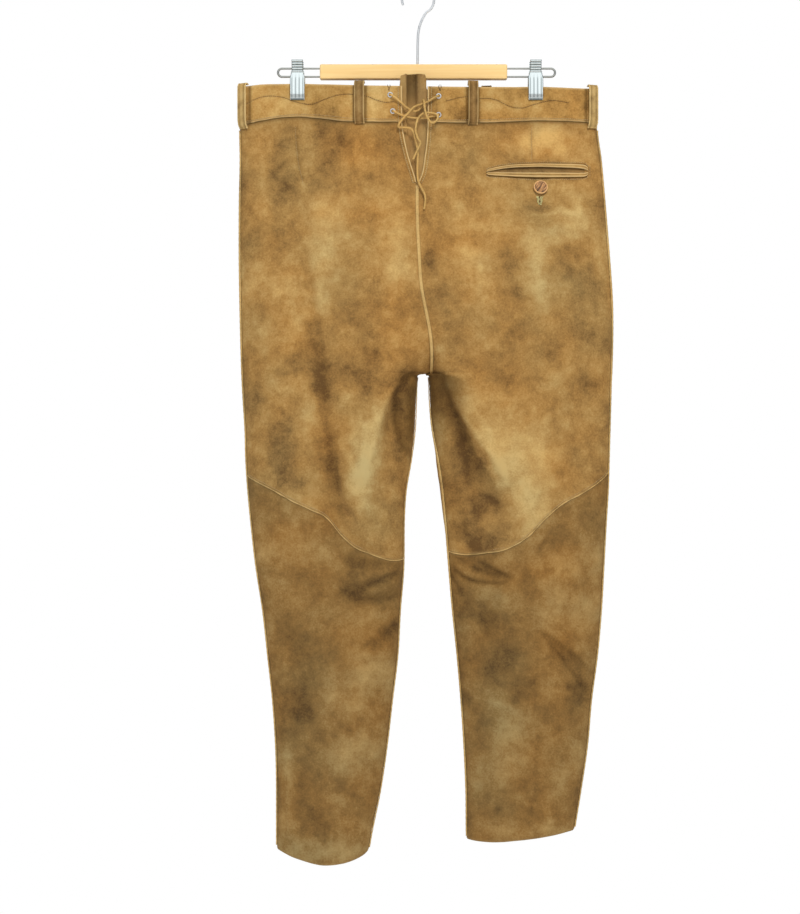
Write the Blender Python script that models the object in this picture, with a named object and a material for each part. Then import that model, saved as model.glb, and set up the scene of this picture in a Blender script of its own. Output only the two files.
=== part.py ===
"""Long leather breeches hanging by the waistband from a clip hanger.

Each half of the garment is one skin, read from horizontal sections: a pinched
waist, an oval torso and an oval leg, blended over the height. A point of the
skin has a share (0 at the centre back or inseam, 1 at the side seam, 2 at the
centre front or inseam again) and a drop, its distance below the hook. Panels,
bands and welts are cut from that skin by share and drop, and get their wall
along its outward directions.

Sizes are millimetres, turned into metres where a mesh is made. The origin is
the inside of the hook's top, +Z is up, the back of the garment faces -Y.
"""
import math
from collections import namedtuple

import bmesh
import bpy
import numpy as np
from mathutils import Matrix, Vector

MM = 0.001
LEFT, RIGHT = -1, 1
SIDES = {"left": LEFT, "right": RIGHT}

# Leather
PANEL_WALL = 2.0
BAND_WALL = 3.2
BAND_PROUD = 1.0
SEAM_GAP = 0.3
KNEE_GAP = 0.6
ON_CLOTH = 0.4

# Section shape
SQUARENESS = 2.3
SIDE_SEAM_ANGLE = 172.0
SIDE_SEAM_DEPTH = 6.0
WAIST_SIDE = 0.9
PINCH_FADE = (190.0, 345.0)
SKIN_TOP = 120.0
SKIN_BOTTOM = 1191.0
RISE_START = 411.0
CROTCH = 521.0
BELOW_CROTCH = (0.0, 0.8, 1.6, 2.5, 3.5, 5.0, 8.0, 13.0)
CROTCH_X = 18.0
THIGH_BLEND = (395.0, 655.0)
THIGH_SHARE = 0.32

# Outline of each half, one row for each height
OUTLINE_COLUMNS = ("drop", "outer", "inner", "back", "front", "middle", "inseam")
LEFT_OUTLINE = np.array([
    (120, -239, 8, 26, 24, 0, -4),
    (195, -238.5, 8, 27, 25, 0, -4),
    (235, -238, 8, 32, 30, 0, -4),
    (290, -239.5, 8, 38, 36, 0, -4),
    (360, -240, 8, 43, 39, 0, -4),
    (430, -239, 8, 45, 40, 0, -4),
    (CROTCH, -236.5, 8, 42, 40, 8, -4),
    (523.5, -236.4, -0.3, 42, 40, 8, -4),
    (557, -234.5, -2.7, 41, 38, 7, -2),
    (597, -231.8, -4.5, 40, 36, 5, 2),
    (637, -230.5, -9.4, 39, 35, 3, 4),
    (677, -227.8, -16.1, 38, 34, 2, 5),
    (718, -223.8, -18.8, 37, 34, 0, 5),
    (778, -217.0, -19.4, 35, 33, 0, 5),
    (838, -207.7, -24.1, 33, 31, 0, 5),
    (898, -201.0, -27.5, 31, 30, 0, 5),
    (959, -194.3, -34.8, 29, 28, 0, 5),
    (1019, -190.3, -41.8, 27, 27, 0, 5),
    (1080, -188.9, -50.9, 26, 26, 0, 5),
    (1140, -188.9, -63.0, 25, 25, 0, 5),
    (1190, -188.9, -71.0, 25, 25, 0, 5),
])
RIGHT_OUTLINE = np.array([
    (120, 240, 8, 26, 24, 0, -4),
    (195, 240, 8, 27, 25, 0, -4),
    (235, 245, 8, 32, 30, 0, -4),
    (290, 250.5, 8, 38, 36, 0, -4),
    (360, 256.5, 8, 43, 39, 0, -4),
    (430, 261, 8, 45, 40, 0, -4),
    (CROTCH, 260, 8, 42, 40, 8, -4),
    (523.5, 259.8, 14.1, 42, 40, 8, -4),
    (557, 258.6, 16.1, 41, 38, 7, 0),
    (597, 257.3, 18.8, 40, 36, 5, 8),
    (637, 255.9, 24.1, 39, 35, 3, 14),
    (677, 254.6, 29.5, 38, 34, 2, 15),
    (718, 251.9, 34.8, 37, 34, 0, 12),
    (778, 248.6, 40.6, 35, 33, 0, 9),
    (838, 245.2, 46.0, 33, 31, 0, 8),
    (898, 239.9, 52.3, 31, 30, 0, 8),
    (959, 231.8, 57.6, 29, 28, 0, 8),
    (1019, 226.5, 61.6, 27, 27, 0, 8),
    (1080, 217.5, 64.3, 26, 26, 0, 8),
    (1140, 208.0, 65.0, 25, 25, 0, 8),
    (1190, 202.0, 67.0, 25, 25, 0, 8),
])
OUTLINES = {LEFT: LEFT_OUTLINE, RIGHT: RIGHT_OUTLINE}

# Plan of the waist from centre to side: the clips pinch it flat at two thirds
PlanPoint = namedtuple("PlanPoint", "reach back front")
WAIST_PLAN = [PlanPoint(*row) for row in (
    (0.000, 27.0, 21.0),
    (0.250, 24.5, 19.0),
    (0.450, 15.0, 12.5),
    (0.600, 5.1, 5.1),
    (0.670, 4.8, 4.8),
    (0.740, 5.1, 5.1),
    (0.850, 11.5, 11.5),
    (0.940, 15.0, 15.0),
    (0.980, 11.5, 11.5),
    (0.998, 4.5, 4.5),
)]

# Path of the centre back seam and the laced notch above it
CENTRE_COLUMNS = ("drop", "x")
CENTRE_SEAM = np.array([
    (120, -1.3), (300, -1.3), (369, 1.3), (410, 4.5),
    (440, 10.0), (476, 16.5), (500, 18.5), (CROTCH, CROTCH_X),
])
NOTCH_TOP = 140.5
NOTCH_TIP = 271.5
NOTCH_COLUMNS = ("drop", "left", "right")
NOTCH_EDGES = np.array([
    (120.0, -21.4, 12.5),
    (187.0, -20.7, 12.2),
    (232.0, -12.9, 8.7),
    (263.0, -3.6, 2.6),
    (NOTCH_TIP, -1.3, -1.3),
])

# Top and bottom of the waistband from the centre to the side seam
BAND_COLUMNS = ("share", "top_left", "bottom_left", "top_right", "bottom_right")
BAND_EDGES = np.array([
    (0.00, 140.5, 187.9, 141.0, 188.3),
    (0.22, 139.1, 187.3, 141.2, 188.7),
    (0.36, 137.3, 185.6, 140.3, 187.5),
    (0.49, 135.4, 181.1, 139.2, 185.2),
    (0.63, 133.8, 177.9, 137.8, 183.0),
    (0.72, 134.5, 178.9, 138.6, 183.3),
    (0.85, 136.2, 184.3, 141.0, 185.4),
    (0.95, 138.8, 189.0, 142.0, 187.6),
    (1.00, 138.2, 189.4, 140.5, 189.2),
])

# Slanting seam above the knee, the same at the front and the back
KNEE_COLUMNS = ("share", "left", "right")
KNEE_SEAM = np.array([
    (0.00, 769.0, 759.0),
    (0.12, 770.5, 763.0),
    (0.25, 761.5, 760.5),
    (0.35, 751.5, 757.0),
    (0.42, 737.0, 750.5),
    (0.50, 714.5, 739.0),
    (0.60, 702.5, 715.0),
    (0.69, 693.0, 697.5),
    (0.82, 676.5, 680.5),
    (0.92, 665.5, 666.0),
    (1.00, 657.0, 652.5),
])

# Lower edge all round each leg
HEM_COLUMNS = ("share", "left", "right")
HEM = np.array([
    (0.00, 1160.0, 1144.0),
    (0.25, 1173.0, 1146.0),
    (0.50, 1176.0, 1143.0),
    (0.75, 1168.0, 1138.0),
    (1.00, 1157.0, 1132.0),
    (1.50, 1166.0, 1147.0),
    (2.00, 1160.0, 1144.0),
])

# Folds: each runs on a curve from start through a bend to its end, and lifts
# the leather (or sinks it, below zero) over its width
Fold = namedtuple("Fold", "start_x start_drop bend_x bend_drop end_x end_drop lift width")
BACK_FOLDS = [Fold(*row) for row in (
    (-22, 531, -31, 568, -37, 598, -9.0, 11),
    (31, 531, 46, 572, 56, 608, -9.0, 11),
    (-24, 532, -56, 590, -68, 655, 7.0, 17),
    (-62, 610, -74, 660, -88, 715, 5.0, 24),
    (-116, 650, -104, 690, -82, 724, -5.0, 15),
    (-155, 262, -142, 460, -94, 700, -3.5, 15),
    (-134, 300, -118, 460, -84, 600, 3.0, 22),
    (-104, 825, -70, 816, -34, 838, -4.5, 16),
    (-130, 775, -80, 800, -36, 780, 4.0, 22),
    (-60, 880, -84, 960, -96, 1060, 3.5, 26),
    (-160, 860, -148, 980, -150, 1100, -3.0, 24),
    (-205, 330, -196, 470, -200, 620, 3.0, 26),
    (-60, 500, -100, 520, -150, 500, -3.0, 24),
    (40, 530, 86, 605, 121, 668, 7.0, 18),
    (40, 575, 58, 640, 68, 705, -6.0, 17),
    (84, 704, 108, 690, 128, 676, -5.0, 15),
    (54, 733, 82, 746, 114, 736, -5.0, 14),
    (60, 774, 108, 796, 134, 788, -3.5, 13),
    (184, 540, 178, 624, 160, 706, 4.5, 22),
    (212, 540, 206, 624, 190, 700, -4.0, 22),
    (163, 866, 198, 912, 224, 956, -4.5, 15),
    (82, 842, 92, 862, 98, 884, -3.5, 13),
    (157, 940, 155, 1020, 159, 1100, -3.5, 17),
    (112, 880, 108, 980, 116, 1080, 3.5, 26),
    (70, 500, 120, 522, 170, 498, -3.0, 24),
    (110, 329, 165, 332, 222, 326, 1.6, 12),
    (98, 250, 100, 400, 84, 480, 2.5, 30),
)]
FRONT_FOLDS = [Fold(*row) for row in (
    (-30, 528, -84, 560, -140, 548, 5.0, 18),
    (-36, 560, -92, 600, -150, 600, -4.5, 18),
    (-40, 620, -70, 680, -128, 716, 4.5, 20),
    (-136, 240, -128, 420, -118, 620, 3.0, 24),
    (-190, 300, -186, 440, -176, 560, -3.0, 22),
    (-60, 800, -104, 822, -150, 806, -4.5, 17),
    (-70, 860, -110, 880, -150, 862, 3.5, 20),
    (-112, 900, -108, 1000, -116, 1100, 3.5, 26),
    (44, 530, 96, 566, 156, 556, 5.0, 18),
    (54, 566, 108, 612, 168, 606, -4.5, 18),
    (66, 640, 96, 694, 150, 720, 4.5, 20),
    (150, 240, 146, 420, 140, 620, 3.0, 24),
    (206, 300, 204, 440, 200, 560, -3.0, 22),
    (84, 796, 130, 816, 180, 798, -4.5, 17),
    (92, 858, 134, 874, 186, 852, 3.5, 20),
    (140, 900, 138, 1000, 134, 1090, 3.5, 26),
)]
FOLD_FREE_EDGE = 0.06
FOLD_STEPS = 17

# Cuts across the height of the panels, and their columns between seams
UPPER_DROPS = (215.0, 243.0, NOTCH_TIP, 305.0, 340.0, 376.0, RISE_START)
RISE_ANGLES = (22, 38, 52, 64, 74, 83, 90)
THIGH_STEPS = (0.0115, 0.03, 0.14, 0.30, 0.48, 0.66, 0.83, 1.0)
CALF_STEPS = (0.0, 0.07, 0.15, 0.24, 0.34, 0.45, 0.56, 0.67, 0.78, 0.9, 1.0)
BACK_SHARES = (
    0.0, 0.035, 0.09, 0.17, 0.26, 0.35, 0.44, 0.52, 0.59, 0.66, 0.73, 0.80, 0.88, 0.95, 1.0,
)
FRONT_SHARES = (1.0, 1.06, 1.15, 1.26, 1.34, 1.43, 1.54, 1.66, 1.78, 1.88, 1.95, 2.0)

# Welts and the turned edge of the notch
WELT_WIDTH = 4.0
WELT_THICKNESS = 1.2
WELT_TOP = 197.0
WELT_END = 3.0
WELT_CROTCH_GAP = 5.0
CENTRE_WELT_TOP = NOTCH_TIP + 2.0
CENTRE_WELT_RISE = (RISE_START + 40.0, CROTCH)
CENTRE_WELT_LIFT = 3.2
CENTRE_WELT_ANGLES = (22, 38, 52, 64)
EDGE_WIDTH = 6.0
EDGE_THICKNESS = 1.0
EDGE_DROPS = (NOTCH_TOP + 1.0, 165.0, 187.0, 194.0, 215.0, 243.0, NOTCH_TIP - 1.0)
EDGE_STEP_DOWN = (189.0, 194.0)
EDGE_SHARE_GAP = 0.001

# Gusset behind the notch: a deep pleat between two flat sides
GUSSET_WALL = 1.8
GUSSET_TUCK = 6.0
GUSSET_TOP = 122.5
GUSSET_BOTTOM = 283.0
GUSSET_BEHIND = 3.9
GUSSET_DEPTH = 11.0
GUSSET_TAPER = 1.4
GUSSET_DROPS = (0.0, 0.18, 0.36, 0.55, 0.75, 1.0)
# Across from the left edge, how far it is recessed, and how far its top is lowered
GUSSET_PLEAT = np.array([
    (0.00, 0.00, 22.0),
    (0.06, 0.00, 21.0),
    (0.085, 0.00, 4.0),
    (0.24, 0.00, 1.5),
    (0.29, 1.00, 0.5),
    (0.51, 1.00, 0.0),
    (0.57, 0.45, 0.5),
    (0.81, 0.00, 2.5),
    (0.84, 0.00, 22.0),
    (1.00, 0.00, 23.0),
])

# Belt loops: at an x on the back or the front; rise is the arch above the band's top,
# foot the end below its bottom
LOOP_WIDTH = 13.6
LOOP_THICKNESS = 1.8
LOOP_MIDDLE = 160.0
LOOP_REACH = BAND_PROUD + 4.6
LOOP_TAB = LOOP_THICKNESS / 2 + ON_CLOTH
Loop = namedtuple("Loop", "side x front rise foot")
LOOPS = {
    "back_left": Loop(LEFT, -77.5, False, 1.6, 3.2),
    "back_right": Loop(RIGHT, 72.5, False, 4.6, 3.2),
    "front_left": Loop(LEFT, -92.0, True, 1.6, 3.2),
    "front_right": Loop(RIGHT, 92.0, True, 4.6, 3.2),
    "side_left": Loop(LEFT, -232.0, False, 0.5, 6.2),
    "side_right": Loop(RIGHT, 231.5, False, 0.5, 6.2),
}
LOOP_HALF_SHARE = 0.035
# Outward distance, and drop from the band's top or from the loop's foot
LoopPoint = namedtuple("LoopPoint", "outward edge below")
LOOP_PROFILE = [LoopPoint(*row) for row in (
    (-1.0, "top", -LOOP_TAB),
    (LOOP_REACH - 2.6, "arch", -LOOP_TAB - 0.9),
    (LOOP_REACH - 0.7, "arch", 0.8),
    (LOOP_REACH, "arch", 5.0),
    (LOOP_REACH, "foot", -15.2),
    (LOOP_REACH - 0.6, "foot", -9.2),
    (LOOP_REACH - 1.9, "foot", -4.4),
)]
LOOP_FOOT_TAB = 1.8

# Jetted hip pocket
POCKET_X = 158.5
POCKET_DROP = 252.5
POCKET_HALF = 68.0
POCKET_STAND = 0.9
JET_THICKNESS = 1.6
SLIT_GAP = 0.2
FACING_INSET = 0.1
FACING_THICKNESS = 0.5
# Drops below the pocket's middle, from its pointed left end to its blunt right end
POCKET_COLUMNS = ("across", "upper", "slit_top", "slit_bottom", "lower")
POCKET_OUTLINE = np.array([
    (-1.00, 0.5, 3.0, 3.6, 6.2),
    (-0.90, -3.0, 1.2, 3.0, 8.0),
    (-0.50, -8.6, -3.6, 2.2, 9.3),
    (0.00, -11.1, -5.6, 1.6, 9.7),
    (0.50, -10.9, -4.8, 1.8, 9.4),
    (0.85, -10.2, -3.2, 2.1, 9.0),
    (0.96, -8.5, -1.5, 1.6, 7.8),
    (1.00, -4.5, 0.0, 0.6, 4.5),
])

# Horn buttons
BUTTON_RADIUS = 9.6
SHANK_RADIUS = 3.6
SHANK_HEIGHT = 1.6
RIM_HEIGHT = 4.8
# Radius and height above the leather, from the shank's foot to the dished face
BUTTON_PROFILE = (
    (0.0, 0.0),
    (SHANK_RADIUS, 0.0),
    (SHANK_RADIUS, SHANK_HEIGHT),
    (BUTTON_RADIUS - 1.5, SHANK_HEIGHT),
    (BUTTON_RADIUS, 3.0),
    (BUTTON_RADIUS - 0.3, RIM_HEIGHT - 0.4),
    (BUTTON_RADIUS - 1.7, RIM_HEIGHT),
    (BUTTON_RADIUS - 3.1, RIM_HEIGHT - 0.9),
    (0.0, RIM_HEIGHT - 1.1),
)
BUTTON_SIDES = 18
Button = namedtuple("Button", "x drop front stand")
BUTTONS = {
    "pocket_button": Button(163.0, 275.5, False, ON_CLOTH),
    "waist_button": Button(14.0, 160.0, True, BAND_PROUD + ON_CLOTH),
}

# Eyelets
EYELET_INNER = 1.9
EYELET_RING = 0.9
EYELET_FLATNESS = 0.7
EYELET_AROUND = 12
EYELET_ROUND = 6
EYELETS = {
    "eyelet_upper_left": (LEFT, -37.0, 152.4),
    "eyelet_upper_right": (RIGHT, 27.2, 154.2),
    "eyelet_lower_left": (LEFT, -33.6, 174.1),
    "eyelet_lower_right": (RIGHT, 27.2, 179.1),
}

# Lace: routes of x, drop and height above the leather's face at the notch
LACE_DIAMETER = 2.8
LACE_SPACING = 5.8
LACE_FACE = 27.6
LACES = {
    "lace_right": (
        (27.2, 154.2, 0.6), (25.8, 154.9, 3.4), (21.6, 156.9, 4.4), (16.1, 160.5, 4.6),
        (10.5, 163.6, 4.8), (3.8, 166.1, 5), (-1.8, 167.9, 5.3), (-6.8, 170.8, 5.6),
        (-11.8, 176.3, 5.6), (-17.4, 182.1, 5.8), (-23, 188.6, 4.8), (-26.1, 194, 3.8),
        (-25, 196.3, 3.4), (-17.4, 196.7, 3), (-10.5, 197.5, 2.4), (-6.8, 201.5, 2.2),
        (-4.9, 206.6, 2.2), (-3.1, 214.4, 2.2), (-1.4, 222.2, 3.2), (-0.5, 233.4, 4.6),
        (-0.9, 244.6, 5.8), (-1.1, 255.7, 7.4), (-0.2, 266.9, 8.8), (3.8, 276.9, 9.6),
        (7.6, 283.6, 10.4), (9.4, 291.4, 11.2), (8.7, 300.4, 11.9), (7.6, 305.9, 12.3),
    ),
    "lace_left": (
        (-37, 152.4, 0.3), (-35.5, 153.1, 3), (-28.6, 158.3, 3.6), (-22.4, 163.8, 3.2),
        (-15.7, 169.4, 1.9), (-9.6, 173.2, 1.4), (-4, 174.8, 1.4), (0.9, 173, 1.3),
        (3.8, 168.8, 1.3), (5.5, 163.6, 1.2), (6.6, 160.1, 4.6), (7.7, 163.2, 8.6),
        (8.2, 168.5, 9.4), (9.4, 176.3, 9.8), (11.6, 183, 9.8), (14.9, 188.6, 9.4),
        (19.2, 191.1, 8.4), (23.6, 188.6, 7.2), (26.1, 183.6, 7.2), (24.5, 179.9, 6.8),
        (20.5, 178.2, 6.2), (14.9, 177.5, 5.8), (9.4, 177.7, 5.8), (3.8, 180.1, 5.8),
        (-0.5, 185.5, 5.8), (-2.7, 193.1, 5.8), (-3.4, 200.9, 6), (-2.2, 206.6, 6.2),
        (-0.2, 212.2, 6.4), (2.2, 215, 6.6), (2.7, 218.9, 7), (0.4, 223.9, 7.6),
        (-3.4, 232.3, 8.2), (-6.7, 239.5, 8.4),
    ),
    "lace_bar": (
        (-33.6, 174.1, 0.4), (-32.2, 174.8, 3), (-25.2, 178.6, 3.2), (-19.1, 181, 2.6),
        (-11.8, 182.7, 1.6), (-4, 183.7, 1.2), (3.8, 183.9, 1.2), (12.7, 183, 2.6),
        (20, 181.3, 3.4), (25.9, 179.5, 3), (27.2, 179.1, 0.6),
    ),
}

# Hanger
BAR_TOP = 108.0
BAR_HEIGHT = 20.0
BAR_DEPTH = 14.0
BAR_ENDS = (-131.3, 119.3)
BAR_ROUNDING = 2.0
WIRE_DIAMETER = 3.0
WIRE_DROPS = (113.0, 124.0)
WIRE_BENDS = {"left": -187.5, "right": 183.5}
WIRE_TURN_STEPS = 6
HOOK_DIAMETER = 3.2
HOOK_INSIDE = 20.0
HOOK_START_ANGLE = -62
HOOK_END_ANGLE = 205
HOOK_STEP_ANGLE = 22
HOOK_POINTS = 32
HOOK_STEM = (107.6, 92.0, 78.0, 64.0, 52.0)
HOOK_STEM_X = (-0.6, -0.5, -0.3, 0.6, 3.6)

# Clips: half of a clip in profile, outward distance against drop
CLIP_X = {"left": -161.3, "right": 157.4}
CLIP_WIDTH = 20.0
CLIP_WALL = 1.4
CLIP_RIBS = 5
RIB_HEIGHT = 1.1
GRIP_TOP = 102.6
GRIP_BOTTOM = 119.0
GRIP_OUT = (10.6, 5.3)
JAW_TIP = (0.7, 0.2)
# Outward distance and drop, from the hub to the teeth on the band
JAW_PROFILE = (
    (5.3, 124.5), (7.6, 130.0), (9.2, 137.0), (9.8, 146.0), (8.6, 153.0), (7.6, 156.0),
)
HUB_RADIUS = 3.5
HUB_LENGTH = 18.0
HUB_DROP = 118.5
HUB_SIDES = 12

# Colours of the leathers, the horn, the metal and the wood
SUEDE = (0.34, 0.205, 0.085)
SUEDE_PALE = (0.52, 0.37, 0.18)
SUEDE_DARK = (0.17, 0.10, 0.045)
HORN = (0.36, 0.20, 0.09)
CHROME = (0.75, 0.75, 0.76)
PINE = (0.78, 0.56, 0.28)


# ------------------------------------------------------------ numbers

def read(table, names, name, where):
    """A column of a table at the places `where` of its first column, on a smooth curve."""
    xs = table[:, 0]
    ys = table[:, names.index(name)]
    steps = np.diff(ys) / np.diff(xs)
    beside = np.minimum(np.abs(np.append(steps[:1], steps)), np.abs(np.append(steps, steps[-1:])))
    slopes = np.clip(np.gradient(ys, xs), -3 * beside, 3 * beside)
    where = np.clip(np.asarray(where, float), xs[0], xs[-1])
    i = np.clip(np.searchsorted(xs, where, side="right") - 1, 0, len(xs) - 2)
    run = xs[i + 1] - xs[i]
    t = (where - xs[i]) / run
    start = ys[i] * (2 * t**3 - 3 * t**2 + 1) + slopes[i] * run * (t**3 - 2 * t**2 + t)
    end = ys[i + 1] * (3 * t**2 - 2 * t**3) + slopes[i + 1] * run * (t**3 - t**2)
    return start + end


def ease(x):
    """Smooth step from 0 to 1."""
    x = np.clip(x, 0.0, 1.0)
    return x * x * (3 - 2 * x)


def unit(vectors):
    return vectors / np.maximum(np.linalg.norm(vectors, axis=-1, keepdims=True), 1e-9)


def even(points, count):
    """The polyline again, as `count` points evenly spaced along it."""
    steps = np.linalg.norm(np.diff(points, axis=0), axis=1)
    along = np.concatenate([[0.0], np.cumsum(steps)])
    wanted = np.linspace(0.0, along[-1], count)
    return np.stack([np.interp(wanted, along, column) for column in points.T], axis=1)


def smooth_path(points, steps=12):
    """A smooth curve through the points (Catmull-Rom)."""
    points = np.asarray(points, float)
    padded = np.vstack([2 * points[0] - points[1], points, 2 * points[-1] - points[-2]])
    t = np.linspace(0.0, 1.0, steps, endpoint=False)[:, None]
    runs = []
    for a, b, c, d in zip(padded, padded[1:], padded[2:], padded[3:]):
        bend = 2 * a - 5 * b + 4 * c - d
        twist = 3 * b - a - 3 * c + d
        runs.append(0.5 * (2 * b + (c - a) * t + bend * t**2 + twist * t**3))
    return np.vstack(runs + [points[-1:]])


# ------------------------------------------------------------ the skin

def oval(angles, centre, reach, back, front, side):
    """Points of a squarish oval: 0 degrees faces the other leg, 90 the back, 180 the side."""
    cosine = np.cos(np.radians(angles))
    sine = np.sin(np.radians(angles))
    power = 2.0 / SQUARENESS
    x = centre[0] - side * reach * np.sign(cosine) * np.abs(cosine) ** power
    depth = np.where(sine > 0, back, front)
    y = centre[1] - depth * np.sign(sine) * np.abs(sine) ** power
    return np.stack([x, y], axis=1)


def fold_path(fold):
    """Places (x, drop) along a fold's curve, which passes through its bend."""
    start = np.array((fold.start_x, fold.start_drop))
    bend = np.array((fold.bend_x, fold.bend_drop))
    end = np.array((fold.end_x, fold.end_drop))
    handle = 2 * bend - (start + end) / 2
    t = np.linspace(0.0, 1.0, FOLD_STEPS)[:, None]
    return start * (1 - t) ** 2 + 2 * handle * t * (1 - t) + end * t**2


class Half:
    """One half of the garment as a lattice of points and outward directions."""

    across = 71

    def __init__(self, side):
        self.side = side
        rise_angles = np.radians(np.arange(0, 90, 4.5))
        self.drops = np.concatenate([
            np.arange(SKIN_TOP, RISE_START - 4, 8.0),
            RISE_START + (CROTCH - RISE_START) * np.sin(rise_angles),
            CROTCH + np.array(BELOW_CROTCH),
            np.arange(CROTCH + 20, SKIN_BOTTOM, 9.0),
        ])
        self.shares = np.linspace(0.0, 2.0, 2 * self.across - 1)
        self.points = np.stack([self.section(drop) for drop in self.drops])
        self.fold()
        self.out = self.outward()

    def value(self, name, drop):
        return float(read(OUTLINES[self.side], OUTLINE_COLUMNS, name, drop))

    def waist(self, centre, reach):
        """The pinched plan of the waist, split at the side seam."""
        back = [(point.reach, -point.back) for point in WAIST_PLAN]
        front = [(point.reach, point.front) for point in reversed(WAIST_PLAN)]
        plan = smooth_path(back + front)
        at_side = plan[:, 0] > WAIST_SIDE
        seam = int(np.argmax(at_side & (plan[:, 1] > -SIDE_SEAM_DEPTH)))
        plan[:, 0] = centre + self.side * reach * plan[:, 0]
        return even(plan[:seam + 1], self.across), even(plan[seam:], self.across)

    def leg_share(self, drop):
        """How far the torso has become a leg, for each point of the back and of the front.

        At the inner edges this is a quarter ellipse that closes at the crotch, and
        further out a long slow blend, so that the thigh runs on smoothly.
        """
        rise = np.clip((drop - RISE_START) / (CROTCH - RISE_START), 0.0, 1.0)
        inner = 1 - math.cos(math.asin(rise))
        outer = ease((drop - THIGH_BLEND[0]) / (THIGH_BLEND[1] - THIGH_BLEND[0]))
        away = ease(np.linspace(0.0, 1.0, self.across) / THIGH_SHARE)[:, None]
        share = inner * (1 - away) + outer * away
        return share, share[::-1]

    def section(self, drop):
        """The half section at a drop, from centre back or inseam round to centre front or inseam."""
        outer = self.value("outer", drop)
        back = self.value("back", drop)
        front = self.value("front", drop)
        centre = float(read(CENTRE_SEAM, CENTRE_COLUMNS, "x", drop)) + self.side * SEAM_GAP / 2
        parts = []
        torso_angles = ((90.0, SIDE_SEAM_ANGLE), (SIDE_SEAM_ANGLE, 270.0))
        inseam = self.value("inseam", drop)
        leg_angles = ((inseam, SIDE_SEAM_ANGLE), (SIDE_SEAM_ANGLE, 360.0 + inseam))
        inner = self.value("inner", drop) if drop > CROTCH else CROTCH_X + self.side * SEAM_GAP
        reach = abs(outer - inner) / 2
        middle = ((outer + inner) / 2, self.value("middle", max(drop, CROTCH)))
        pinch = 1 - ease((drop - PINCH_FADE[0]) / (PINCH_FADE[1] - PINCH_FADE[0]))
        leg_share = self.leg_share(drop)
        for k, waist in enumerate(self.waist(centre, abs(outer - centre))):
            angles = np.linspace(*torso_angles[k], 3 * self.across)
            torso = oval(angles, (centre, 0.0), abs(outer - centre), back, front, self.side)
            angles = np.linspace(*leg_angles[k], 3 * self.across)
            leg = oval(angles, middle, reach, back, front, self.side)
            body = even(torso, self.across) * (1 - pinch) + waist * pinch
            parts.append(body * (1 - leg_share[k]) + even(leg, self.across) * leg_share[k])
        line = np.vstack([parts[0], parts[1][1:]])
        return np.column_stack([line, np.full(len(line), -drop)])

    def fold(self):
        """Lift and sink the leather along the folds of the back and the front."""
        free = np.minimum(self.shares % 1.0, 1.0 - self.shares % 1.0) / FOLD_FREE_EDGE
        free[self.shares == 1.0] = 0.0
        flat = np.gradient(self.points[:, :, :2], axis=1)
        across = unit(self.side * np.stack([flat[:, :, 1], -flat[:, :, 0]], axis=2))
        for folds, shown in ((BACK_FOLDS, self.shares < 1), (FRONT_FOLDS, self.shares > 1)):
            lift = np.zeros(self.points.shape[:2])
            for fold in folds:
                path = fold_path(fold)
                away_x = self.points[:, :, 0, None] - path[:, 0]
                away_drop = -self.points[:, :, 2, None] - path[:, 1]
                away = np.min(np.hypot(away_x, away_drop), axis=2)
                lift += fold.lift * np.exp(-(away / fold.width) ** 2)
            lift *= ease(free) * shown
            self.points[:, :, :2] += across * lift[:, :, None]

    def outward(self):
        """Outward directions of the lattice, shared by the panels that meet at a seam."""
        along = np.gradient(self.points, axis=1)
        leg = self.drops >= CROTCH
        joined = self.points[leg, 1] - self.points[leg, -2]
        along[leg, 0] = joined
        along[leg, -1] = joined
        down = np.gradient(self.points, self.drops, axis=0)
        out = unit(-self.side * np.cross(along, down))
        for edge in (0, -1):
            inwards = out[~leg, edge, 0] * self.side > 0
            out[~leg, edge, 0] = np.where(inwards, 0.0, out[~leg, edge, 0])
        return unit(out)

    def look(self, lattice, share, drop):
        """Read the lattice between its points."""
        share, drop = np.broadcast_arrays(np.asarray(share, float), np.asarray(drop, float))
        column = np.clip(share, 0, 2) * (self.across - 1)
        c = np.minimum(column.astype(int), 2 * self.across - 3)
        fc = (column - c)[..., None]
        r = np.clip(np.searchsorted(self.drops, drop, side="right") - 1, 0, len(self.drops) - 2)
        fr = ((drop - self.drops[r]) / (self.drops[r + 1] - self.drops[r]))[..., None]
        upper = lattice[r, c] * (1 - fc) + lattice[r, c + 1] * fc
        lower = lattice[r + 1, c] * (1 - fc) + lattice[r + 1, c + 1] * fc
        return upper * (1 - fr) + lower * fr

    def at(self, share, drop, out=0.0):
        """Points of the skin, moved outwards."""
        out = np.asarray(out, float)[..., None]
        return self.look(self.points, share, drop) + unit(self.look(self.out, share, drop)) * out

    def frame(self, share, drop):
        """A point of the skin with its outward, sideways and downward directions."""
        out = unit(self.look(self.out, share, drop))
        aside = unit(np.cross(out, np.array([0.0, 0.0, 1.0])))
        return self.look(self.points, share, drop), out, aside, np.cross(out, aside)

    def share_of(self, x, drop, front=False):
        """The share at which the skin passes x, on its back or its front."""
        shares = np.linspace(1.0, 2.0, 201) if front else np.linspace(0.0, 1.0, 201)
        xs = self.look(self.points, shares, drop)[:, 0] * self.side
        order = np.argsort(xs)
        return float(np.interp(x * self.side, xs[order], shares[order]))


# ------------------------------------------------------------ edges of the pieces

def column_of(side):
    return "left" if side == LEFT else "right"


def knee_drop(side, shares):
    """The seam above the knee, read from the inseam to the side seam at front and back."""
    shares = np.asarray(shares, float)
    return read(KNEE_SEAM, KNEE_COLUMNS, column_of(side), np.minimum(shares, 2 - shares))


def hem_drop(side, shares):
    return read(HEM, HEM_COLUMNS, column_of(side), shares)


def band_drop(edge, side, shares):
    """The waistband's top or bottom edge, the same at front and back."""
    shares = np.asarray(shares, float)
    column = f"{edge}_{column_of(side)}"
    return read(BAND_EDGES, BAND_COLUMNS, column, np.minimum(shares, 2 - shares))


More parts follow.
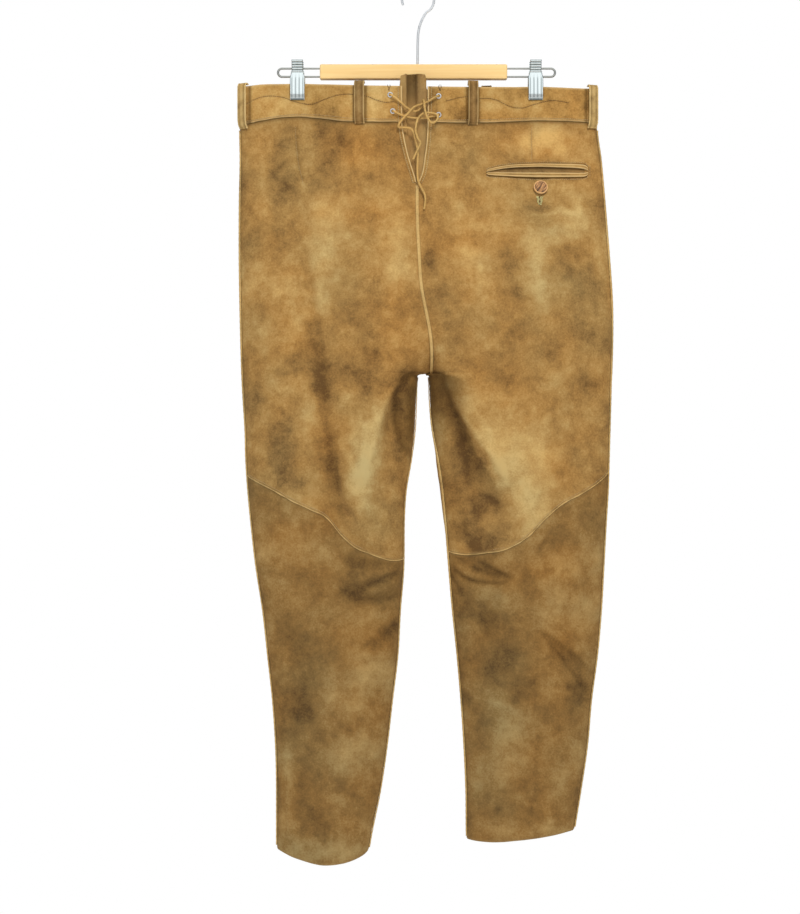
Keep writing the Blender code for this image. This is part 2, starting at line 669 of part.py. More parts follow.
def notch_share(half, drop):
    """Where the back panel and band begin beside the notch."""
    if drop >= NOTCH_TIP:
        return 0.0
    edge = float(read(NOTCH_EDGES, NOTCH_COLUMNS, column_of(half.side), drop))
    return half.share_of(edge, drop)


def seam_shift(half, shares, drops, points):
    """Draw the columns at side seams and inseams back by half the seam gap."""
    for column, step in ((0, 1), (-1, -2)):
        share = shares[column]
        if share in (0.0, 2.0):
            rows = drops[:, column] >= CROTCH
        else:
            rows = np.full(len(drops), True)
        inwards = unit(points[:, step] - points[:, column])
        points[rows, column] += inwards[rows] * SEAM_GAP / 2


def patch(half, shares, drops, out, wall, notched=False):
    """Outer and inner points of a piece cut from the skin."""
    drops = np.asarray(drops, float)
    grid = np.tile(np.asarray(shares, float), (len(drops), 1))
    if notched:
        for row, drop in zip(grid, drops[:, 0]):
            first = notch_share(half, drop)
            row[:] = first + (1 - first) * row
    outer = half.at(grid, drops, out)
    inner = half.at(grid, drops, np.asarray(out) - wall)
    seam_shift(half, shares, drops, outer)
    seam_shift(half, shares, drops, inner)
    return outer, inner


def upper_drops(side, shares):
    """Rows of the panels above the knee seam, with a row at the crotch."""
    top = band_drop("bottom", side, shares) + SEAM_GAP
    knee = knee_drop(side, shares) - KNEE_GAP / 2
    rise = CROTCH - RISE_START
    rows = [top]
    rows += [np.full(len(top), drop) for drop in UPPER_DROPS]
    rows += [np.full(len(top), RISE_START + rise * math.sin(math.radians(a))) for a in RISE_ANGLES]
    rows += [CROTCH + (knee - CROTCH) * step for step in THIGH_STEPS]
    return np.array(rows)


def calf_drops(side, shares):
    knee = knee_drop(side, shares) + KNEE_GAP / 2
    hem = hem_drop(side, shares)
    return np.array([knee + (hem - knee) * step for step in CALF_STEPS])


# ------------------------------------------------------------ meshes

def make_object(name, mesh, material, smooth=True):
    mesh.materials.append(material)
    if smooth:
        mesh.shade_smooth()
        mesh.set_sharp_from_angle(angle=math.radians(40))
    item = bpy.data.objects.new(name, mesh)
    bpy.context.scene.collection.objects.link(item)
    return item


def mesh_from(bm, name):
    bmesh.ops.recalc_face_normals(bm, faces=bm.faces)
    bmesh.ops.scale(bm, vec=(MM, MM, MM), verts=bm.verts)
    mesh = bpy.data.meshes.new(name)
    bm.to_mesh(mesh)
    bm.free()
    return mesh


def wall_object(name, outer, inner, material):
    """A closed wall between two grids of points of the same size."""
    rows, columns = outer.shape[:2]
    bm = bmesh.new()
    front = [[bm.verts.new(p) for p in row] for row in outer]
    back = [[bm.verts.new(p) for p in row] for row in inner]
    for r in range(rows - 1):
        for c in range(columns - 1):
            bm.faces.new((front[r][c], front[r][c + 1], front[r + 1][c + 1], front[r + 1][c]))
            bm.faces.new((back[r][c], back[r + 1][c], back[r + 1][c + 1], back[r][c + 1]))
    rim = [(0, c) for c in range(columns)]
    rim += [(r, columns - 1) for r in range(1, rows)]
    rim += [(rows - 1, c) for c in range(columns - 2, -1, -1)]
    rim += [(r, 0) for r in range(rows - 2, 0, -1)]
    for (r1, c1), (r2, c2) in zip(rim, rim[1:] + rim[:1]):
        bm.faces.new((front[r1][c1], back[r1][c1], back[r2][c2], front[r2][c2]))
    return make_object(name, mesh_from(bm, name), material)


def prism_object(name, outline, origin, along, across, width_axis, width, material):
    """A flat outline swept along its width axis, centred on its origin."""
    bm = bmesh.new()
    ends = []
    for shift in (-width / 2, width / 2):
        ends.append([
            bm.verts.new(origin + along * a + across * b + width_axis * shift) for a, b in outline
        ])
    bm.faces.new(ends[0])
    bm.faces.new(list(reversed(ends[1])))
    for k in range(len(outline)):
        n = (k + 1) % len(outline)
        bm.faces.new((ends[0][k], ends[1][k], ends[1][n], ends[0][n]))
    return make_object(name, mesh_from(bm, name), material)


def turned_object(name, profile, sides, origin, axis, material):
    """A profile of radius and height turned round an axis."""
    bm = bmesh.new()
    rings = []
    for radius, height in profile:
        if radius == 0.0:
            rings.append([bm.verts.new((0.0, 0.0, height))])
            continue
        angles = [2 * math.pi * k / sides for k in range(sides)]
        rings.append([
            bm.verts.new((radius * math.cos(a), radius * math.sin(a), height)) for a in angles
        ])
    for lower, upper in zip(rings, rings[1:]):
        for k in range(sides):
            n = (k + 1) % sides
            corners = [lower[k % len(lower)], lower[n % len(lower)]]
            corners += [upper[n % len(upper)], upper[k % len(upper)]]
            bm.faces.new(list(dict.fromkeys(corners)))
    turn = Vector((0.0, 0.0, 1.0)).rotation_difference(Vector(axis)).to_matrix().to_4x4()
    bmesh.ops.transform(bm, matrix=Matrix.Translation(Vector(origin)) @ turn, verts=bm.verts)
    return make_object(name, mesh_from(bm, name), material)


def tube_object(name, points, diameter, material):
    """A round tube along a path, closed at both ends."""
    curve = bpy.data.curves.new(name, "CURVE")
    curve.dimensions = "3D"
    curve.bevel_depth = diameter / 2 * MM
    curve.bevel_resolution = 2
    curve.use_fill_caps = True
    spline = curve.splines.new("POLY")
    spline.points.add(len(points) - 1)
    for point, place in zip(spline.points, points):
        point.co = (*(np.asarray(place) * MM), 1.0)
    curve.materials.append(material)
    item = bpy.data.objects.new(name, curve)
    bpy.context.scene.collection.objects.link(item)
    return item


def make_material(name, colour, roughness, metallic=0.0):
    material = bpy.data.materials.new(name)
    material.use_nodes = True
    shader = material.node_tree.nodes["Principled BSDF"]
    shader.inputs["Base Color"].default_value = (*colour, 1.0)
    shader.inputs["Roughness"].default_value = roughness
    shader.inputs["Metallic"].default_value = metallic
    return material


# ------------------------------------------------------------ the garment

def make_panels(halves, suede):
    for word, half in halves.items():
        back, front = np.array(BACK_SHARES), np.array(FRONT_SHARES)
        cuts = (
            ("back", back, upper_drops(half.side, back), True),
            ("back_calf", back, calf_drops(half.side, back), False),
            ("front", front, upper_drops(half.side, front), False),
            ("front_shin", front, calf_drops(half.side, front), False),
        )
        for name, shares, drops, notched in cuts:
            outer, inner = patch(half, shares, drops, 0.0, PANEL_WALL, notched)
            wall_object(f"{name}_{word}", outer, inner, suede)


def make_waistband(halves, suede):
    for word, half in halves.items():
        for name, shares, notched in (("back", BACK_SHARES, True), ("front", FRONT_SHARES, False)):
            shares = np.array(shares)
            drops = np.array([band_drop(edge, half.side, shares) for edge in ("top", "bottom")])
            outer, inner = patch(half, shares, drops, BAND_PROUD, BAND_WALL, notched)
            wall_object(f"waistband_{name}_{word}", outer, inner, suede)


def strip_along(points, outs, asides, base, thickness, width):
    """Outer and inner points of a narrow strip that follows a line on the leather."""
    base = np.broadcast_to(base, len(points))[:, None]
    edges = (-width / 2, width / 2)
    inner = np.stack([points + outs * base + asides * edge for edge in edges], axis=1)
    outer = np.stack([points + outs * (base + thickness) + asides * edge for edge in edges], axis=1)
    return outer, inner


def welt_drops(side, share, top):
    """Rows of the panels beside a seam, from the welt's top to just above the hem."""
    beside = np.full(2, share)
    rows = np.vstack([upper_drops(side, beside), calf_drops(side, beside)])
    drops = np.unique(rows[:, 0])
    drops = drops[(drops > top) & (np.diff(drops, append=np.inf) > 1.0)]
    drops[-1] -= WELT_END
    return drops


def make_seam_welts(halves, pale):
    """Leather welts that stand out of the side seams and the inseams."""
    for word, half in halves.items():
        for name, share, top in (("side", 1.0, WELT_TOP), ("inseam", 0.0, CROTCH + WELT_CROTCH_GAP)):
            places = welt_drops(half.side, share, top)
            points, outs, asides, _ = half.frame(np.full(len(places), share), places)
            outer, inner = strip_along(points, outs, asides, ON_CLOTH, WELT_THICKNESS, WELT_WIDTH)
            wall_object(f"{name}_welt_{word}", outer, inner, pale)


def make_centre_welt(halves, pale):
    """The welt of the centre back seam, from the tip of the notch to the crotch."""
    left, right = halves["left"], halves["right"]
    rise = CROTCH - RISE_START
    drops = [CENTRE_WELT_TOP] + [drop for drop in UPPER_DROPS if drop > CENTRE_WELT_TOP]
    drops += [RISE_START + rise * math.sin(math.radians(a)) for a in CENTRE_WELT_ANGLES]
    drops = np.array(drops)
    first, second = left.frame(0.0, drops), right.frame(0.0, drops)
    points = (first[0] + second[0]) / 2
    outs = unit(first[1] + second[1])
    asides = unit(np.cross(outs, np.array([0.0, 0.0, 1.0])))
    base = np.interp(drops, CENTRE_WELT_RISE, (ON_CLOTH, CENTRE_WELT_LIFT))
    outer, inner = strip_along(points, outs, asides, base, WELT_THICKNESS, WELT_WIDTH)
    wall_object("centre_back_welt", outer, inner, pale)


def make_notch_edges(halves, pale):
    """Turned strips along both sides of the notch, over the band and the panel."""
    for word, half in halves.items():
        drops = np.array(EDGE_DROPS)
        base = np.interp(drops, EDGE_STEP_DOWN, (BAND_PROUD + ON_CLOTH, ON_CLOTH))
        edges = []
        for k, drop in enumerate(drops):
            x = float(read(NOTCH_EDGES, NOTCH_COLUMNS, word, drop))
            near = half.share_of(x, drop)
            far = half.share_of(x + half.side * EDGE_WIDTH, drop)
            edges.append((near + EDGE_SHARE_GAP, far))
        shares = np.array(edges)
        outer = half.at(shares, drops[:, None], (base + EDGE_THICKNESS)[:, None])
        inner = half.at(shares, drops[:, None], base[:, None])
        wall_object(f"notch_edge_{word}", outer, inner, pale)


def make_gusset(halves, dark):
    """The pleated tongue behind the notch, which rises above the band."""
    left = halves["left"]
    across, recess, top = GUSSET_PLEAT.T
    outer = []
    for step in GUSSET_DROPS:
        drops = GUSSET_TOP + top + (GUSSET_BOTTOM - GUSSET_TOP - top) * step
        middle = float(np.mean(drops))
        edge_left = float(read(NOTCH_EDGES, NOTCH_COLUMNS, "left", middle)) - GUSSET_TUCK
        edge_right = float(read(NOTCH_EDGES, NOTCH_COLUMNS, "right", middle)) + GUSSET_TUCK
        face = left.at(0.0, middle)[1] + GUSSET_BEHIND
        xs = edge_left + (edge_right - edge_left) * across
        ys = face + GUSSET_DEPTH * (1 - step) ** GUSSET_TAPER * recess
        outer.append(np.column_stack([xs, ys, -drops]))
    outer = np.array(outer)
    along = np.gradient(outer, axis=1)
    down = np.gradient(outer, axis=0)
    out = unit(np.cross(down, along))
    wall_object("lacing_gusset", outer, outer - out * GUSSET_WALL, dark)


def offset_strip(path, thickness):
    """Outline of a strap of even thickness along a path in a plane."""
    path = np.asarray(path, float)
    along = unit(np.gradient(path, axis=0))
    aside = np.column_stack([-along[:, 1], along[:, 0]]) * thickness / 2
    return np.vstack([path + aside, (path - aside)[::-1]])


def make_belt_loops(halves, suede):
    """Straps that bridge the band, turned in over its top and under its bottom edge."""
    for name, loop in LOOPS.items():
        half = halves[column_of(loop.side)]
        share = half.share_of(loop.x, LOOP_MIDDLE, loop.front)
        behind = np.array((share - LOOP_HALF_SHARE, share, share + LOOP_HALF_SHARE))
        top = np.min(band_drop("top", loop.side, behind)) - LOOP_MIDDLE
        foot = np.max(band_drop("bottom", loop.side, behind)) - LOOP_MIDDLE + loop.foot
        edges = {"top": top, "arch": top - loop.rise, "foot": foot}
        origin, out, aside, down = half.frame(share, LOOP_MIDDLE)
        skin = half.at(share, LOOP_MIDDLE + foot - LOOP_FOOT_TAB / 2)
        foot_out = LOOP_TAB + float(np.dot(skin - origin, out))
        path = [(point.outward, edges[point.edge] + point.below) for point in LOOP_PROFILE]
        path += [(foot_out, foot - LOOP_FOOT_TAB), (foot_out, foot)]
        outline = offset_strip(path, LOOP_THICKNESS)
        prism_object(f"belt_loop_{name}", outline, origin, out, down, aside, LOOP_WIDTH, suede)


def make_pocket(halves, suede, dark):
    """Two jets round a bowed slit, and the dark facing seen between them."""
    half = halves["right"]
    across, upper_edge, slit_top, slit_bottom, lower_edge = POCKET_OUTLINE.T
    whole, inside = slice(None), slice(1, -1)
    pieces = (
        ("jet_upper", upper_edge, slit_top - SLIT_GAP, whole, JET_THICKNESS, suede),
        ("jet_lower", slit_bottom + SLIT_GAP, lower_edge, whole, JET_THICKNESS, suede),
        ("facing", slit_top + FACING_INSET, slit_bottom - FACING_INSET, inside, FACING_THICKNESS, dark),
    )
    for name, upper, lower, kept, thickness, material in pieces:
        drops = POCKET_DROP + np.array([upper[kept], lower[kept]])
        xs = POCKET_X + POCKET_HALF * across[kept]
        shares = np.array([[half.share_of(x, drop) for x, drop in zip(xs, row)] for row in drops])
        outer = half.at(shares, drops, POCKET_STAND + thickness)
        inner = half.at(shares, drops, POCKET_STAND)
        wall_object(f"pocket_{name}", outer, inner, material)


def make_buttons(halves, horn):
    half = halves["right"]
    for name, button in BUTTONS.items():
        share = half.share_of(button.x, button.drop, button.front)
        origin, out, _, _ = half.frame(share, button.drop)
        origin = origin + out * button.stand
        turned_object(name, BUTTON_PROFILE, BUTTON_SIDES, origin, out, horn)


def make_eyelets(halves, metal):
    """Small rings on the band's outer face."""
    for name, (side, x, drop) in EYELETS.items():
        half = halves[column_of(side)]
        origin, out, _, _ = half.frame(half.share_of(x, drop), drop)
        bm = bmesh.new()
        rings = []
        for k in range(EYELET_AROUND):
            turn = 2 * math.pi * k / EYELET_AROUND
            ring = []
            for j in range(EYELET_ROUND):
                roll = 2 * math.pi * j / EYELET_ROUND
                radius = EYELET_INNER + EYELET_RING * (1 + math.cos(roll))
                height = EYELET_RING * EYELET_FLATNESS * (1 + math.sin(roll))
                ring.append(bm.verts.new((radius * math.cos(turn), radius * math.sin(turn), height)))
            rings.append(ring)
        for k in range(EYELET_AROUND):
            near, far = rings[k], rings[(k + 1) % EYELET_AROUND]
            for j in range(EYELET_ROUND):
                n = (j + 1) % EYELET_ROUND
                bm.faces.new((near[j], far[j], far[n], near[n]))
        turn = Vector((0.0, 0.0, 1.0)).rotation_difference(Vector(out)).to_matrix().to_4x4()
        place = Matrix.Translation(Vector(origin + out * (BAND_PROUD + ON_CLOTH)))
        bmesh.ops.transform(bm, matrix=place @ turn, verts=bm.verts)
        make_object(name, mesh_from(bm, name), metal)


def make_laces(pale):
    """Leather lace, from the eyelets over the notch to its free ends."""
    for name, route in LACES.items():
        x, drop, height = np.array(route).T
        places = np.column_stack([x, -LACE_FACE - BAND_PROUD - height, -drop])
        path = smooth_path(places)
        length = float(np.sum(np.linalg.norm(np.diff(path, axis=0), axis=1)))
        tube_object(name, even(path, round(length / LACE_SPACING) + 1), LACE_DIAMETER, pale)


# ------------------------------------------------------------ the hanger

def make_bar(pine):
    bm = bmesh.new()
    bmesh.ops.create_cube(bm, size=1.0)
    length = BAR_ENDS[1] - BAR_ENDS[0]
    bmesh.ops.scale(bm, vec=(length, BAR_DEPTH, BAR_HEIGHT), verts=bm.verts)
    middle = (sum(BAR_ENDS) / 2, 0.0, -BAR_TOP - BAR_HEIGHT / 2)
    bmesh.ops.translate(bm, vec=middle, verts=bm.verts)
    bmesh.ops.bevel(
        bm, geom=bm.edges[:], offset=BAR_ROUNDING, segments=2, profile=0.5, affect="EDGES",
    )
    make_object("hanger_bar", mesh_from(bm, "hanger_bar"), pine)


def make_wires(steel):
    """A wire on each side that runs out of the bar, turns back and carries a clip."""
    middle = sum(WIRE_DROPS) / 2
    radius = (WIRE_DROPS[1] - WIRE_DROPS[0]) / 2
    for word, side in SIDES.items():
        start = BAR_ENDS[0 if side == LEFT else 1] + side * SEAM_GAP
        centre = WIRE_BENDS[word] - side * radius
        points = [(start, 0.0, -WIRE_DROPS[0])]
        for k in range(WIRE_TURN_STEPS + 1):
            angle = math.pi * k / WIRE_TURN_STEPS
            x = centre + side * radius * math.sin(angle)
            points.append((x, 0.0, -middle + radius * math.cos(angle)))
        points.append((start, 0.0, -WIRE_DROPS[1]))
        tube_object(f"hanger_wire_{word}", points, WIRE_DIAMETER, steel)


def make_hook(steel):
    """A wire hook whose inside rests on a rail at the origin."""
    radius = HOOK_INSIDE + HOOK_DIAMETER / 2
    points = [(x, 0.0, -drop) for x, drop in zip(HOOK_STEM_X, HOOK_STEM)]
    for angle in range(HOOK_START_ANGLE, HOOK_END_ANGLE + 1, HOOK_STEP_ANGLE):
        turn = math.radians(angle)
        points.append((radius * math.cos(turn), 0.0, -HOOK_INSIDE + radius * math.sin(turn)))
    tube_object("hanger_hook", even(smooth_path(points), HOOK_POINTS), HOOK_DIAMETER, steel)


def make_clips(steel):
    """Two ribbed plates with toothed jaws that hold the waistband, and the hub between them."""
    ribs = 4 * CLIP_RIBS
    t = np.linspace(0.0, 1.0, ribs + 1)
    out = GRIP_OUT[0] + (GRIP_OUT[1] - GRIP_OUT[0]) * t
    out = out + RIB_HEIGHT * np.abs(np.sin(np.pi * CLIP_RIBS * t))
    drop = GRIP_TOP + (GRIP_BOTTOM - GRIP_TOP) * t
    face = np.vstack([np.column_stack([out, drop]), JAW_PROFILE])
    plain = np.vstack([
        [(GRIP_OUT[0] - CLIP_WALL, GRIP_TOP), (GRIP_OUT[1] - CLIP_WALL, GRIP_BOTTOM)],
        [(outward - CLIP_WALL, place) for outward, place in JAW_PROFILE[:-1]],
        [(JAW_PROFILE[-1][0] - JAW_TIP[0], JAW_PROFILE[-1][1] - JAW_TIP[1])],
    ])
    outline = np.vstack([face, plain[::-1]])
    x_axis = np.array([1.0, 0.0, 0.0])
    down = np.array([0.0, 0.0, -1.0])
    for word, x in CLIP_X.items():
        for name, facing in (("back", -1.0), ("front", 1.0)):
            outward = np.array([0.0, facing, 0.0])
            prism_object(
                f"clip_{word}_{name}_plate", outline, np.array([x, 0.0, 0.0]), outward, down,
                x_axis, CLIP_WIDTH, steel,
            )
        profile = ((0.0, 0.0), (HUB_RADIUS, 0.0), (HUB_RADIUS, HUB_LENGTH), (0.0, HUB_LENGTH))
        origin = (x - HUB_LENGTH / 2, 0.0, -HUB_DROP)
        turned_object(f"clip_{word}_hub", profile, HUB_SIDES, origin, (1.0, 0.0, 0.0), steel)


def main():
    for item in list(bpy.data.objects):
        bpy.data.objects.remove(item, do_unlink=True)
    suede = make_material("suede", SUEDE, 0.9)
    pale = make_material("pale_leather", SUEDE_PALE, 0.85)
    dark = make_material("dark_leather", SUEDE_DARK, 0.9)
    horn = make_material("horn", HORN, 0.35)
    metal = make_material("chrome", CHROME, 0.2, 1.0)
    pine = make_material("pine", PINE, 0.5)
    halves = {word: Half(side) for word, side in SIDES.items()}
    make_panels(halves, suede)
    make_waistband(halves, suede)
    make_seam_welts(halves, pale)
    make_centre_welt(halves, pale)
    make_notch_edges(halves, pale)
    make_gusset(halves, dark)
    make_belt_loops(halves, suede)
    make_pocket(halves, suede, dark)
    make_buttons(halves, horn)
    make_eyelets(halves, metal)
    make_laces(pale)
    make_bar(pine)
    make_wires(metal)
    make_hook(metal)
    make_clips(metal)


main()
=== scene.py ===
"""Long leather breeches on a clip hanger: the finish of every piece.

The leather follows one skin for each half of the garment, read from horizontal
sections. A point of the skin has a share (0 at the centre back or inseam, 1 at
the side seam, 2 at the centre front or inseam again) and a drop, its distance
below the hook. Panels, bands, welts and seams are cut from that skin.

Lengths are millimetres until a mesh or a curve is made, and MM makes them metres.
"""

import math
from collections import namedtuple

import bmesh
import bpy
import numpy as np
from bpy.props import FloatProperty, FloatVectorProperty, PointerProperty
from bpy.types import Operator, Panel, PropertyGroup
from mathutils import Matrix, Vector


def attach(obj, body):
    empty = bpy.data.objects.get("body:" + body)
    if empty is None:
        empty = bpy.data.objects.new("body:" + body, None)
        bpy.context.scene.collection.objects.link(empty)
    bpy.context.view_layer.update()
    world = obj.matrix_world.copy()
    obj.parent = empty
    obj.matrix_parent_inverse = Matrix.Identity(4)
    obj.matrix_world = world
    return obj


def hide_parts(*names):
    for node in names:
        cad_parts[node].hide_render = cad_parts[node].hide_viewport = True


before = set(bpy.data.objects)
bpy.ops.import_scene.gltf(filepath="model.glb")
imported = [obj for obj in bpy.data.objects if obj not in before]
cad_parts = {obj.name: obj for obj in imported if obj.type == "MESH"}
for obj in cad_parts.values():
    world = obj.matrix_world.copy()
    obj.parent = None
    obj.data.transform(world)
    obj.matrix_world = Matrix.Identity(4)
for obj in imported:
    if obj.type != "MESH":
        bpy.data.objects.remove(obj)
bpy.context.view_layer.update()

bl_info = {
    "name": "Leather breeches on a hanger",
    "version": (1, 0, 0),
    "blender": (4, 5, 0),
    "location": "View3D > Sidebar > Breeches",
    "description": "Builds long suede breeches with a laced back, hanging from a clip hanger",
    "category": "Object",
}

MM = 0.001
UP = (0.0, 0.0, 1.0)
LEFT, RIGHT = -1, 1
SIDES = {"left": LEFT, "right": RIGHT}


# ------------------------------------------------------------ settings

class LeatherSettings(PropertyGroup):
    """Colours, relief and stitches of the leather."""

    upper_colour: FloatVectorProperty(
        name="Upper Suede", description="Middle tone of the suede above the knee", subtype="COLOR",
        min=0.0, max=1.0, default=(0.42, 0.235, 0.072),
    )
    lower_colour: FloatVectorProperty(
        name="Lower Suede", description="Middle tone of the suede below the knee", subtype="COLOR",
        min=0.0, max=1.0, default=(0.29, 0.162, 0.05),
    )
    band_colour: FloatVectorProperty(
        name="Waistband", description="Middle tone of the waistband", subtype="COLOR",
        min=0.0, max=1.0, default=(0.47, 0.262, 0.076),
    )
    thong_colour: FloatVectorProperty(
        name="Laces", description="Middle tone of the leather laces", subtype="COLOR",
        min=0.0, max=1.0, default=(0.64, 0.4, 0.135),
    )
    ripple_height: FloatProperty(
        name="Ripple Height", description="Height of the leather's fine ripples", unit="LENGTH",
        min=0.0, max=2.0 * MM, default=0.42 * MM,
    )
    crease_depth: FloatProperty(
        name="Crease Depth", description="How many times their drawn height the creases reach",
        min=0.0, max=3.0, default=1.35,
    )
    stitch_spacing: FloatProperty(
        name="Stitch Spacing", description="Distance from one stitch to the next along a seam",
        unit="LENGTH", min=1.5 * MM, max=8.0 * MM, default=2.8 * MM,
    )


class HangerSettings(PropertyGroup):
    """Finish of the hanger and its clips."""

    wood_colour: FloatVectorProperty(
        name="Wood", description="Pale tone of the bar's wood", subtype="COLOR",
        min=0.0, max=1.0, default=(1.0, 0.71, 0.32),
    )
    chrome_colour: FloatVectorProperty(
        name="Chrome", description="Colour of the plated clips", subtype="COLOR",
        min=0.0, max=1.0, default=(0.89, 0.95, 0.94),
    )
    flute_depth: FloatProperty(
        name="Flute Depth", description="Depth of the flutes down each clip's jaw", unit="LENGTH",
        min=0.05 * MM, max=1.0 * MM, default=0.45 * MM,
    )


class StageSettings(PropertyGroup):
    """Light and floor of the stage."""

    key_power: FloatProperty(
        name="Key Light", description="Power of the large light above the camera", unit="POWER",
        min=0.0, default=55.0,
    )
    key_size: FloatProperty(
        name="Key Size", description="Diameter of the large light", unit="LENGTH",
        min=0.1, default=1.1,
    )
    fill_power: FloatProperty(
        name="Fill Light", description="Power of the light at the left", unit="POWER",
        min=0.0, default=9.0,
    )
    ambient: FloatProperty(
        name="Ambient", description="Strength of the even light all round", subtype="FACTOR",
        min=0.0, max=1.0, default=0.33,
    )
    floor_colour: FloatVectorProperty(
        name="Floor", description="Colour of the floor", subtype="COLOR",
        min=0.0, max=1.0, default=(0.9, 0.9, 0.9),
    )


def leather_settings():
    return bpy.context.scene.breeches_leather


def hanger_settings():
    return bpy.context.scene.breeches_hanger


# ------------------------------------------------------------ numbers and lines

class Table:
    """Rows of numbers with named columns, read at places along the first column."""

    def __init__(self, columns, rows):
        self.columns = columns.split()
        self.rows = np.array(rows, float)

    def column(self, name):
        return self.rows[:, self.columns.index(name)]

    def read(self, name, where):
        """A column on a smooth curve that never overshoots its rows."""
        xs, ys = self.rows[:, 0], self.column(name)
        steps = np.diff(ys) / np.diff(xs)
        before, after = np.append(steps[:1], steps), np.append(steps, steps[-1:])
        steepest = 3 * np.minimum(np.abs(before), np.abs(after))
        slopes = np.clip(np.gradient(ys, xs), -steepest, steepest)
        where = np.clip(np.asarray(where, float), xs[0], xs[-1])
        i = np.clip(np.searchsorted(xs, where, side="right") - 1, 0, len(xs) - 2)
        run = xs[i + 1] - xs[i]
        t = (where - xs[i]) / run
        start = ys[i] * (2 * t**3 - 3 * t**2 + 1) + slopes[i] * run * (t**3 - 2 * t**2 + t)
        end = ys[i + 1] * (3 * t**2 - 2 * t**3) + slopes[i + 1] * run * (t**3 - t**2)
        return start + end


def ease(x):
    """Smooth step from 0 to 1."""
    x = np.clip(x, 0.0, 1.0)
    return x * x * (3 - 2 * x)


def bell(away, width):
    """1 where `away` is 0, falling off over the width on both sides."""
    return np.exp(-(away / width) ** 2)


def unit(vectors):
    return vectors / np.maximum(np.linalg.norm(vectors, axis=-1, keepdims=True), 1e-9)


def even(points, count):
    """The polyline again, as `count` points evenly spaced along it."""
    steps = np.linalg.norm(np.diff(points, axis=0), axis=1)
    along = np.concatenate([[0.0], np.cumsum(steps)])
    wanted = np.linspace(0.0, along[-1], count)
    return np.stack([np.interp(wanted, along, column) for column in points.T], axis=1)


def smooth_path(points, steps=12):
    """A smooth curve through the points (Catmull-Rom)."""
    points = np.asarray(points, float)
    padded = np.vstack([2 * points[0] - points[1], points, 2 * points[-1] - points[-2]])
    t = np.linspace(0.0, 1.0, steps, endpoint=False)[:, None]
    runs = []
    for a, b, c, d in zip(padded, padded[1:], padded[2:], padded[3:]):
        bend = 2 * a - 5 * b + 4 * c - d
        twist = 3 * b - a - 3 * c + d
        runs.append(0.5 * (2 * b + (c - a) * t + bend * t**2 + twist * t**3))
    return np.vstack(runs + [points[-1:]])


def turn_about(count):
    """Angles all round a circle."""
    return np.linspace(0.0, 2 * math.pi, count, endpoint=False)


def places_of(points):
    """Places (x, drop) of points."""
    return np.stack([points[..., 0], -points[..., 2]], axis=-1)


# ------------------------------------------------------------ sizes, in millimetres

# Leather
PANEL_WALL = 2.0
BAND_WALL = 3.2
BAND_PROUD = 1.0
SEAM_GAP = 0.3
KNEE_GAP = 0.6
ON_CLOTH = 0.4

# Section shape
SQUARENESS = 2.3
SIDE_SEAM_ANGLE = 172.0
SIDE_SEAM_DEPTH = 6.0
WAIST_SIDE = 0.9
PINCH_FADE = (190.0, 345.0)
SKIN_TOP = 120.0
SKIN_BOTTOM = 1191.0
SKIN_STEP = 4.0
RISE_START = 411.0
RISE_DEGREES = 2.5
CROTCH = 521.0
BELOW_CROTCH = (0.0, 0.8, 1.6, 2.5, 3.5, 5.0, 8.0, 13.0)
LEG_START = CROTCH + 17.0
SHARE_STEPS = 201
CROTCH_X = 18.0
CROTCH_OPEN = 523.5
CROTCH_EDGE = 9.0
THIGH_BLEND = (395.0, 655.0)
THIGH_SHARE = 0.32

# Outline of both halves, one row for each height
OUTLINE = Table((
    "drop outer_left inner_left inseam_left outer_right inner_right inseam_right"
    " back front middle"
), [
    (120, -239, 8, -4, 240, 8, -4, 26, 24, 0),
    (195, -238.5, 8, -4, 240, 8, -4, 27, 25, 0),
    (235, -238, 8, -4, 245, 8, -4, 32, 30, 0),
    (290, -239.5, 8, -4, 250.5, 8, -4, 38, 36, 0),
    (360, -240, 8, -4, 256.5, 8, -4, 43, 39, 0),
    (430, -239, 8, -4, 261, 8, -4, 45, 40, 0),
    (CROTCH, -236.5, 8, -4, 260, 8, -4, 42, 40, 8),
    (523.5, -236.4, -0.3, -4, 259.8, 14.1, -4, 42, 40, 8),
    (557, -234.5, -2.7, -2, 258.6, 16.1, 0, 41, 38, 7),
    (597, -231.8, -4.5, 2, 257.3, 18.8, 8, 40, 36, 5),
    (637, -230.5, -9.4, 4, 255.9, 24.1, 14, 39, 35, 3),
    (677, -227.8, -16.1, 5, 254.6, 29.5, 15, 38, 34, 2),
    (718, -223.8, -18.8, 5, 251.9, 34.8, 12, 37, 34, 0),
    (778, -217, -19.4, 5, 248.6, 40.6, 9, 35, 33, 0),
    (838, -207.7, -24.1, 5, 245.2, 46, 8, 33, 31, 0),
    (898, -201, -27.5, 5, 239.9, 52.3, 8, 31, 30, 0),
    (959, -194.3, -34.8, 5, 231.8, 57.6, 8, 29, 28, 0),
    (1019, -190.3, -41.8, 5, 226.5, 61.6, 8, 27, 27, 0),
    (1080, -188.9, -50.9, 5, 217.5, 64.3, 8, 26, 26, 0),
    (1140, -188.9, -63, 5, 208, 65, 8, 25, 25, 0),
    (1190, -188.9, -71, 5, 202, 67, 8, 25, 25, 0),
])

# Plan of the waist from centre to side: the clips pinch it flat at two thirds
PlanPoint = namedtuple("PlanPoint", "reach back front")
WAIST_PLAN = [PlanPoint(*row) for row in (
    (0, 27, 21), (0.25, 24.5, 19), (0.45, 15, 12.5), (0.6, 5.1, 5.1), (0.67, 4.8, 4.8),
    (0.74, 5.1, 5.1), (0.85, 11.5, 11.5), (0.94, 15, 15), (0.98, 11.5, 11.5), (0.998, 4.5, 4.5),
)]

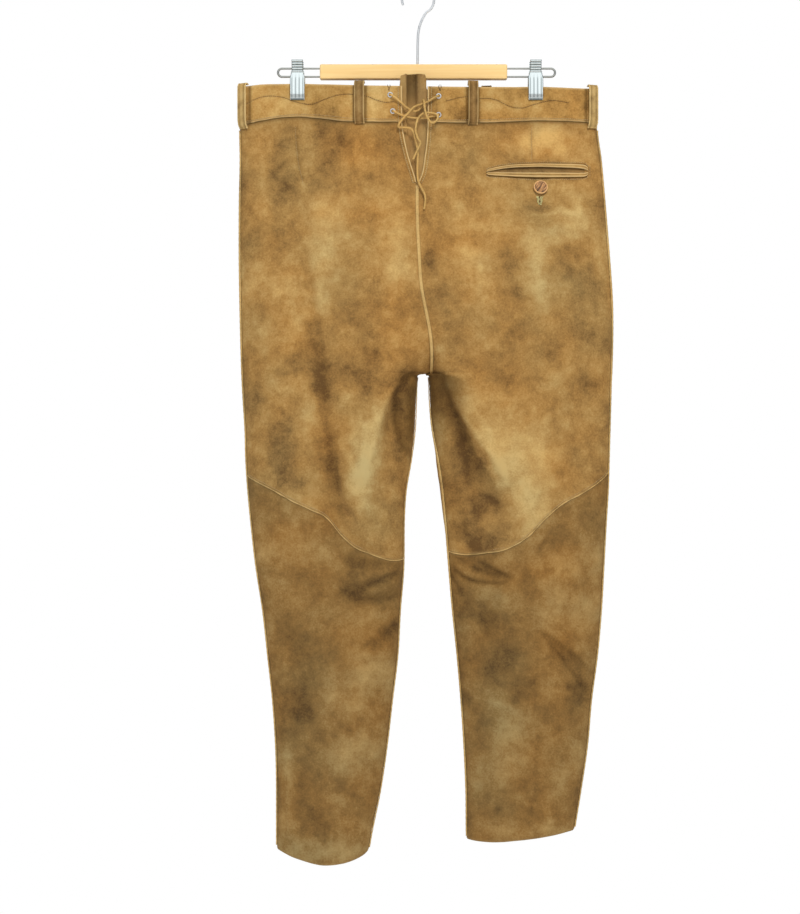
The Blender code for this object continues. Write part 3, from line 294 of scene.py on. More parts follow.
# Path of the centre back seam and the laced notch above it
CENTRE_SEAM = Table("drop x", [
    (120, -1.3), (300, -1.3), (369, 1.3), (410, 4.5),
    (440, 10), (476, 16.5), (500, 18.5), (CROTCH, CROTCH_X),
])
NOTCH_TOP = 140.5
NOTCH_TIP = 271.5
NOTCH_EDGES = Table("drop left right", [
    (120, -21.4, 12.5), (187, -20.7, 12.2), (232, -12.9, 8.7), (263, -3.6, 2.6),
    (NOTCH_TIP, -1.3, -1.3),
])

# Top and bottom of the waistband from the centre to the side seam
BAND_EDGES = Table("share top_left bottom_left top_right bottom_right", [
    (0, 140.5, 187.9, 141, 188.3), (0.22, 139.1, 187.3, 141.2, 188.7),
    (0.36, 137.3, 185.6, 140.3, 187.5), (0.49, 135.4, 181.1, 139.2, 185.2),
    (0.63, 133.8, 177.9, 137.8, 183), (0.72, 134.5, 178.9, 138.6, 183.3),
    (0.85, 136.2, 184.3, 141, 185.4), (0.95, 138.8, 189, 142, 187.6),
    (1, 138.2, 189.4, 140.5, 189.2),
])

# Slanting seam above the knee, the same at the front and the back
KNEE_SEAM = Table("share left right", [
    (0, 769, 759), (0.12, 770.5, 763), (0.25, 761.5, 760.5), (0.35, 751.5, 757),
    (0.42, 737, 750.5), (0.5, 714.5, 739), (0.6, 702.5, 715), (0.69, 693, 697.5),
    (0.82, 676.5, 680.5), (0.92, 665.5, 666), (1, 657, 652.5),
])

# Lower edge all round each leg
HEM = Table("share left right", [
    (0, 1160, 1144), (0.25, 1173, 1146), (0.5, 1176, 1143), (0.75, 1168, 1138), (1, 1157, 1132),
    (1.5, 1166, 1147), (2, 1160, 1144),
])

# Folds: each runs on a curve from start through a bend to its end, and lifts
# the leather (or sinks it, below zero) over its width
Fold = namedtuple("Fold", "start_x start_drop bend_x bend_drop end_x end_drop lift width")
BACK_FOLDS = [Fold(*row) for row in (
    (-22, 531, -31, 568, -37, 598, -9, 11), (31, 531, 46, 572, 56, 608, -9, 11),
    (-24, 532, -56, 590, -68, 655, 7, 17), (-62, 610, -74, 660, -88, 715, 5, 24),
    (-116, 650, -104, 690, -82, 724, -5, 15), (-155, 262, -142, 460, -94, 700, -3.5, 15),
    (-134, 300, -118, 460, -84, 600, 3, 22), (-104, 825, -70, 816, -34, 838, -4.5, 16),
    (-130, 775, -80, 800, -36, 780, 4, 22), (-60, 880, -84, 960, -96, 1060, 3.5, 26),
    (-160, 860, -148, 980, -150, 1100, -3, 24), (-205, 330, -196, 470, -200, 620, 3, 26),
    (-60, 500, -100, 520, -150, 500, -3, 24), (40, 530, 86, 605, 121, 668, 7, 18),
    (40, 575, 58, 640, 68, 705, -6, 17), (84, 704, 108, 690, 128, 676, -5, 15),
    (54, 733, 82, 746, 114, 736, -5, 14), (60, 774, 108, 796, 134, 788, -3.5, 13),
    (184, 540, 178, 624, 160, 706, 4.5, 22), (212, 540, 206, 624, 190, 700, -4, 22),
    (163, 866, 198, 912, 224, 956, -4.5, 15), (82, 842, 92, 862, 98, 884, -3.5, 13),
    (157, 940, 155, 1020, 159, 1100, -3.5, 17), (112, 880, 108, 980, 116, 1080, 3.5, 26),
    (70, 500, 120, 522, 170, 498, -3, 24), (110, 329, 165, 332, 222, 326, 1.6, 12),
    (98, 250, 100, 400, 84, 480, 2.5, 30),
)]
FRONT_FOLDS = [Fold(*row) for row in (
    (-30, 528, -84, 560, -140, 548, 5, 18), (-36, 560, -92, 600, -150, 600, -4.5, 18),
    (-40, 620, -70, 680, -128, 716, 4.5, 20), (-136, 240, -128, 420, -118, 620, 3, 24),
    (-190, 300, -186, 440, -176, 560, -3, 22), (-60, 800, -104, 822, -150, 806, -4.5, 17),
    (-70, 860, -110, 880, -150, 862, 3.5, 20), (-112, 900, -108, 1000, -116, 1100, 3.5, 26),
    (44, 530, 96, 566, 156, 556, 5, 18), (54, 566, 108, 612, 168, 606, -4.5, 18),
    (66, 640, 96, 694, 150, 720, 4.5, 20), (150, 240, 146, 420, 140, 620, 3, 24),
    (206, 300, 204, 440, 200, 560, -3, 22), (84, 796, 130, 816, 180, 798, -4.5, 17),
    (92, 858, 134, 874, 186, 852, 3.5, 20), (140, 900, 138, 1000, 134, 1090, 3.5, 26),
)]
FOLD_FREE_EDGE = 0.06
FOLD_STEPS = 17

# Usual lengths of panels and bands, from which their cells are counted
BAND_LOW = 190.0
KNEE_LOW = 715.0
HEM_LOW = 1165.0
BAND_HEIGHT = 54.0
PANEL_WIDTHS = {"back": 245.0, "front": 245.0, "back_calf": 170.0, "front_shin": 170.0}

# Welts and the turned edge of the notch
SEAM_STEP = 2.2
WELT_WIDTH = 4.0
WELT_THICKNESS = 1.2
WELT_TOP = 197.0
WELT_END = 3.0
WELT_CROTCH_GAP = 5.0
WELT_PUCKER = 0.12
CENTRE_WELT_TOP = NOTCH_TIP + 2.0
CENTRE_WELT_END = 3.0
CENTRE_WELT_RISE = (RISE_START + 40.0, CROTCH)
CENTRE_WELT_LIFT = 3.2
KNEE_EDGE_WIDTH = 1.1
KNEE_EDGE_HEIGHT = 0.8
KNEE_EDGE_BASE = -0.3
KNEE_EDGE_BELOW = 0.2
KNEE_EDGE_SHARES = (0.004, 1.996, 620)
KNEE_EDGE_UNEVENNESS = 0.25
EDGE_WIDTH = 6.0
EDGE_THICKNESS = 1.0
EDGE_DROPS = (NOTCH_TOP + 1.0, NOTCH_TIP - 1.0)
EDGE_STEP_DOWN = (189.0, 194.0)
EDGE_SHARE_GAP = 0.001
EDGE_STEP = 2.0

# Gusset behind the notch: a deep pleat between two flat sides
GUSSET_WALL = 1.8
GUSSET_TUCK = 6.0
GUSSET_TOP = 122.5
GUSSET_BOTTOM = 283.0
GUSSET_BEHIND = 3.9
GUSSET_DEPTH = 11.0
GUSSET_TAPER = 1.4
GUSSET_CELLS = (61, 49)
GUSSET_RIPPLE = 0.35
# Across from the left edge, how far it is recessed, and how far its top is lowered
GUSSET_PLEAT = Table("across recess top", [
    (0, 0, 22), (0.06, 0, 21), (0.085, 0, 4), (0.24, 0, 1.5), (0.29, 1, 0.5), (0.51, 1, 0),
    (0.57, 0.45, 0.5), (0.81, 0, 2.5), (0.84, 0, 22), (1, 0, 23),
])

# Belt loops: at an x on the back or the front; rise is the arch above the band's top,
# foot the end below its bottom
LOOP_WIDTH = 13.6
LOOP_THICKNESS = 1.8
LOOP_MIDDLE = 160.0
LOOP_REACH = BAND_PROUD + 4.6
LOOP_TAB = LOOP_THICKNESS / 2 + ON_CLOTH
Loop = namedtuple("Loop", "side x front rise foot")
LOOPS = {
    "back_left": Loop(LEFT, -77.5, False, 1.6, 3.2),
    "back_right": Loop(RIGHT, 72.5, False, 4.6, 3.2),
    "front_left": Loop(LEFT, -92.0, True, 1.6, 3.2),
    "front_right": Loop(RIGHT, 92.0, True, 4.6, 3.2),
    "side_left": Loop(LEFT, -232.0, False, 0.5, 6.2),
    "side_right": Loop(RIGHT, 231.5, False, 0.5, 6.2),
}
LOOP_HALF_SHARE = 0.035
# Outward distance, and drop from the band's top or from the loop's foot
LoopPoint = namedtuple("LoopPoint", "outward edge below")
LOOP_PROFILE = [LoopPoint(*row) for row in (
    (-1.0, "top", -LOOP_TAB),
    (LOOP_REACH - 2.6, "arch", -LOOP_TAB - 0.9),
    (LOOP_REACH - 0.7, "arch", 0.8),
    (LOOP_REACH, "arch", 5.0),
    (LOOP_REACH, "foot", -15.2),
    (LOOP_REACH - 0.6, "foot", -9.2),
    (LOOP_REACH - 1.9, "foot", -4.4),
)]
LOOP_FOOT_TAB = 1.8
LOOP_STEPS = 44

# Jetted hip pocket
POCKET_X = 158.5
POCKET_DROP = 252.5
POCKET_HALF = 68.0
POCKET_STAND = 0.9
POCKET_CELLS = 121
JET_THICKNESS = 1.6
SLIT_GAP = 0.2
FACING_THICKNESS = 0.5
# Drops below the pocket's middle, from its pointed left end to its blunt right end
POCKET_OUTLINE = Table("across upper slit_top slit_bottom lower", [
    (-1, 0.5, 3, 3.6, 6.2), (-0.9, -3, 1.2, 3, 8), (-0.5, -8.6, -3.6, 2.2, 9.3),
    (0, -11.1, -5.6, 1.6, 9.7), (0.5, -10.9, -4.8, 1.8, 9.4), (0.85, -10.2, -3.2, 2.1, 9),
    (0.96, -8.5, -1.5, 1.6, 7.8), (1, -4.5, 0, 0.6, 4.5),
])

# Horn buttons
BUTTON_RADIUS = 9.6
SHANK_RADIUS = 3.6
SHANK_HEIGHT = 1.6
RIM_HEIGHT = 4.8
RIM_START = BUTTON_RADIUS - 1.7
BUTTON_SIDES = 48
# Radius and height above the leather, from the shank's foot to the dished face
BUTTON_PROFILE = (
    (0.0, 0.0),
    (SHANK_RADIUS, 0.0),
    (SHANK_RADIUS, SHANK_HEIGHT),
    (BUTTON_RADIUS - 1.5, SHANK_HEIGHT),
    (BUTTON_RADIUS, 3.0),
    (BUTTON_RADIUS - 0.3, RIM_HEIGHT - 0.4),
    (RIM_START, RIM_HEIGHT),
    (BUTTON_RADIUS - 3.1, RIM_HEIGHT - 0.9),
    (0.0, RIM_HEIGHT - 1.1),
)
Button = namedtuple("Button", "x drop front stand")
BUTTONS = {
    "pocket_button": Button(163.0, 275.5, False, ON_CLOTH),
    "waist_button": Button(14.0, 160.0, True, BAND_PROUD + ON_CLOTH),
}

# Eyelets
EYELET_INNER = 1.9
EYELET_RING = 0.9
EYELET_FLATNESS = 0.7
EYELET_SIDES = (36, 12)
EYELETS = {
    "eyelet_upper_left": ("left", -37.0, 152.4),
    "eyelet_upper_right": ("right", 27.2, 154.2),
    "eyelet_lower_left": ("left", -33.6, 174.1),
    "eyelet_lower_right": ("right", 27.2, 179.1),
}

# Lace: routes of x, drop and height above the leather's face at the notch
LACE_DIAMETER = 2.8
LACE_FACE = 27.6
LACES = {
    "lace_right": (
        (27.2, 154.2, 0.6), (25.8, 154.9, 3.4), (21.6, 156.9, 4.4), (16.1, 160.5, 4.6),
        (10.5, 163.6, 4.8), (3.8, 166.1, 5), (-1.8, 167.9, 5.3), (-6.8, 170.8, 5.6),
        (-11.8, 176.3, 5.6), (-17.4, 182.1, 5.8), (-23, 188.6, 4.8), (-26.1, 194, 3.8),
        (-25, 196.3, 3.4), (-17.4, 196.7, 3), (-10.5, 197.5, 2.4), (-6.8, 201.5, 2.2),
        (-4.9, 206.6, 2.2), (-3.1, 214.4, 2.2), (-1.4, 222.2, 3.2), (-0.5, 233.4, 4.6),
        (-0.9, 244.6, 5.8), (-1.1, 255.7, 7.4), (-0.2, 266.9, 8.8), (3.8, 276.9, 9.6),
        (7.6, 283.6, 10.4), (9.4, 291.4, 11.2), (8.7, 300.4, 11.9), (7.6, 305.9, 12.3),
    ),
    "lace_left": (
        (-37, 152.4, 0.3), (-35.5, 153.1, 3), (-28.6, 158.3, 3.6), (-22.4, 163.8, 3.2),
        (-15.7, 169.4, 1.9), (-9.6, 173.2, 1.4), (-4, 174.8, 1.4), (0.9, 173, 1.3),
        (3.8, 168.8, 1.3), (5.5, 163.6, 1.2), (6.6, 160.1, 4.6), (7.7, 163.2, 8.6),
        (8.2, 168.5, 9.4), (9.4, 176.3, 9.8), (11.6, 183, 9.8), (14.9, 188.6, 9.4),
        (19.2, 191.1, 8.4), (23.6, 188.6, 7.2), (26.1, 183.6, 7.2), (24.5, 179.9, 6.8),
        (20.5, 178.2, 6.2), (14.9, 177.5, 5.8), (9.4, 177.7, 5.8), (3.8, 180.1, 5.8),
        (-0.5, 185.5, 5.8), (-2.7, 193.1, 5.8), (-3.4, 200.9, 6), (-2.2, 206.6, 6.2),
        (-0.2, 212.2, 6.4), (2.2, 215, 6.6), (2.7, 218.9, 7), (0.4, 223.9, 7.6),
        (-3.4, 232.3, 8.2), (-6.7, 239.5, 8.4),
    ),
    "lace_bar": (
        (-33.6, 174.1, 0.4), (-32.2, 174.8, 3), (-25.2, 178.6, 3.2), (-19.1, 181, 2.6),
        (-11.8, 182.7, 1.6), (-4, 183.7, 1.2), (3.8, 183.9, 1.2), (12.7, 183, 2.6),
        (20, 181.3, 3.4), (25.9, 179.5, 3), (27.2, 179.1, 0.6),
    ),
}
LaceFact = namedtuple("LaceFact", "length far_end lay")
LACE_FACTS = {
    "lace_right": LaceFact(0.202, "bare", "hanging"),
    "lace_left": LaceFact(0.203, "bare", "hanging"),
    "lace_bar": LaceFact(0.067, "object", "taut"),
}

# Hanger
BAR_TOP = 108.0
BAR_HEIGHT = 20.0
BAR_DEPTH = 14.0
BAR_ENDS = {"left": -131.3, "right": 119.3}
BAR_ROUNDING = 2.0
WIRE_DIAMETER = 3.0
WIRE_DROPS = (113.0, 124.0)
WIRE_BENDS = {"left": -187.5, "right": 183.5}
WIRE_GAP = 0.3
WIRE_SIDES = 16
WIRE_BEND_STEPS = 25
HOOK_DIAMETER = 3.2
HOOK_INSIDE = 20.0
HOOK_SIDES = 20
HOOK_STEPS = 120
HOOK_ANGLES = range(-62, 206, 22)
HOOK_STEM = ((-0.6, 107.6), (-0.5, 92.0), (-0.3, 78.0), (0.6, 64.0), (3.6, 52.0))

# Clips: a ribbed grip above a fluted jaw
CLIP_X = {"left": -161.3, "right": 157.4}
CLIP_WALL = 1.4
CLIP_RIBS = 5
RIB_HEIGHT = 1.1
RIB_ROUNDNESS = 0.7
RIB_STEPS = 12
GRIP_TOP = 102.6
GRIP_BOTTOM = 119.0
GRIP_OUT = (10.6, 5.3)
GRIP_HALF = 7.6
JAW_HALF = 9.9
JAW_FLUTES = 4
JAW_LIP = 2.4
JAW_TIP_WALL = 0.9
# Outward distance and drop, from the hub to the teeth on the band
JAW_PROFILE = (
    (5.3, 124.5), (7.6, 130.0), (9.2, 137.0), (9.8, 146.0), (8.6, 153.0), (7.6, 156.0),
)
JAW_END = JAW_PROFILE[-1][1]
PLATE_COLUMNS = 49
HUB_RADIUS = 3.5
HUB_LENGTH = 18.0
HUB_DROP = 118.5
HUB_RECESS = 1.3
HUB_SIDES = 24
COIL_TURNS = 7
COIL_TURN_STEPS = 20
COIL_SIDES = 10
COIL_WIRE = 1.1
COIL_SHARE = 0.42
COIL_PROUD = 0.2


# ------------------------------------------------------------ the skin

def oval(angles, centre, reach, back, front, side):
    """Points of a squarish oval: 0 degrees faces the other leg, 90 the back, 180 the side."""
    cosine = np.cos(np.radians(angles))
    sine = np.sin(np.radians(angles))
    power = 2.0 / SQUARENESS
    x = centre[0] - side * reach * np.sign(cosine) * np.abs(cosine) ** power
    depth = np.where(sine > 0, back, front)
    y = centre[1] - depth * np.sign(sine) * np.abs(sine) ** power
    return np.stack([x, y], axis=1)


def fold_path(fold, steps):
    """Places (x, drop) along a fold's curve, which passes through its bend."""
    start, bend, end = np.array(fold[:6]).reshape(3, 2)
    handle = 2 * bend - (start + end) / 2
    t = np.linspace(0.0, 1.0, steps)[:, None]
    return start * (1 - t) ** 2 + 2 * handle * t * (1 - t) + end * t**2


def inside(shares):
    """How far shares are from a seam: 0 at the seam and 1 inside the free edge."""
    free = np.minimum(shares % 1.0, 1.0 - shares % 1.0) / FOLD_FREE_EDGE
    return ease(np.where(shares == 1.0, 0.0, free))


class Skin:
    """One half of the garment as a lattice of points and outward directions."""

    across = 161

    def __init__(self, word, side):
        self.word = word
        self.side = side
        self.drops = np.concatenate([
            np.arange(SKIN_TOP, RISE_START - SKIN_STEP / 2, SKIN_STEP),
            RISE_START + (CROTCH - RISE_START) * np.sin(np.radians(np.arange(0, 90, RISE_DEGREES))),
            CROTCH + np.array(BELOW_CROTCH),
            np.arange(LEG_START, SKIN_BOTTOM, SKIN_STEP),
        ])
        self.shares = np.linspace(0.0, 2.0, 2 * self.across - 1)
        self.points = np.stack([self.section(drop) for drop in self.drops])
        self.ease_crotch()
        flat = self.points[..., 1].copy()
        self.fold()
        self.raised = (self.points[..., 1] - flat) * np.where(self.shares < 1, -1.0, 1.0)
        self.out = self.outward()

    def value(self, name, drop):
        """A number of the outline at a drop; a column without a side serves both halves."""
        own = f"{name}_{self.word}"
        return float(OUTLINE.read(own if own in OUTLINE.columns else name, drop))

    def waist(self, centre, reach):
        """The pinched plan of the waist, split at the side seam."""
        back = [(point.reach, -point.back) for point in WAIST_PLAN]
        front = [(point.reach, point.front) for point in reversed(WAIST_PLAN)]
        plan = smooth_path(back + front)
        at_side = plan[:, 0] > WAIST_SIDE
        seam = int(np.argmax(at_side & (plan[:, 1] > -SIDE_SEAM_DEPTH)))
        plan[:, 0] = centre + self.side * reach * plan[:, 0]
        return even(plan[:seam + 1], self.across), even(plan[seam:], self.across)

    def leg_share(self, drop):
        """How far the torso has become a leg, for each point of the back and of the front.

        At the inner edges this is a quarter ellipse that closes at the crotch, and
        further out a long slow blend, so that the thigh runs on smoothly.
        """
        rise = np.clip((drop - RISE_START) / (CROTCH - RISE_START), 0.0, 1.0)
        inner = 1 - math.cos(math.asin(rise))
        outer = ease((drop - THIGH_BLEND[0]) / (THIGH_BLEND[1] - THIGH_BLEND[0]))
        away = ease(np.linspace(0.0, 1.0, self.across) / THIGH_SHARE)[:, None]
        share = inner * (1 - away) + outer * away
        return share, share[::-1]

    def section(self, drop):
        """The half section at a drop, from centre back or inseam round to the front's."""
        outer, back, front, inseam = (
            self.value(name, drop) for name in ("outer", "back", "front", "inseam")
        )
        centre = float(CENTRE_SEAM.read("x", drop)) + self.side * SEAM_GAP / 2
        torso_angles = ((90.0, SIDE_SEAM_ANGLE), (SIDE_SEAM_ANGLE, 270.0))
        leg_angles = ((inseam, SIDE_SEAM_ANGLE), (SIDE_SEAM_ANGLE, 360.0 + inseam))
        parted = drop > CROTCH
        inner = self.value("inner", drop) if parted else CROTCH_X + self.side * SEAM_GAP
        reach = abs(outer - inner) / 2
        middle = ((outer + inner) / 2, self.value("middle", max(drop, CROTCH)))
        pinch = 1 - ease((drop - PINCH_FADE[0]) / (PINCH_FADE[1] - PINCH_FADE[0]))
        leg_share = self.leg_share(drop)
        parts = []
        for k, waist in enumerate(self.waist(centre, abs(outer - centre))):
            angles = np.linspace(*torso_angles[k], 3 * self.across)
            torso = oval(angles, (centre, 0.0), abs(outer - centre), back, front, self.side)
            angles = np.linspace(*leg_angles[k], 3 * self.across)
            leg = oval(angles, middle, reach, back, front, self.side)
            body = even(torso, self.across) * (1 - pinch) + waist * pinch
            parts.append(body * (1 - leg_share[k]) + even(leg, self.across) * leg_share[k])
        line = np.vstack([parts[0], parts[1][1:]])
        return np.column_stack([line, np.full(len(line), -drop)])

    def ease_crotch(self):
        """Part the legs at the crotch close to their edges, and not over the whole leg."""
        low = self.value("inner", CROTCH_OPEN)
        for row, drop in zip(self.points, self.drops):
            if drop >= CROTCH_OPEN:
                continue
            parted = low - (self.value("inner", drop) if drop > CROTCH else CROTCH_X)
            shares = self.leg_share(drop)
            grown = np.concatenate([shares[0][:, 0], shares[1][1:, 0]])
            away = np.abs(row[:, 0] - np.where(self.shares < 1, row[0, 0], row[-1, 0]))
            reach = abs(self.value("outer", drop) - CROTCH_X)
            near = bell(away, CROTCH_EDGE)
            row[:, 0] += grown * parted * (np.clip(1 - away / reach, 0.0, 1.0) - near)

    def fold(self):
        """Lift and sink the leather along the folds of the back and the front."""
        flat = np.gradient(self.points[:, :, :2], axis=1)
        across = unit(self.side * np.stack([flat[:, :, 1], -flat[:, :, 0]], axis=2))
        for folds, shown in ((BACK_FOLDS, self.shares < 1), (FRONT_FOLDS, self.shares > 1)):
            lift = np.zeros(self.points.shape[:2])
            for fold in folds:
                path = fold_path(fold, FOLD_STEPS)
                away_x = self.points[:, :, 0, None] - path[:, 0]
                away_drop = -self.points[:, :, 2, None] - path[:, 1]
                away = np.min(np.hypot(away_x, away_drop), axis=2)
                lift += fold.lift * bell(away, fold.width)
            lift *= inside(self.shares) * shown
            self.points[:, :, :2] += across * lift[:, :, None]

    def outward(self):
        """Outward directions of the lattice, shared by the panels that meet at a seam."""
        along = np.gradient(self.points, axis=1)
        leg = self.drops >= CROTCH
        along[leg, 0] = along[leg, -1] = self.points[leg, 1] - self.points[leg, -2]
        down = np.gradient(self.points, self.drops, axis=0)
        out = unit(-self.side * np.cross(along, down))
        for edge in (0, -1):
            inwards = out[~leg, edge, 0] * self.side > 0
            out[~leg, edge, 0] = np.where(inwards, 0.0, out[~leg, edge, 0])
        return unit(out)

    def look(self, lattice, share, drop):
        """Read the lattice between its points."""
        share, drop = np.broadcast_arrays(np.asarray(share, float), np.asarray(drop, float))
        column = np.clip(share, 0, 2) * (self.across - 1)
        c = np.minimum(column.astype(int), 2 * self.across - 3)
        fc = (column - c)[..., None]
        r = np.clip(np.searchsorted(self.drops, drop, side="right") - 1, 0, len(self.drops) - 2)
        fr = ((drop - self.drops[r]) / (self.drops[r + 1] - self.drops[r]))[..., None]
        upper = lattice[r, c] * (1 - fc) + lattice[r, c + 1] * fc
        lower = lattice[r + 1, c] * (1 - fc) + lattice[r + 1, c + 1] * fc
        return upper * (1 - fr) + lower * fr

    def at(self, share, drop, out=0.0):
        """Points of the skin, moved outwards."""
        out = np.asarray(out, float)[..., None]
        return self.look(self.points, share, drop) + unit(self.look(self.out, share, drop)) * out

    def frame(self, share, drop):
        """A point of the skin with its outward, sideways and downward directions."""
        out = unit(self.look(self.out, share, drop))
        aside = unit(np.cross(out, UP))
        return self.look(self.points, share, drop), out, aside, np.cross(out, aside)

    def share_of(self, x, drop, front=False):
        """The share at which the skin passes x, on its back or its front."""
        first = 1.0 if front else 0.0
        shares = np.linspace(first, first + 1.0, SHARE_STEPS)
        xs = self.look(self.points, shares, drop)[:, 0] * self.side
        order = np.argsort(xs)
        return float(np.interp(x * self.side, xs[order], shares[order]))

    def over(self, xs, drops, out):
        """Points over the back, from their places (x, drop)."""
        xs, drops = np.broadcast_arrays(xs, drops)
        shares = [self.share_of(x, drop) for x, drop in zip(xs.ravel(), drops.ravel())]
        return self.at(np.reshape(shares, drops.shape), drops, out)

    def knee(self, shares):
        """Drops of the seam above the knee, read from the inseam to the side seam."""
        return KNEE_SEAM.read(self.word, np.minimum(shares, 2 - shares))

    def band(self, edge, shares):
        """Drops of the waistband's top or bottom edge, the same at front and back."""
        return BAND_EDGES.read(f"{edge}_{self.word}", np.minimum(shares, 2 - shares))

    def notch_share(self, drop):
        """Where the back panel and band begin beside the notch."""
        if drop >= NOTCH_TIP:
            return 0.0
        return self.share_of(float(NOTCH_EDGES.read(self.word, drop)), drop)

    def ease_seams(self, shares, drops, points):
        """Draw the columns at side seams and inseams back by half the seam gap."""
        for column, step in ((0, 1), (-1, -2)):
            rows = drops[:, column] >= (CROTCH if shares[column] in (0.0, 2.0) else 0.0)
            inwards = unit(points[:, step] - points[:, column])
            points[rows, column] += inwards[rows] * SEAM_GAP / 2


SKINS = {}


def skins():
    """The two halves, worked out once."""
    if not SKINS:
        SKINS.update({word: Skin(word, side) for word, side in SIDES.items()})
    return SKINS


# ------------------------------------------------------------ finer detail of the leather

FINE_CELLS = {"back": 2.7, "front": 3.8}
BAND_CELL = 2.2
BAND_ROW = 2.0
EDGE_STATIONS = (0.4, 1.0, 2.0)
CROTCH_STATIONS = (0.2, 0.8, 1.8, 3.2, 5.0, 7.2, 9.8)

# Relief
EDGE_ROLL = 0.8
EDGE_ROLL_WIDTH = 1.1
EDGE_PALE_WIDTH = 1.7
RIPPLE_LENGTHS = (14.0, 90.0)
RIPPLE_COUNT = 26
RIPPLE_SEEDS = {"back": 11, "front": 12}
PUCKER_LIFT = 0.22
PUCKER_FADE = 5.0
PUCKER_PERIOD = 8.5
WOBBLE_LENGTHS = (20.0, 60.0)
WOBBLE_COUNT = 6
WOBBLE_SEEDS = {"back": 16, "front": 17}
CREASE_STEPS = 49
CREASE_TAPER = 0.6
CREASE_REACH = 3

# Tone and shade
STROKE_SEED = 21
STROKE_COUNT = 8
STROKE_WANDER = 3.5
MARK_SHARE = 0.45
PATCH_TONE = 0.75
FRONT_STROKE_DROP = 18.0
FRONT_STROKE_SHARE = 0.75
# Painted light on raised folds and creases and painted shade in sunken ones, as tone for each
# millimetre of lift
FOLD_LIGHT_AND_SHADE = 0.05
CREASE_LIGHT_AND_SHADE = 0.12
HOLLOW_SOFT = 2.2
HOLLOW_FALL = 1.6
HOLLOW_ENDS = 0.35
HOLLOW_REACH = 2.5
SEAM_SHADE = {"upper": 0.75, "lower": 0.5, "band": 0.0}
SEAM_SHADE_WIDTH = 2.6
BAND_SHADOW = 0.2
BAND_SHADOW_WIDTH = 13.0
LOOP_SHADE = 0.75
LOOP_SHADE_AWAY = 0.8
LOOP_SHADE_WIDTH = 2.2
WAVE_SHADE = 0.3
WAVE_SHADE_WIDTH = 1.5

# Shade under the crotch: how far it reaches on each leg, and the arch it starts from
CROTCH_SHADE = 0.78
CROTCH_REACH = {"left": 31.0, "right": 42.0}
CROTCH_FALL = (10.0, 110.0, 0.75)
CROTCH_ARCH = (8.0, 27.0, 5.0)
CROTCH_START = 3.0

# Creases, in the same columns as the folds
CREASES = [Fold(*row) for row in (
    (-161, 192, -160, 220, -154, 264, -1.1, 2), (-153, 359, -133, 465, -125, 558, -1.4, 6),
    (-125, 558, -113, 624, -102, 690, -1.3, 6), (-108, 664, -97, 697, -84, 710, -1.5, 4),
    (-17, 786, -53, 799, -90, 815, -2.2, 4), (-104, 809, -64, 827, -28, 819, -2.6, 5),
    (-29, 801, -59, 812, -82, 820, 1.4, 4), (-24, 852, -43, 868, -69, 884, -2.6, 6),
    (-90, 198, -74, 216, -57, 233, -1.2, 3), (-119, 198, -97, 220, -88, 243, -0.8, 4),
    (-61, 198, -51, 208, -35, 216, -0.8, 3), (-24, 531, -43, 560, -56, 611, 2, 4),
    (-56, 611, -63, 631, -69, 650, 1.5, 4), (38, 531, 51, 560, 82, 611, 2.5, 4),
    (82, 611, 104, 640, 118, 666, 2.5, 5), (75, 680, 98, 690, 115, 705, -2.5, 4),
    (45, 730, 75, 754, 108, 750, -1.5, 5), (49, 767, 82, 786, 115, 792, -2.4, 3.5),
    (53, 779, 82, 798, 108, 804, 1.2, 4), (182, 558, 176, 598, 168, 664, -1.2, 4),
    (168, 664, 161, 690, 159, 706, -1.2, 4), (161, 865, 194, 905, 228, 951, -2.4, 3),
    (82, 843, 88, 860, 95, 876, -1.5, 4), (156, 955, 157, 1021, 155, 1088, -0.9, 2.5),
    (175, 734, 168, 747, 156, 758, -1.8, 3.5), (249, 694, 238, 710, 228, 723, -1, 2.5),
    (-157, 942, -141, 982, -135, 1021, -1, 7), (-84, 971, -74, 995, -90, 1015, -1, 6),
    (139, 311, 175, 311, 212, 307, 1, 3), (82, 955, 115, 963, 148, 975, 0.8, 2.5),
    (-184, 876, -179, 1062, -175, 1148, -1, 2), (152, 195, 152, 219, 152, 241, -0.9, 1.6),
    (2, 551, 0, 584, -8, 635, -0.8, 4), (-40, 465, -24, 485, 2, 494, 0.8, 5),
    (35, 494, 69, 513, 108, 521, -0.9, 5), (16, 465, 49, 476, 82, 470, 0.8, 6),
    (-97, 611, -88, 631, -82, 650, -1.2, 4), (-196, 770, -170, 783, -157, 803, -1, 5),
    (-207, 697, -183, 710, -167, 730, -0.8, 5), (-51, 697, -35, 710, -24, 730, -1, 5),
    (-97, 896, -77, 905, -51, 902, -1, 5), (62, 823, 82, 828, 108, 820, -1, 4),
    (208, 763, 221, 790, 228, 823, -1, 5), (55, 942, 75, 971, 82, 1001, -1, 5),
    (128, 1054, 141, 1077, 155, 1088, -1.2, 5), (-123, 1048, -104, 1074, -74, 1088, -1, 5),
    (228, 359, 235, 399, 238, 465, -0.8, 5), (44, 777, 69, 796, 115, 800, -2.4, 3.2),
    (80, 771, 104, 785, 125, 793, -2, 3), (40, 768, 43, 788, 55, 810, -1.8, 3),
)]

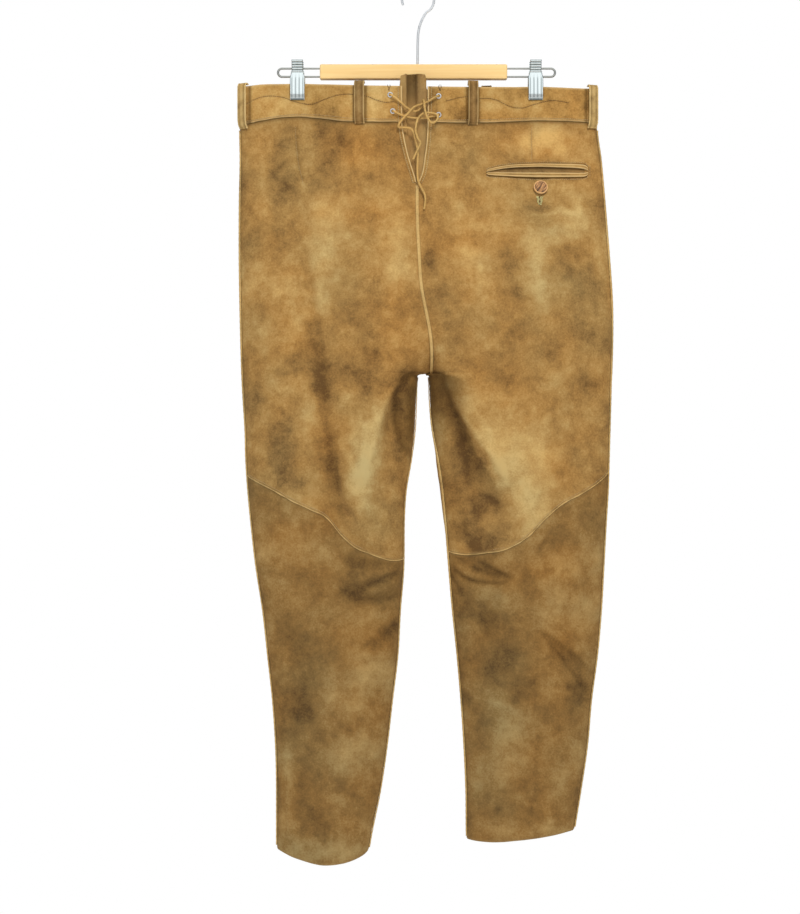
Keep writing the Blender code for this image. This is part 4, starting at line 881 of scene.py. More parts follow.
# Hollows beside a fold line, dark on the left of the way down it: lift is how dark
HOLLOWS = [Fold(*row) for row in (
    (-10, 640, -32, 590, -27, 531, 0.62, 24), (-21, 558, -28, 542, -27, 529, 0.35, 16),
    (-28, 538, -18, 525, 1, 519, 0.75, 17), (14, 519, 31, 522, 50, 537, 0.8, 17),
    (47, 531, 69, 611, 108, 680, 0.45, 24), (29, 526, 45, 571, 58, 611, 0.35, 20),
    (-106, 611, -106, 677, -90, 730, 0.3, 24), (-127, 465, -117, 584, -111, 717, 0.12, 14),
    (-88, 727, -57, 750, -19, 754, 0.25, 12), (-97, 759, -61, 770, -20, 764, 0.3, 9),
    (58, 743, 95, 759, 124, 746, 0.12, 9), (47, 640, 57, 690, 66, 740, 0.2, 20),
    (166, 866, 200, 890, 232, 921, 0.5, 4), (-162, 200, -159, 240, -153, 266, 0.3, 3),
    (152, 196, 152, 215, 152, 236, 0.25, 3), (-207, 823, -157, 876, -133, 955, 0.1, 20),
    (98, 770, 108, 823, 82, 889, 0.18, 22), (-19, 809, -51, 823, -77, 809, 0.22, 12),
    (-2, 522, -5, 565, -9, 620, 0.8, 17), (16, 610, 13, 560, 12, 522, 0.75, 24),
    (44, 777, 69, 796, 115, 800, 0.6, 2.8), (80, 771, 104, 785, 125, 793, 0.5, 2.6),
    (40, 768, 43, 788, 55, 810, 0.5, 2.6),
)]

# Worn patches of the back, with painted shade in its hollows and painted highlights on its
# folds: place, half length and half width, tilt in degrees, and tone, below zero where it is darker
Stroke = namedtuple("Stroke", "x drop half_long half_wide tilt tone")
WEAR_AND_SHADE_MARKS = [Stroke(*row) for row in (
    (-182, 227, 32, 13, 90, -0.8), (-183, 276, 13, 7, 0, -0.35), (-182, 330, 29, 16, 90, -0.8),
    (-200, 370, 8, 7, 0, -0.35), (-153, 441, 26, 7, 75, -0.55), (-138, 485, 26, 8, 80, -0.5),
    (-129, 538, 29, 8, 82, -0.5), (-122, 598, 34, 8, 80, -0.45), (-114, 650, 29, 8, 70, -0.45),
    (-44, 236, 21, 12, 20, -0.45), (-74, 216, 26, 5, 42, -0.45), (18, 346, 21, 9, 85, -0.35),
    (21, 380, 18, 8, 85, -0.45), (124, 375, 18, 16, 0, -0.5), (201, 366, 15, 13, 0, -0.45),
    (228, 339, 12, 11, 0, -0.35), (217, 472, 42, 16, 90, -0.45), (-179, 478, 16, 13, 0, -0.4),
    (-187, 521, 16, 18, 0, -0.3), (-182, 611, 45, 29, 80, -0.5), (-66, 542, 16, 13, 0, -0.6),
    (-69, 462, 32, 8, 40, -0.35), (75, 306, 24, 11, 70, -0.5), (18, 269, 21, 11, 90, -0.4),
    (208, 216, 29, 8, 52, -0.75), (141, 551, 18, 12, 0, -0.3), (-61, 200, 45, 7, 0, -0.5),
    (51, 227, 18, 11, 0, -0.2), (-97, 518, 18, 11, 0, -0.2), (181, 591, 40, 5, 88, -0.45),
    (59, 465, 24, 18, 0, -0.15), (-37, 383, 37, 12, 12, 0.75), (-4, 403, 13, 11, 60, 0.4),
    (161, 402, 29, 16, 88, 0.85), (155, 436, 16, 13, 0, 0.45), (69, 362, 17, 12, 0, 0.6),
    (157, 209, 26, 16, 0, 0.6), (74, 202, 21, 11, 0, 0.55), (62, 227, 21, 8, 110, 0.4),
    (-141, 240, 17, 9, 90, 0.4), (-153, 274, 10, 4, 85, 1.3), (32, 313, 21, 13, 20, 0.5),
    (159, 346, 26, 11, 90, 0.5), (200, 306, 17, 6, 0, 1.7), (216, 300, 9, 4, 90, 1),
    (168, 310, 29, 4, 0, 0.35), (-110, 310, 24, 13, 0, 0.4), (-123, 399, 40, 15, 88, 0.35),
    (-24, 350, 16, 12, 0, 0.35), (-44, 293, 18, 13, 0, 0.2), (-153, 551, 37, 7, 88, 0.35),
    (-207, 224, 29, 7, 95, 0.35), (197, 277, 15, 11, 0, 0.4), (201, 415, 13, 11, 30, 0.4),
    (42, 425, 18, 18, 0, 0.2), (115, 485, 40, 18, 0, 0.15), (108, 266, 16, 8, 0, 0.25),
    (-212, 664, 21, 11, 20, 0.3), (82, 399, 16, 13, 0, 0.3), (-11, 511, 24, 8, 0, 0.4),
    (29, 498, 11, 13, 90, 0.3), (-40, 551, 16, 7, 115, 0.35), (95, 598, 34, 7, 55, 0.6),
    (-122, 697, 48, 11, 86, -0.45), (-109, 745, 11, 9, 0, -0.5), (-70, 723, 18, 13, 0, -0.35),
    (-174, 661, 17, 16, 0, -0.5), (-196, 780, 18, 13, 0, -0.4), (-48, 796, 34, 8, 158, -0.5),
    (-64, 825, 34, 7, 8, -0.55), (-27, 786, 11, 7, 0, -0.6), (-40, 865, 18, 12, 0, -0.9),
    (-66, 884, 16, 8, 0, -0.5), (-70, 776, 34, 13, 10, -0.5), (-146, 966, 32, 18, 95, -0.5),
    (-139, 1013, 24, 16, 0, -0.5), (-161, 913, 16, 12, 0, -0.3), (-84, 991, 15, 13, 0, -0.55),
    (-72, 945, 17, 13, 0, -0.5), (-53, 963, 12, 18, 0, -0.3), (-81, 1103, 15, 13, 120, -0.55),
    (-110, 1068, 18, 11, 0, -0.35), (-157, 1154, 18, 11, 0, -0.3), (-97, 849, 21, 11, 0, -0.2),
    (-157, 743, 24, 16, 0, -0.3), (-176, 876, 16, 18, 0, -0.2), (61, 666, 50, 16, 78, -0.25),
    (95, 693, 24, 7, 32, -0.2), (79, 743, 32, 11, 2, -0.15), (84, 780, 37, 4, 18, -0.4),
    (55, 809, 34, 8, 78, -0.45), (108, 849, 29, 11, 5, -0.6), (112, 892, 45, 21, 92, -0.4),
    (100, 918, 29, 15, 0, -0.5), (84, 984, 18, 17, 0, -0.55), (137, 1072, 17, 11, 0, -0.55),
    (165, 1074, 11, 11, 0, -0.5), (95, 1048, 21, 9, 90, -0.35), (230, 865, 24, 9, 110, -0.55),
    (212, 921, 29, 4, 58, -0.6), (214, 807, 29, 21, 0, -0.35), (168, 750, 18, 5, 130, -0.7),
    (156, 1021, 66, 3, 90, -0.35), (208, 955, 21, 11, 80, -0.3), (148, 975, 16, 11, 0, -0.2),
    (69, 1061, 40, 7, 88, -0.25), (205, 1101, 16, 8, 0, -0.35), (108, 1101, 24, 13, 0, -0.25),
    (-74, 657, 42, 12, 95, 0.65), (-85, 694, 18, 9, 70, 0.4), (-40, 750, 21, 11, 20, 0.2),
    (-179, 1088, 45, 8, 92, 0.5), (-88, 1156, 18, 9, -10, 0.45), (-114, 942, 34, 11, 92, 0.35),
    (-64, 917, 16, 11, 0, 0.4), (131, 664, 50, 18, 80, 0.45), (111, 650, 26, 5, 75, 0.5),
    (188, 782, 5, 5, 0, 1.2), (192, 783, 21, 15, 0, 0.3), (73, 778, 16, 7, 20, 0.5),
    (184, 839, 26, 16, 0, 0.35), (168, 886, 22, 11, 0, 0.35), (119, 1021, 37, 16, 92, 0.25),
    (235, 723, 40, 7, 95, 0.4), (205, 1043, 24, 11, 120, 0.35), (137, 1133, 40, 8, 0, 0.3),
    (228, 690, 21, 13, 0, 0.3), (102, 809, 24, 9, 15, 0.25), (115, 963, 34, 3, 12, 0.25),
    (-143, 942, 11, 8, 0, 0.15), (-157, 823, 29, 18, 0, 0.15), (-130, 876, 26, 13, 0, 0.15),
    (196, 717, 26, 11, 150, 0.2), (-203, 717, 18, 8, 80, 0.3), (-176, 809, 21, 8, 80, 0.15),
    (55, 876, 34, 8, 85, 0.15), (-51, 1015, 26, 8, 105, 0.2),
)]
# Broader ones, of wear and of painted shade and painted light
WEAR_AND_SHADE_PATCHES = [Stroke(*row) for row in (
    (-183, 280, 82, 16, 90, -0.4), (-61, 224, 48, 27, 0, -0.3), (13, 375, 48, 8, 88, -0.3),
    (-190, 455, 32, 21, 0, -0.2), (-69, 553, 27, 16, 90, -0.35), (-124, 590, 109, 16, 84, -0.3),
    (-178, 658, 51, 20, 90, -0.4), (-73, 627, 69, 15, 107, 0.6), (-25, 650, 35, 11, 95, -0.25),
    (-157, 240, 40, 13, 85, 0.2), (-119, 286, 35, 27, 0, 0.25), (-150, 531, 80, 12, 92, 0.2),
    (-88, 465, 53, 32, 0, -0.15), (-207, 253, 53, 12, 90, 0.2), (168, 216, 56, 20, 0, 0.45),
    (212, 282, 29, 15, 80, 0.35), (71, 362, 27, 17, 20, 0.4), (159, 402, 51, 17, 92, 0.45),
    (120, 380, 35, 12, 90, -0.3), (209, 406, 66, 24, 88, -0.45), (132, 631, 82, 29, 68, 0.45),
    (106, 640, 53, 12, 66, 0.3), (227, 485, 35, 19, 90, -0.15), (42, 227, 32, 19, 0, 0.2),
    (39, 547, 29, 12, 72, -0.5), (55, 600, 40, 16, 70, -0.45), (78, 650, 37, 19, 66, -0.3),
    (95, 686, 27, 12, 50, -0.2), (-25, 547, 32, 13, 97, -0.4), (-19, 598, 35, 11, 98, -0.6),
    (62, 716, 52, 26, 80, -0.4), (196, 770, 35, 19, 0, 0.3), (161, 717, 29, 19, 80, 0.2),
    (-61, 791, 45, 20, -5, -0.45), (-40, 876, 29, 19, 0, -0.6), (-114, 823, 40, 21, 0, -0.2),
    (-149, 984, 45, 17, 84, -0.4), (-66, 960, 37, 20, 90, -0.35), (-80, 1074, 32, 29, 0, -0.3),
    (-171, 1087, 53, 12, 90, 0.45), (-123, 1158, 59, 12, 2, 0.6), (-82, 1103, 21, 16, 0, -0.25),
    (-207, 770, 66, 11, 88, 0.3), (116, 889, 51, 27, 90, -0.35), (66, 836, 53, 12, 86, -0.3),
    (192, 820, 37, 29, 0, 0.4), (172, 895, 35, 21, 0, 0.2), (148, 1074, 45, 21, 0, -0.35),
    (87, 1011, 48, 19, 90, -0.25), (148, 1132, 53, 9, 0, 0.5), (227, 955, 80, 11, 96, 0.35),
    (208, 1041, 40, 13, 96, 0.15), (-157, 770, 45, 29, 0, 0.1), (-117, 902, 53, 19, 90, 0.15),
    (102, 770, 40, 11, 8, 0.3), (241, 770, 53, 9, 88, 0.25), (115, 955, 40, 24, 0, -0.2),
    (-130, 575, 65, 75, 0, -0.2), (155, 573, 85, 70, 0, 0.2), (-160, 156, 80, 22, 0, 0.4),
)]
# Warmer patches, and cooler ones below zero
WARM_PATCHES = [Stroke(*row) for row in (
    (168, 216, 61, 24, 0, 1), (82, 339, 53, 35, 20, 0.7), (-24, 300, 48, 29, 80, 0.8),
    (-117, 306, 48, 35, 0, 0.4), (-61, 227, 53, 29, 0, 0.8), (-190, 372, 66, 27, 90, 0.4),
    (135, 558, 93, 45, 70, 0.7), (-24, 465, 53, 45, 0, 0.5), (196, 772, 40, 24, 0, 0.8),
    (-157, 743, 66, 35, 0, 0.5), (108, 790, 45, 21, 0, 0.6), (-64, 876, 53, 35, 0, 0.4),
    (188, 876, 45, 40, 0, 0.5), (-123, 584, 106, 21, 84, 0.6), (-183, 280, 85, 19, 90, -0.5),
    (155, 306, 48, 37, 90, -0.4), (161, 406, 45, 21, 90, -0.5), (-70, 650, 66, 27, 104, -0.6),
    (-64, 723, 35, 29, 0, -0.8), (221, 439, 59, 24, 90, -0.6), (-143, 1008, 93, 45, 90, -0.4),
    (-130, 1154, 66, 21, 0, -0.8), (95, 995, 80, 29, 90, -0.6), (-178, 650, 53, 24, 90, -0.5),
    (-117, 412, 53, 24, 90, -0.4), (115, 895, 53, 32, 90, -0.3), (-157, 247, 53, 16, 90, -0.2),
    (88, 1101, 40, 27, 0, -0.5),
)]

# Wavy seam along the back of the band, as places (x, drop)
WAVE_STITCH = {
    "left": (
        (-229, 163), (-214, 155), (-199, 151.6), (-181, 152.7), (-169.5, 156.6), (-155.7, 160.3),
        (-141.1, 161.7), (-125.7, 156.6), (-107.9, 151.4), (-90.6, 150.5), (-68.5, 153.9),
        (-57.4, 158.5), (-44.1, 162.3), (-33.4, 161.7),
    ),
    "right": (
        (38, 160.5), (55, 156), (70, 154.5), (83.6, 156.6), (91.5, 155.9), (104.2, 157.8),
        (115.5, 163), (127.4, 166.7), (140.7, 166.7), (148.7, 164), (165.3, 159.1), (180.6, 156.7),
        (200.5, 160.3),
    ),
}


def stations(length, cell, start=EDGE_STATIONS, end=EDGE_STATIONS):
    """Places from 0 to 1 along a length, a cell apart and closer together at its ends."""
    first = [0.0, *start]
    last = [length - step for step in reversed(end)] + [length]
    count = max(2, round((last[0] - first[-1]) / cell) + 1)
    middle = np.linspace(first[-1], last[0], count)[1:-1]
    return np.concatenate([first, middle, last]) / length


def waves(places, lengths, count, seed):
    """Smooth random values of about -1 to 1 over places (x, drop)."""
    rng = np.random.default_rng(seed)
    total = np.zeros(places.shape[:-1])
    power = 0.0
    for length in np.geomspace(*lengths, count):
        turn, phase = rng.uniform(0.0, 2 * math.pi, 2)
        along = places[..., 0] * math.cos(turn) + places[..., 1] * math.sin(turn)
        total += math.sqrt(length) * np.sin(2 * math.pi * along / length + phase)
        power += length
    return total / math.sqrt(power)


def near_path(places, path, reach):
    """Which places are near a path, and their offsets from all its points."""
    low, high = path.min(axis=0) - reach, path.max(axis=0) + reach
    near = np.all((places > low) & (places < high), axis=-1)
    return near, places[near][:, None] - path


def crease_lift(places):
    """Height that the creases add at places (x, drop)."""
    lift = np.zeros(places.shape[:-1])
    depth = leather_settings().crease_depth
    for crease in CREASES:
        path = fold_path(crease, CREASE_STEPS)
        near, offsets = near_path(places, path, CREASE_REACH * crease.width)
        away = np.linalg.norm(offsets, axis=2)
        along = np.argmin(away, axis=1) / (CREASE_STEPS - 1)
        height = depth * crease.lift * (1 - CREASE_TAPER * (2 * along - 1) ** 2)
        lift[near] += height * bell(np.min(away, axis=1), crease.width)
    return lift


def patches(places, strokes):
    """Sum of soft oval patches at places (x, drop)."""
    total = np.zeros(places.shape[:-1])
    for stroke in strokes:
        tilt = math.radians(stroke.tilt)
        right, down = np.moveaxis(places - (stroke.x, stroke.drop), -1, 0)
        long = (right * math.cos(tilt) + down * math.sin(tilt)) / stroke.half_long
        wide = (down * math.cos(tilt) - right * math.sin(tilt)) / stroke.half_wide
        total += stroke.tone * np.exp(-long**2 - wide**2)
    return total


def stroke_tone(places, face):
    """How much lighter or darker (wear, painted shade and highlights) and warmer the leather is at
    (x, drop).
    """
    share = 1.0
    if face == "front":
        places = places * (-1.0, 1.0) + (0.0, FRONT_STROKE_DROP)
        share = FRONT_STROKE_SHARE
    wander = [waves(places, RIPPLE_LENGTHS, STROKE_COUNT, STROKE_SEED + k) for k in range(2)]
    moved = places + STROKE_WANDER * np.stack(wander, axis=-1)
    tone = MARK_SHARE * patches(moved, WEAR_AND_SHADE_MARKS) + PATCH_TONE * patches(moved, WEAR_AND_SHADE_PATCHES)
    warmth = patches(moved, WARM_PATCHES)
    return np.clip(share * tone, -1.0, 1.0), np.clip(share * warmth, -1.0, 1.0)


def hollow_shade(places):
    """Darkness beside the fold lines, at places (x, drop)."""
    shade = np.zeros(places.shape[:-1])
    for line in HOLLOWS:
        path = fold_path(line, CREASE_STEPS)
        near, offsets = near_path(places, path, HOLLOW_REACH * line.width)
        nearest = np.argmin(np.linalg.norm(offsets, axis=2), axis=1)
        away = offsets[np.arange(len(nearest)), nearest]
        way = unit(np.gradient(path, axis=0))[nearest]
        aside = way[:, 0] * away[:, 1] - way[:, 1] * away[:, 0]
        reach = np.where(aside > 0, line.width, HOLLOW_SOFT)
        fall = np.exp(-(np.linalg.norm(away, axis=1) / reach) ** HOLLOW_FALL)
        taper = 1 - (2 * nearest / (CREASE_STEPS - 1) - 1) ** 4
        dark = line.lift * fall * (HOLLOW_ENDS + (1 - HOLLOW_ENDS) * taper)
        shade[near] = np.maximum(shade[near], dark)
    return shade


def crotch_shade(places):
    """Darkness of the inner legs right under the crotch."""
    aside = np.abs(places[..., 0] - CROTCH_X)
    start, run, drop = CROTCH_ARCH
    arch = CROTCH + drop * np.clip((aside - start) / run, 0.0, None) ** 2
    below = ease((places[..., 1] - arch) / CROTCH_START)
    reach = np.where(places[..., 0] > CROTCH_X, CROTCH_REACH["right"], CROTCH_REACH["left"])
    start, run, share = CROTCH_FALL
    fall = 1 - share * ease((places[..., 1] - CROTCH - start) / run)
    return CROTCH_SHADE * below * fall * np.exp(-(aside / reach) ** 4)


def band_shade(half, places, face):
    """Darkness on the band: along its wavy seam and beside the belt loops."""
    shade = np.zeros(places.shape[:-1])
    for loop in LOOPS.values():
        if loop.side == half.side and loop.front == (face == "front"):
            away = np.abs(places[..., 0] - loop.x) - LOOP_WIDTH / 2 - LOOP_SHADE_AWAY
            shade = np.maximum(shade, LOOP_SHADE * bell(away, LOOP_SHADE_WIDTH))
    if face == "back":
        wave = smooth_path(WAVE_STITCH[half.word], 6)
        away = np.min(np.linalg.norm(places[..., None, :] - wave, axis=-1), axis=-1)
        shade = np.maximum(shade, WAVE_SHADE * bell(away, WAVE_SHADE_WIDTH))
    return shade


def edge_distance(points):
    """Distance of each point of a grid from the grid's nearest edge, along its lines."""
    nearest = np.full(points.shape[:2], np.inf)
    for axis in (0, 1):
        along = distance_along(points, axis)
        total = along[-1:] if axis == 0 else along[:, -1:]
        nearest = np.minimum(nearest, np.minimum(along, total - along))
    return nearest


def distance_along(points, axis):
    """Distance of each point of a grid from its first row or column."""
    steps = np.linalg.norm(np.diff(points, axis=axis), axis=2)
    before = [(1, 0), (0, 0)] if axis == 0 else [(0, 0), (1, 0)]
    return np.cumsum(np.pad(steps, before), axis=axis)


# ------------------------------------------------------------ materials

class Nodes:
    """Adds nodes to a tree. An input is given as a socket, a number or a colour."""

    def __init__(self, tree):
        self.tree = tree

    def put(self, node, given):
        """Link or set the inputs of a node, found by name or number."""
        for key, value in given.items():
            socket = node.inputs[key]
            if isinstance(value, bpy.types.NodeSocket):
                self.tree.links.new(value, socket)
            elif socket.type == "RGBA":
                socket.default_value = (*value, 1.0)
            else:
                socket.default_value = value
        return node

    def add(self, kind, given=None, **settings):
        node = self.tree.nodes.new(kind)
        for name, value in settings.items():
            setattr(node, name, value)
        return self.put(node, given or {})

    def math(self, operation, first, second=0.0, clamp=False):
        given = {0: first, 1: second}
        node = self.add("ShaderNodeMath", given, operation=operation, use_clamp=clamp)
        return node.outputs["Value"]

    def times(self, first, second, clamp=False):
        return self.math("MULTIPLY", first, second, clamp)

    def plus(self, first, second, clamp=False):
        return self.math("ADD", first, second, clamp)

    def minus(self, first, second, clamp=False):
        return self.math("SUBTRACT", first, second, clamp)

    def mix(self, share, first, second, blend="MIX"):
        given = {"Factor": share, 6: first, 7: second}
        return self.add("ShaderNodeMix", given, data_type="RGBA", blend_type=blend).outputs[2]

    def noise(self, vector, scale, detail, roughness=0.55):
        given = {"Vector": vector, "Scale": scale, "Detail": detail, "Roughness": roughness}
        return self.add("ShaderNodeTexNoise", given).outputs["Fac"]

    def mapped(self, vector, **given):
        """The vector turned or scaled."""
        return self.add("ShaderNodeMapping", {"Vector": vector, **given}).outputs["Vector"]

    def attribute(self, name):
        return self.add("ShaderNodeAttribute", attribute_name=name).outputs["Fac"]

    def bump(self, shader, height, strength, distance):
        given = {"Height": height, "Strength": strength, "Distance": distance * MM}
        self.put(shader, {"Normal": self.add("ShaderNodeBump", given).outputs["Normal"]})

    def group(self, builder, name, place):
        """A shared group, made at its first use."""
        if name not in bpy.data.node_groups:
            builder(name)
        node = self.add("ShaderNodeGroup", node_tree=bpy.data.node_groups[name])
        return self.put(node, {"Vector": place})


def group_tree(name, numbers, colours, outputs):
    """An empty shader group: its nodes, its input's outputs and its output node."""
    tree = bpy.data.node_groups.new(name, "ShaderNodeTree")
    kinds = {"Vector": "Vector"}
    kinds |= dict.fromkeys(numbers, "Float") | dict.fromkeys(colours, "Color")
    for way, sockets in (("INPUT", kinds), ("OUTPUT", outputs)):
        for socket, kind in sockets.items():
            tree.interface.new_socket(socket, in_out=way, socket_type=f"NodeSocket{kind}")
    nodes = Nodes(tree)
    return nodes, nodes.add("NodeGroupInput").outputs, nodes.add("NodeGroupOutput")


LEATHER_ATTRIBUTES = ("Tone", "Edge", "Warmth", "Shade")
LEATHER_COLOURS = ("Dark", "Middle", "Light", "Pale Edge")
BROAD_SHARE = 0.8
BLOTCH_SHARE = 1.0
PATCH_SHARE = 0.78
NAP_SHARE = 0.68
WRINKLE_THINNESS = 13.0
WRINKLE_START = 0.42
# Painted shade along the wrinkle lines, which the bump also sinks
WRINKLE_SHADE = -0.07
WRINKLE_HEIGHT = -0.8
PATCH_HEIGHT = 0.6
SHADE_COLOUR = (0.20, 0.17, 0.13)
WARM_DRIFT = 1.3
WARM_TINT = (1.08, 0.97, 0.82)
COOL_TINT = (0.90, 1.00, 1.10)


def wrinkle_lines(nodes, vector):
    """Thin branching lines of about 1 on a ground of 0, here and there."""
    lines = nodes.noise(vector, scale=30.0, detail=3.0, roughness=0.5)
    where = nodes.noise(vector, scale=14.0, detail=1.0)
    away = nodes.math("ABSOLUTE", nodes.minus(lines, 0.5))
    thin = nodes.times(away, WRINKLE_THINNESS, clamp=True)
    shown = nodes.times(nodes.minus(where, WRINKLE_START), 5.0, clamp=True)
    return nodes.times(nodes.minus(1.0, thin), shown)


def worn_and_shaded_suede(name):
    """Colour of worn suede with painted light and shade: dark, middle, light mixed by tone; napped
    height.
    """
    nodes, given, made = group_tree(
        name, (*LEATHER_ATTRIBUTES, "Mottle"), LEATHER_COLOURS,
        {"Colour": "Color", "Height": "Float"},
    )
    vector = given["Vector"]
    patch = nodes.noise(vector, scale=75.0, detail=5.0, roughness=0.65)
    nap = nodes.noise(vector, scale=420.0, detail=3.0, roughness=0.7)
    wrinkle = wrinkle_lines(nodes, vector)
    total = nodes.times(given["Tone"], 0.5)
    for noise, share in (
        (nodes.noise(vector, scale=9.0, detail=3.0), BROAD_SHARE),
        (nodes.noise(vector, scale=22.0, detail=4.0), BLOTCH_SHARE),
        (patch, PATCH_SHARE), (nap, NAP_SHARE),
    ):
        mottled = nodes.times(nodes.times(nodes.minus(noise, 0.5), share), given["Mottle"])
        total = nodes.plus(total, mottled)
    # Painted shade along the wrinkles
    total = nodes.plus(total, nodes.times(wrinkle, WRINKLE_SHADE))
    total = nodes.plus(total, 0.5, clamp=True)
    darker = nodes.times(total, 2.0, clamp=True)
    lighter = nodes.minus(nodes.times(total, 2.0), 1.0, clamp=True)
    colour = nodes.mix(darker, given["Dark"], given["Middle"])
    colour = nodes.mix(lighter, colour, given["Light"])
    hue = nodes.noise(vector, scale=17.0, detail=3.0)
    drift = nodes.times(nodes.minus(hue, 0.5), WARM_DRIFT)
    warmth = nodes.plus(nodes.times(given["Warmth"], 0.5), drift)
    tint = nodes.mix(nodes.plus(warmth, 0.5, clamp=True), COOL_TINT, WARM_TINT)
    colour = nodes.mix(1.0, colour, tint, "MULTIPLY")
    colour = nodes.mix(given["Edge"], colour, given["Pale Edge"])
    # Painted shade in hollows, under seams and beside sewn-on pieces, from the shade attribute
    colour = nodes.mix(given["Shade"], colour, SHADE_COLOUR, "MULTIPLY")
    napped = nodes.plus(nodes.times(patch, PATCH_HEIGHT), nap)
    height = nodes.plus(napped, nodes.times(wrinkle, WRINKLE_HEIGHT))
    nodes.put(made, {"Colour": colour, "Height": height})


def pine_grain(name):
    """Wood grain along X: a mask of the darker lines."""
    nodes, given, made = group_tree(name, (), (), {"Mask": "Float"})
    stretch = nodes.mapped(given["Vector"], Scale=(3.0, 90.0, 90.0))
    broad = nodes.noise(stretch, scale=1.6, detail=2.0)
    fine = nodes.noise(stretch, scale=9.0, detail=4.0, roughness=0.7)
    lines = nodes.math("PINGPONG", nodes.times(broad, 6.0), 1.0)
    lines = nodes.math("POWER", lines, 3.0)
    mask = nodes.plus(nodes.times(lines, 0.35), nodes.times(fine, 0.25), clamp=True)
    nodes.put(made, {"Mask": mask})


def fine_streaks(name):
    """Fine streaks across a metal: a value around 0 to 1."""
    nodes, given, made = group_tree(name, (), (), {"Value": "Float"})
    stretch = nodes.mapped(given["Vector"], Scale=(900.0, 900.0, 60.0))
    nodes.put(made, {"Value": nodes.noise(stretch, scale=1.0, detail=2.0)})


def new_material(name, viewport):
    """A material: its nodes, its Principled shader and its object coordinates."""
    material = bpy.data.materials.new(name)
    material.use_nodes = True
    material.diffuse_color = (*viewport, 1.0)
    nodes = Nodes(material.node_tree)
    place = nodes.add("ShaderNodeTexCoord").outputs["Object"]
    return nodes, nodes.tree.nodes["Principled BSDF"], place


def leather_material(name, leather):
    """Suede or smooth leather, coloured by the piece's tone and edge attributes."""
    nodes, shader, place = new_material(name, leather.middle)
    suede = nodes.group(worn_and_shaded_suede, "Worn and Shaded Suede", place)
    nodes.put(suede, {socket: nodes.attribute(socket.lower()) for socket in LEATHER_ATTRIBUTES})
    nodes.put(suede, dict(zip(LEATHER_COLOURS, leather)))
    nodes.put(suede, {"Mottle": leather.mottle})
    nodes.put(shader, {
        "Base Color": suede.outputs["Colour"], "Roughness": 0.92, "Specular IOR Level": 0.2,
        "Sheen Weight": leather.sheen, "Sheen Roughness": 0.5, "Sheen Tint": leather.light,
    })
    nodes.bump(shader, suede.outputs["Height"], strength=0.5, distance=0.45)


def wood_material():
    light = tuple(hanger_settings().wood_colour)
    nodes, shader, place = new_material("Pine", light)
    mask = nodes.group(pine_grain, "Pine Grain", place).outputs["Mask"]
    nodes.put(shader, {"Base Color": nodes.mix(mask, light, WOOD_DARK), "Roughness": 0.45})
    nodes.bump(shader, mask, strength=0.15, distance=0.2)


def metal_material(name, colour, roughness):
    """Bright metal, darkened by its shade attribute: grime and painted shade on clips, tarnish on
    eyelets.
    """
    nodes, shader, place = new_material(name, colour)
    streaks = nodes.group(fine_streaks, "Fine Streaks", place).outputs["Value"]
    nodes.put(shader, {
        "Base Color": nodes.mix(nodes.attribute("shade"), colour, METAL_DARK),
        "Metallic": 1.0,
        "Roughness": nodes.plus(nodes.times(streaks, 0.12), roughness),
    })


def horn_material():
    """Polished horn, with a paler rim from the edge attribute and dark slanting streaks."""
    nodes, shader, place = new_material("Horn", HORN_MIDDLE)
    turned = nodes.mapped(place, Rotation=(0.0, HORN_SLANT, 0.0))
    stretched = nodes.mapped(turned, Scale=(620.0, 60.0, 70.0))
    streaks = nodes.times(nodes.noise(stretched, scale=1.0, detail=3.0), 4.0)
    colour = nodes.mix(nodes.minus(streaks, 1.5, clamp=True), HORN_DARK, HORN_MIDDLE)
    colour = nodes.mix(nodes.attribute("edge"), colour, HORN_RIM)
    nodes.put(shader, {"Base Color": colour, "Roughness": 0.55})


def thread_material(name, colour):
    nodes, shader, place = new_material(name, colour)
    fibres = nodes.noise(place, scale=1500.0, detail=2.0)
    darker = tuple(0.55 * value for value in colour)
    nodes.put(shader, {"Base Color": nodes.mix(fibres, darker, colour), "Roughness": 0.8})


Leather = namedtuple("Leather", "dark middle light edge mottle sheen")
LEATHERS = {
    "Suede Upper": Leather(
        (0.15, 0.078, 0.026), (0.42, 0.235, 0.072), (0.64, 0.44, 0.175),
        (0.56, 0.39, 0.165), 1.0, 0.1,
    ),
    "Suede Lower": Leather(
        (0.11, 0.06, 0.021), (0.29, 0.162, 0.05), (0.48, 0.32, 0.125),
        (0.44, 0.3, 0.13), 1.0, 0.1,
    ),
    "Suede Band": Leather(
        (0.13, 0.062, 0.018), (0.47, 0.262, 0.076), (0.68, 0.47, 0.185),
        (0.7, 0.49, 0.22), 1.0, 0.08,
    ),
    "Pale Leather": Leather(
        (0.33, 0.2, 0.075), (0.66, 0.44, 0.17), (0.78, 0.57, 0.26),
        (0.78, 0.57, 0.26), 0.8, 0.0,
    ),
    "Dark Leather": Leather(
        (0.07, 0.038, 0.015), (0.38, 0.225, 0.082), (0.48, 0.3, 0.11),
        (0.3, 0.19, 0.08), 0.8, 0.06,
    ),
    "Loop Leather": Leather(
        (0.13, 0.068, 0.022), (0.34, 0.198, 0.07), (0.5, 0.335, 0.135),
        (0.56, 0.39, 0.17), 0.9, 0.04,
    ),
    "Thong": Leather(
        (0.33, 0.19, 0.06), (0.64, 0.4, 0.135), (0.78, 0.54, 0.21),
        (0.78, 0.54, 0.21), 0.7, 0.0,
    ),
}
WOOD_DARK = (0.90, 0.56, 0.20)
HORN_DARK = (0.035, 0.014, 0.007)
HORN_MIDDLE = (0.62, 0.32, 0.13)
HORN_RIM = (0.72, 0.42, 0.17)
HORN_SLANT = -0.6
METAL_DARK = (0.055, 0.085, 0.080)
WIRES = {"Steel Wire": ((0.48, 0.48, 0.44), 0.35), "Bright Wire": ((0.97, 0.97, 0.97), 0.55)}
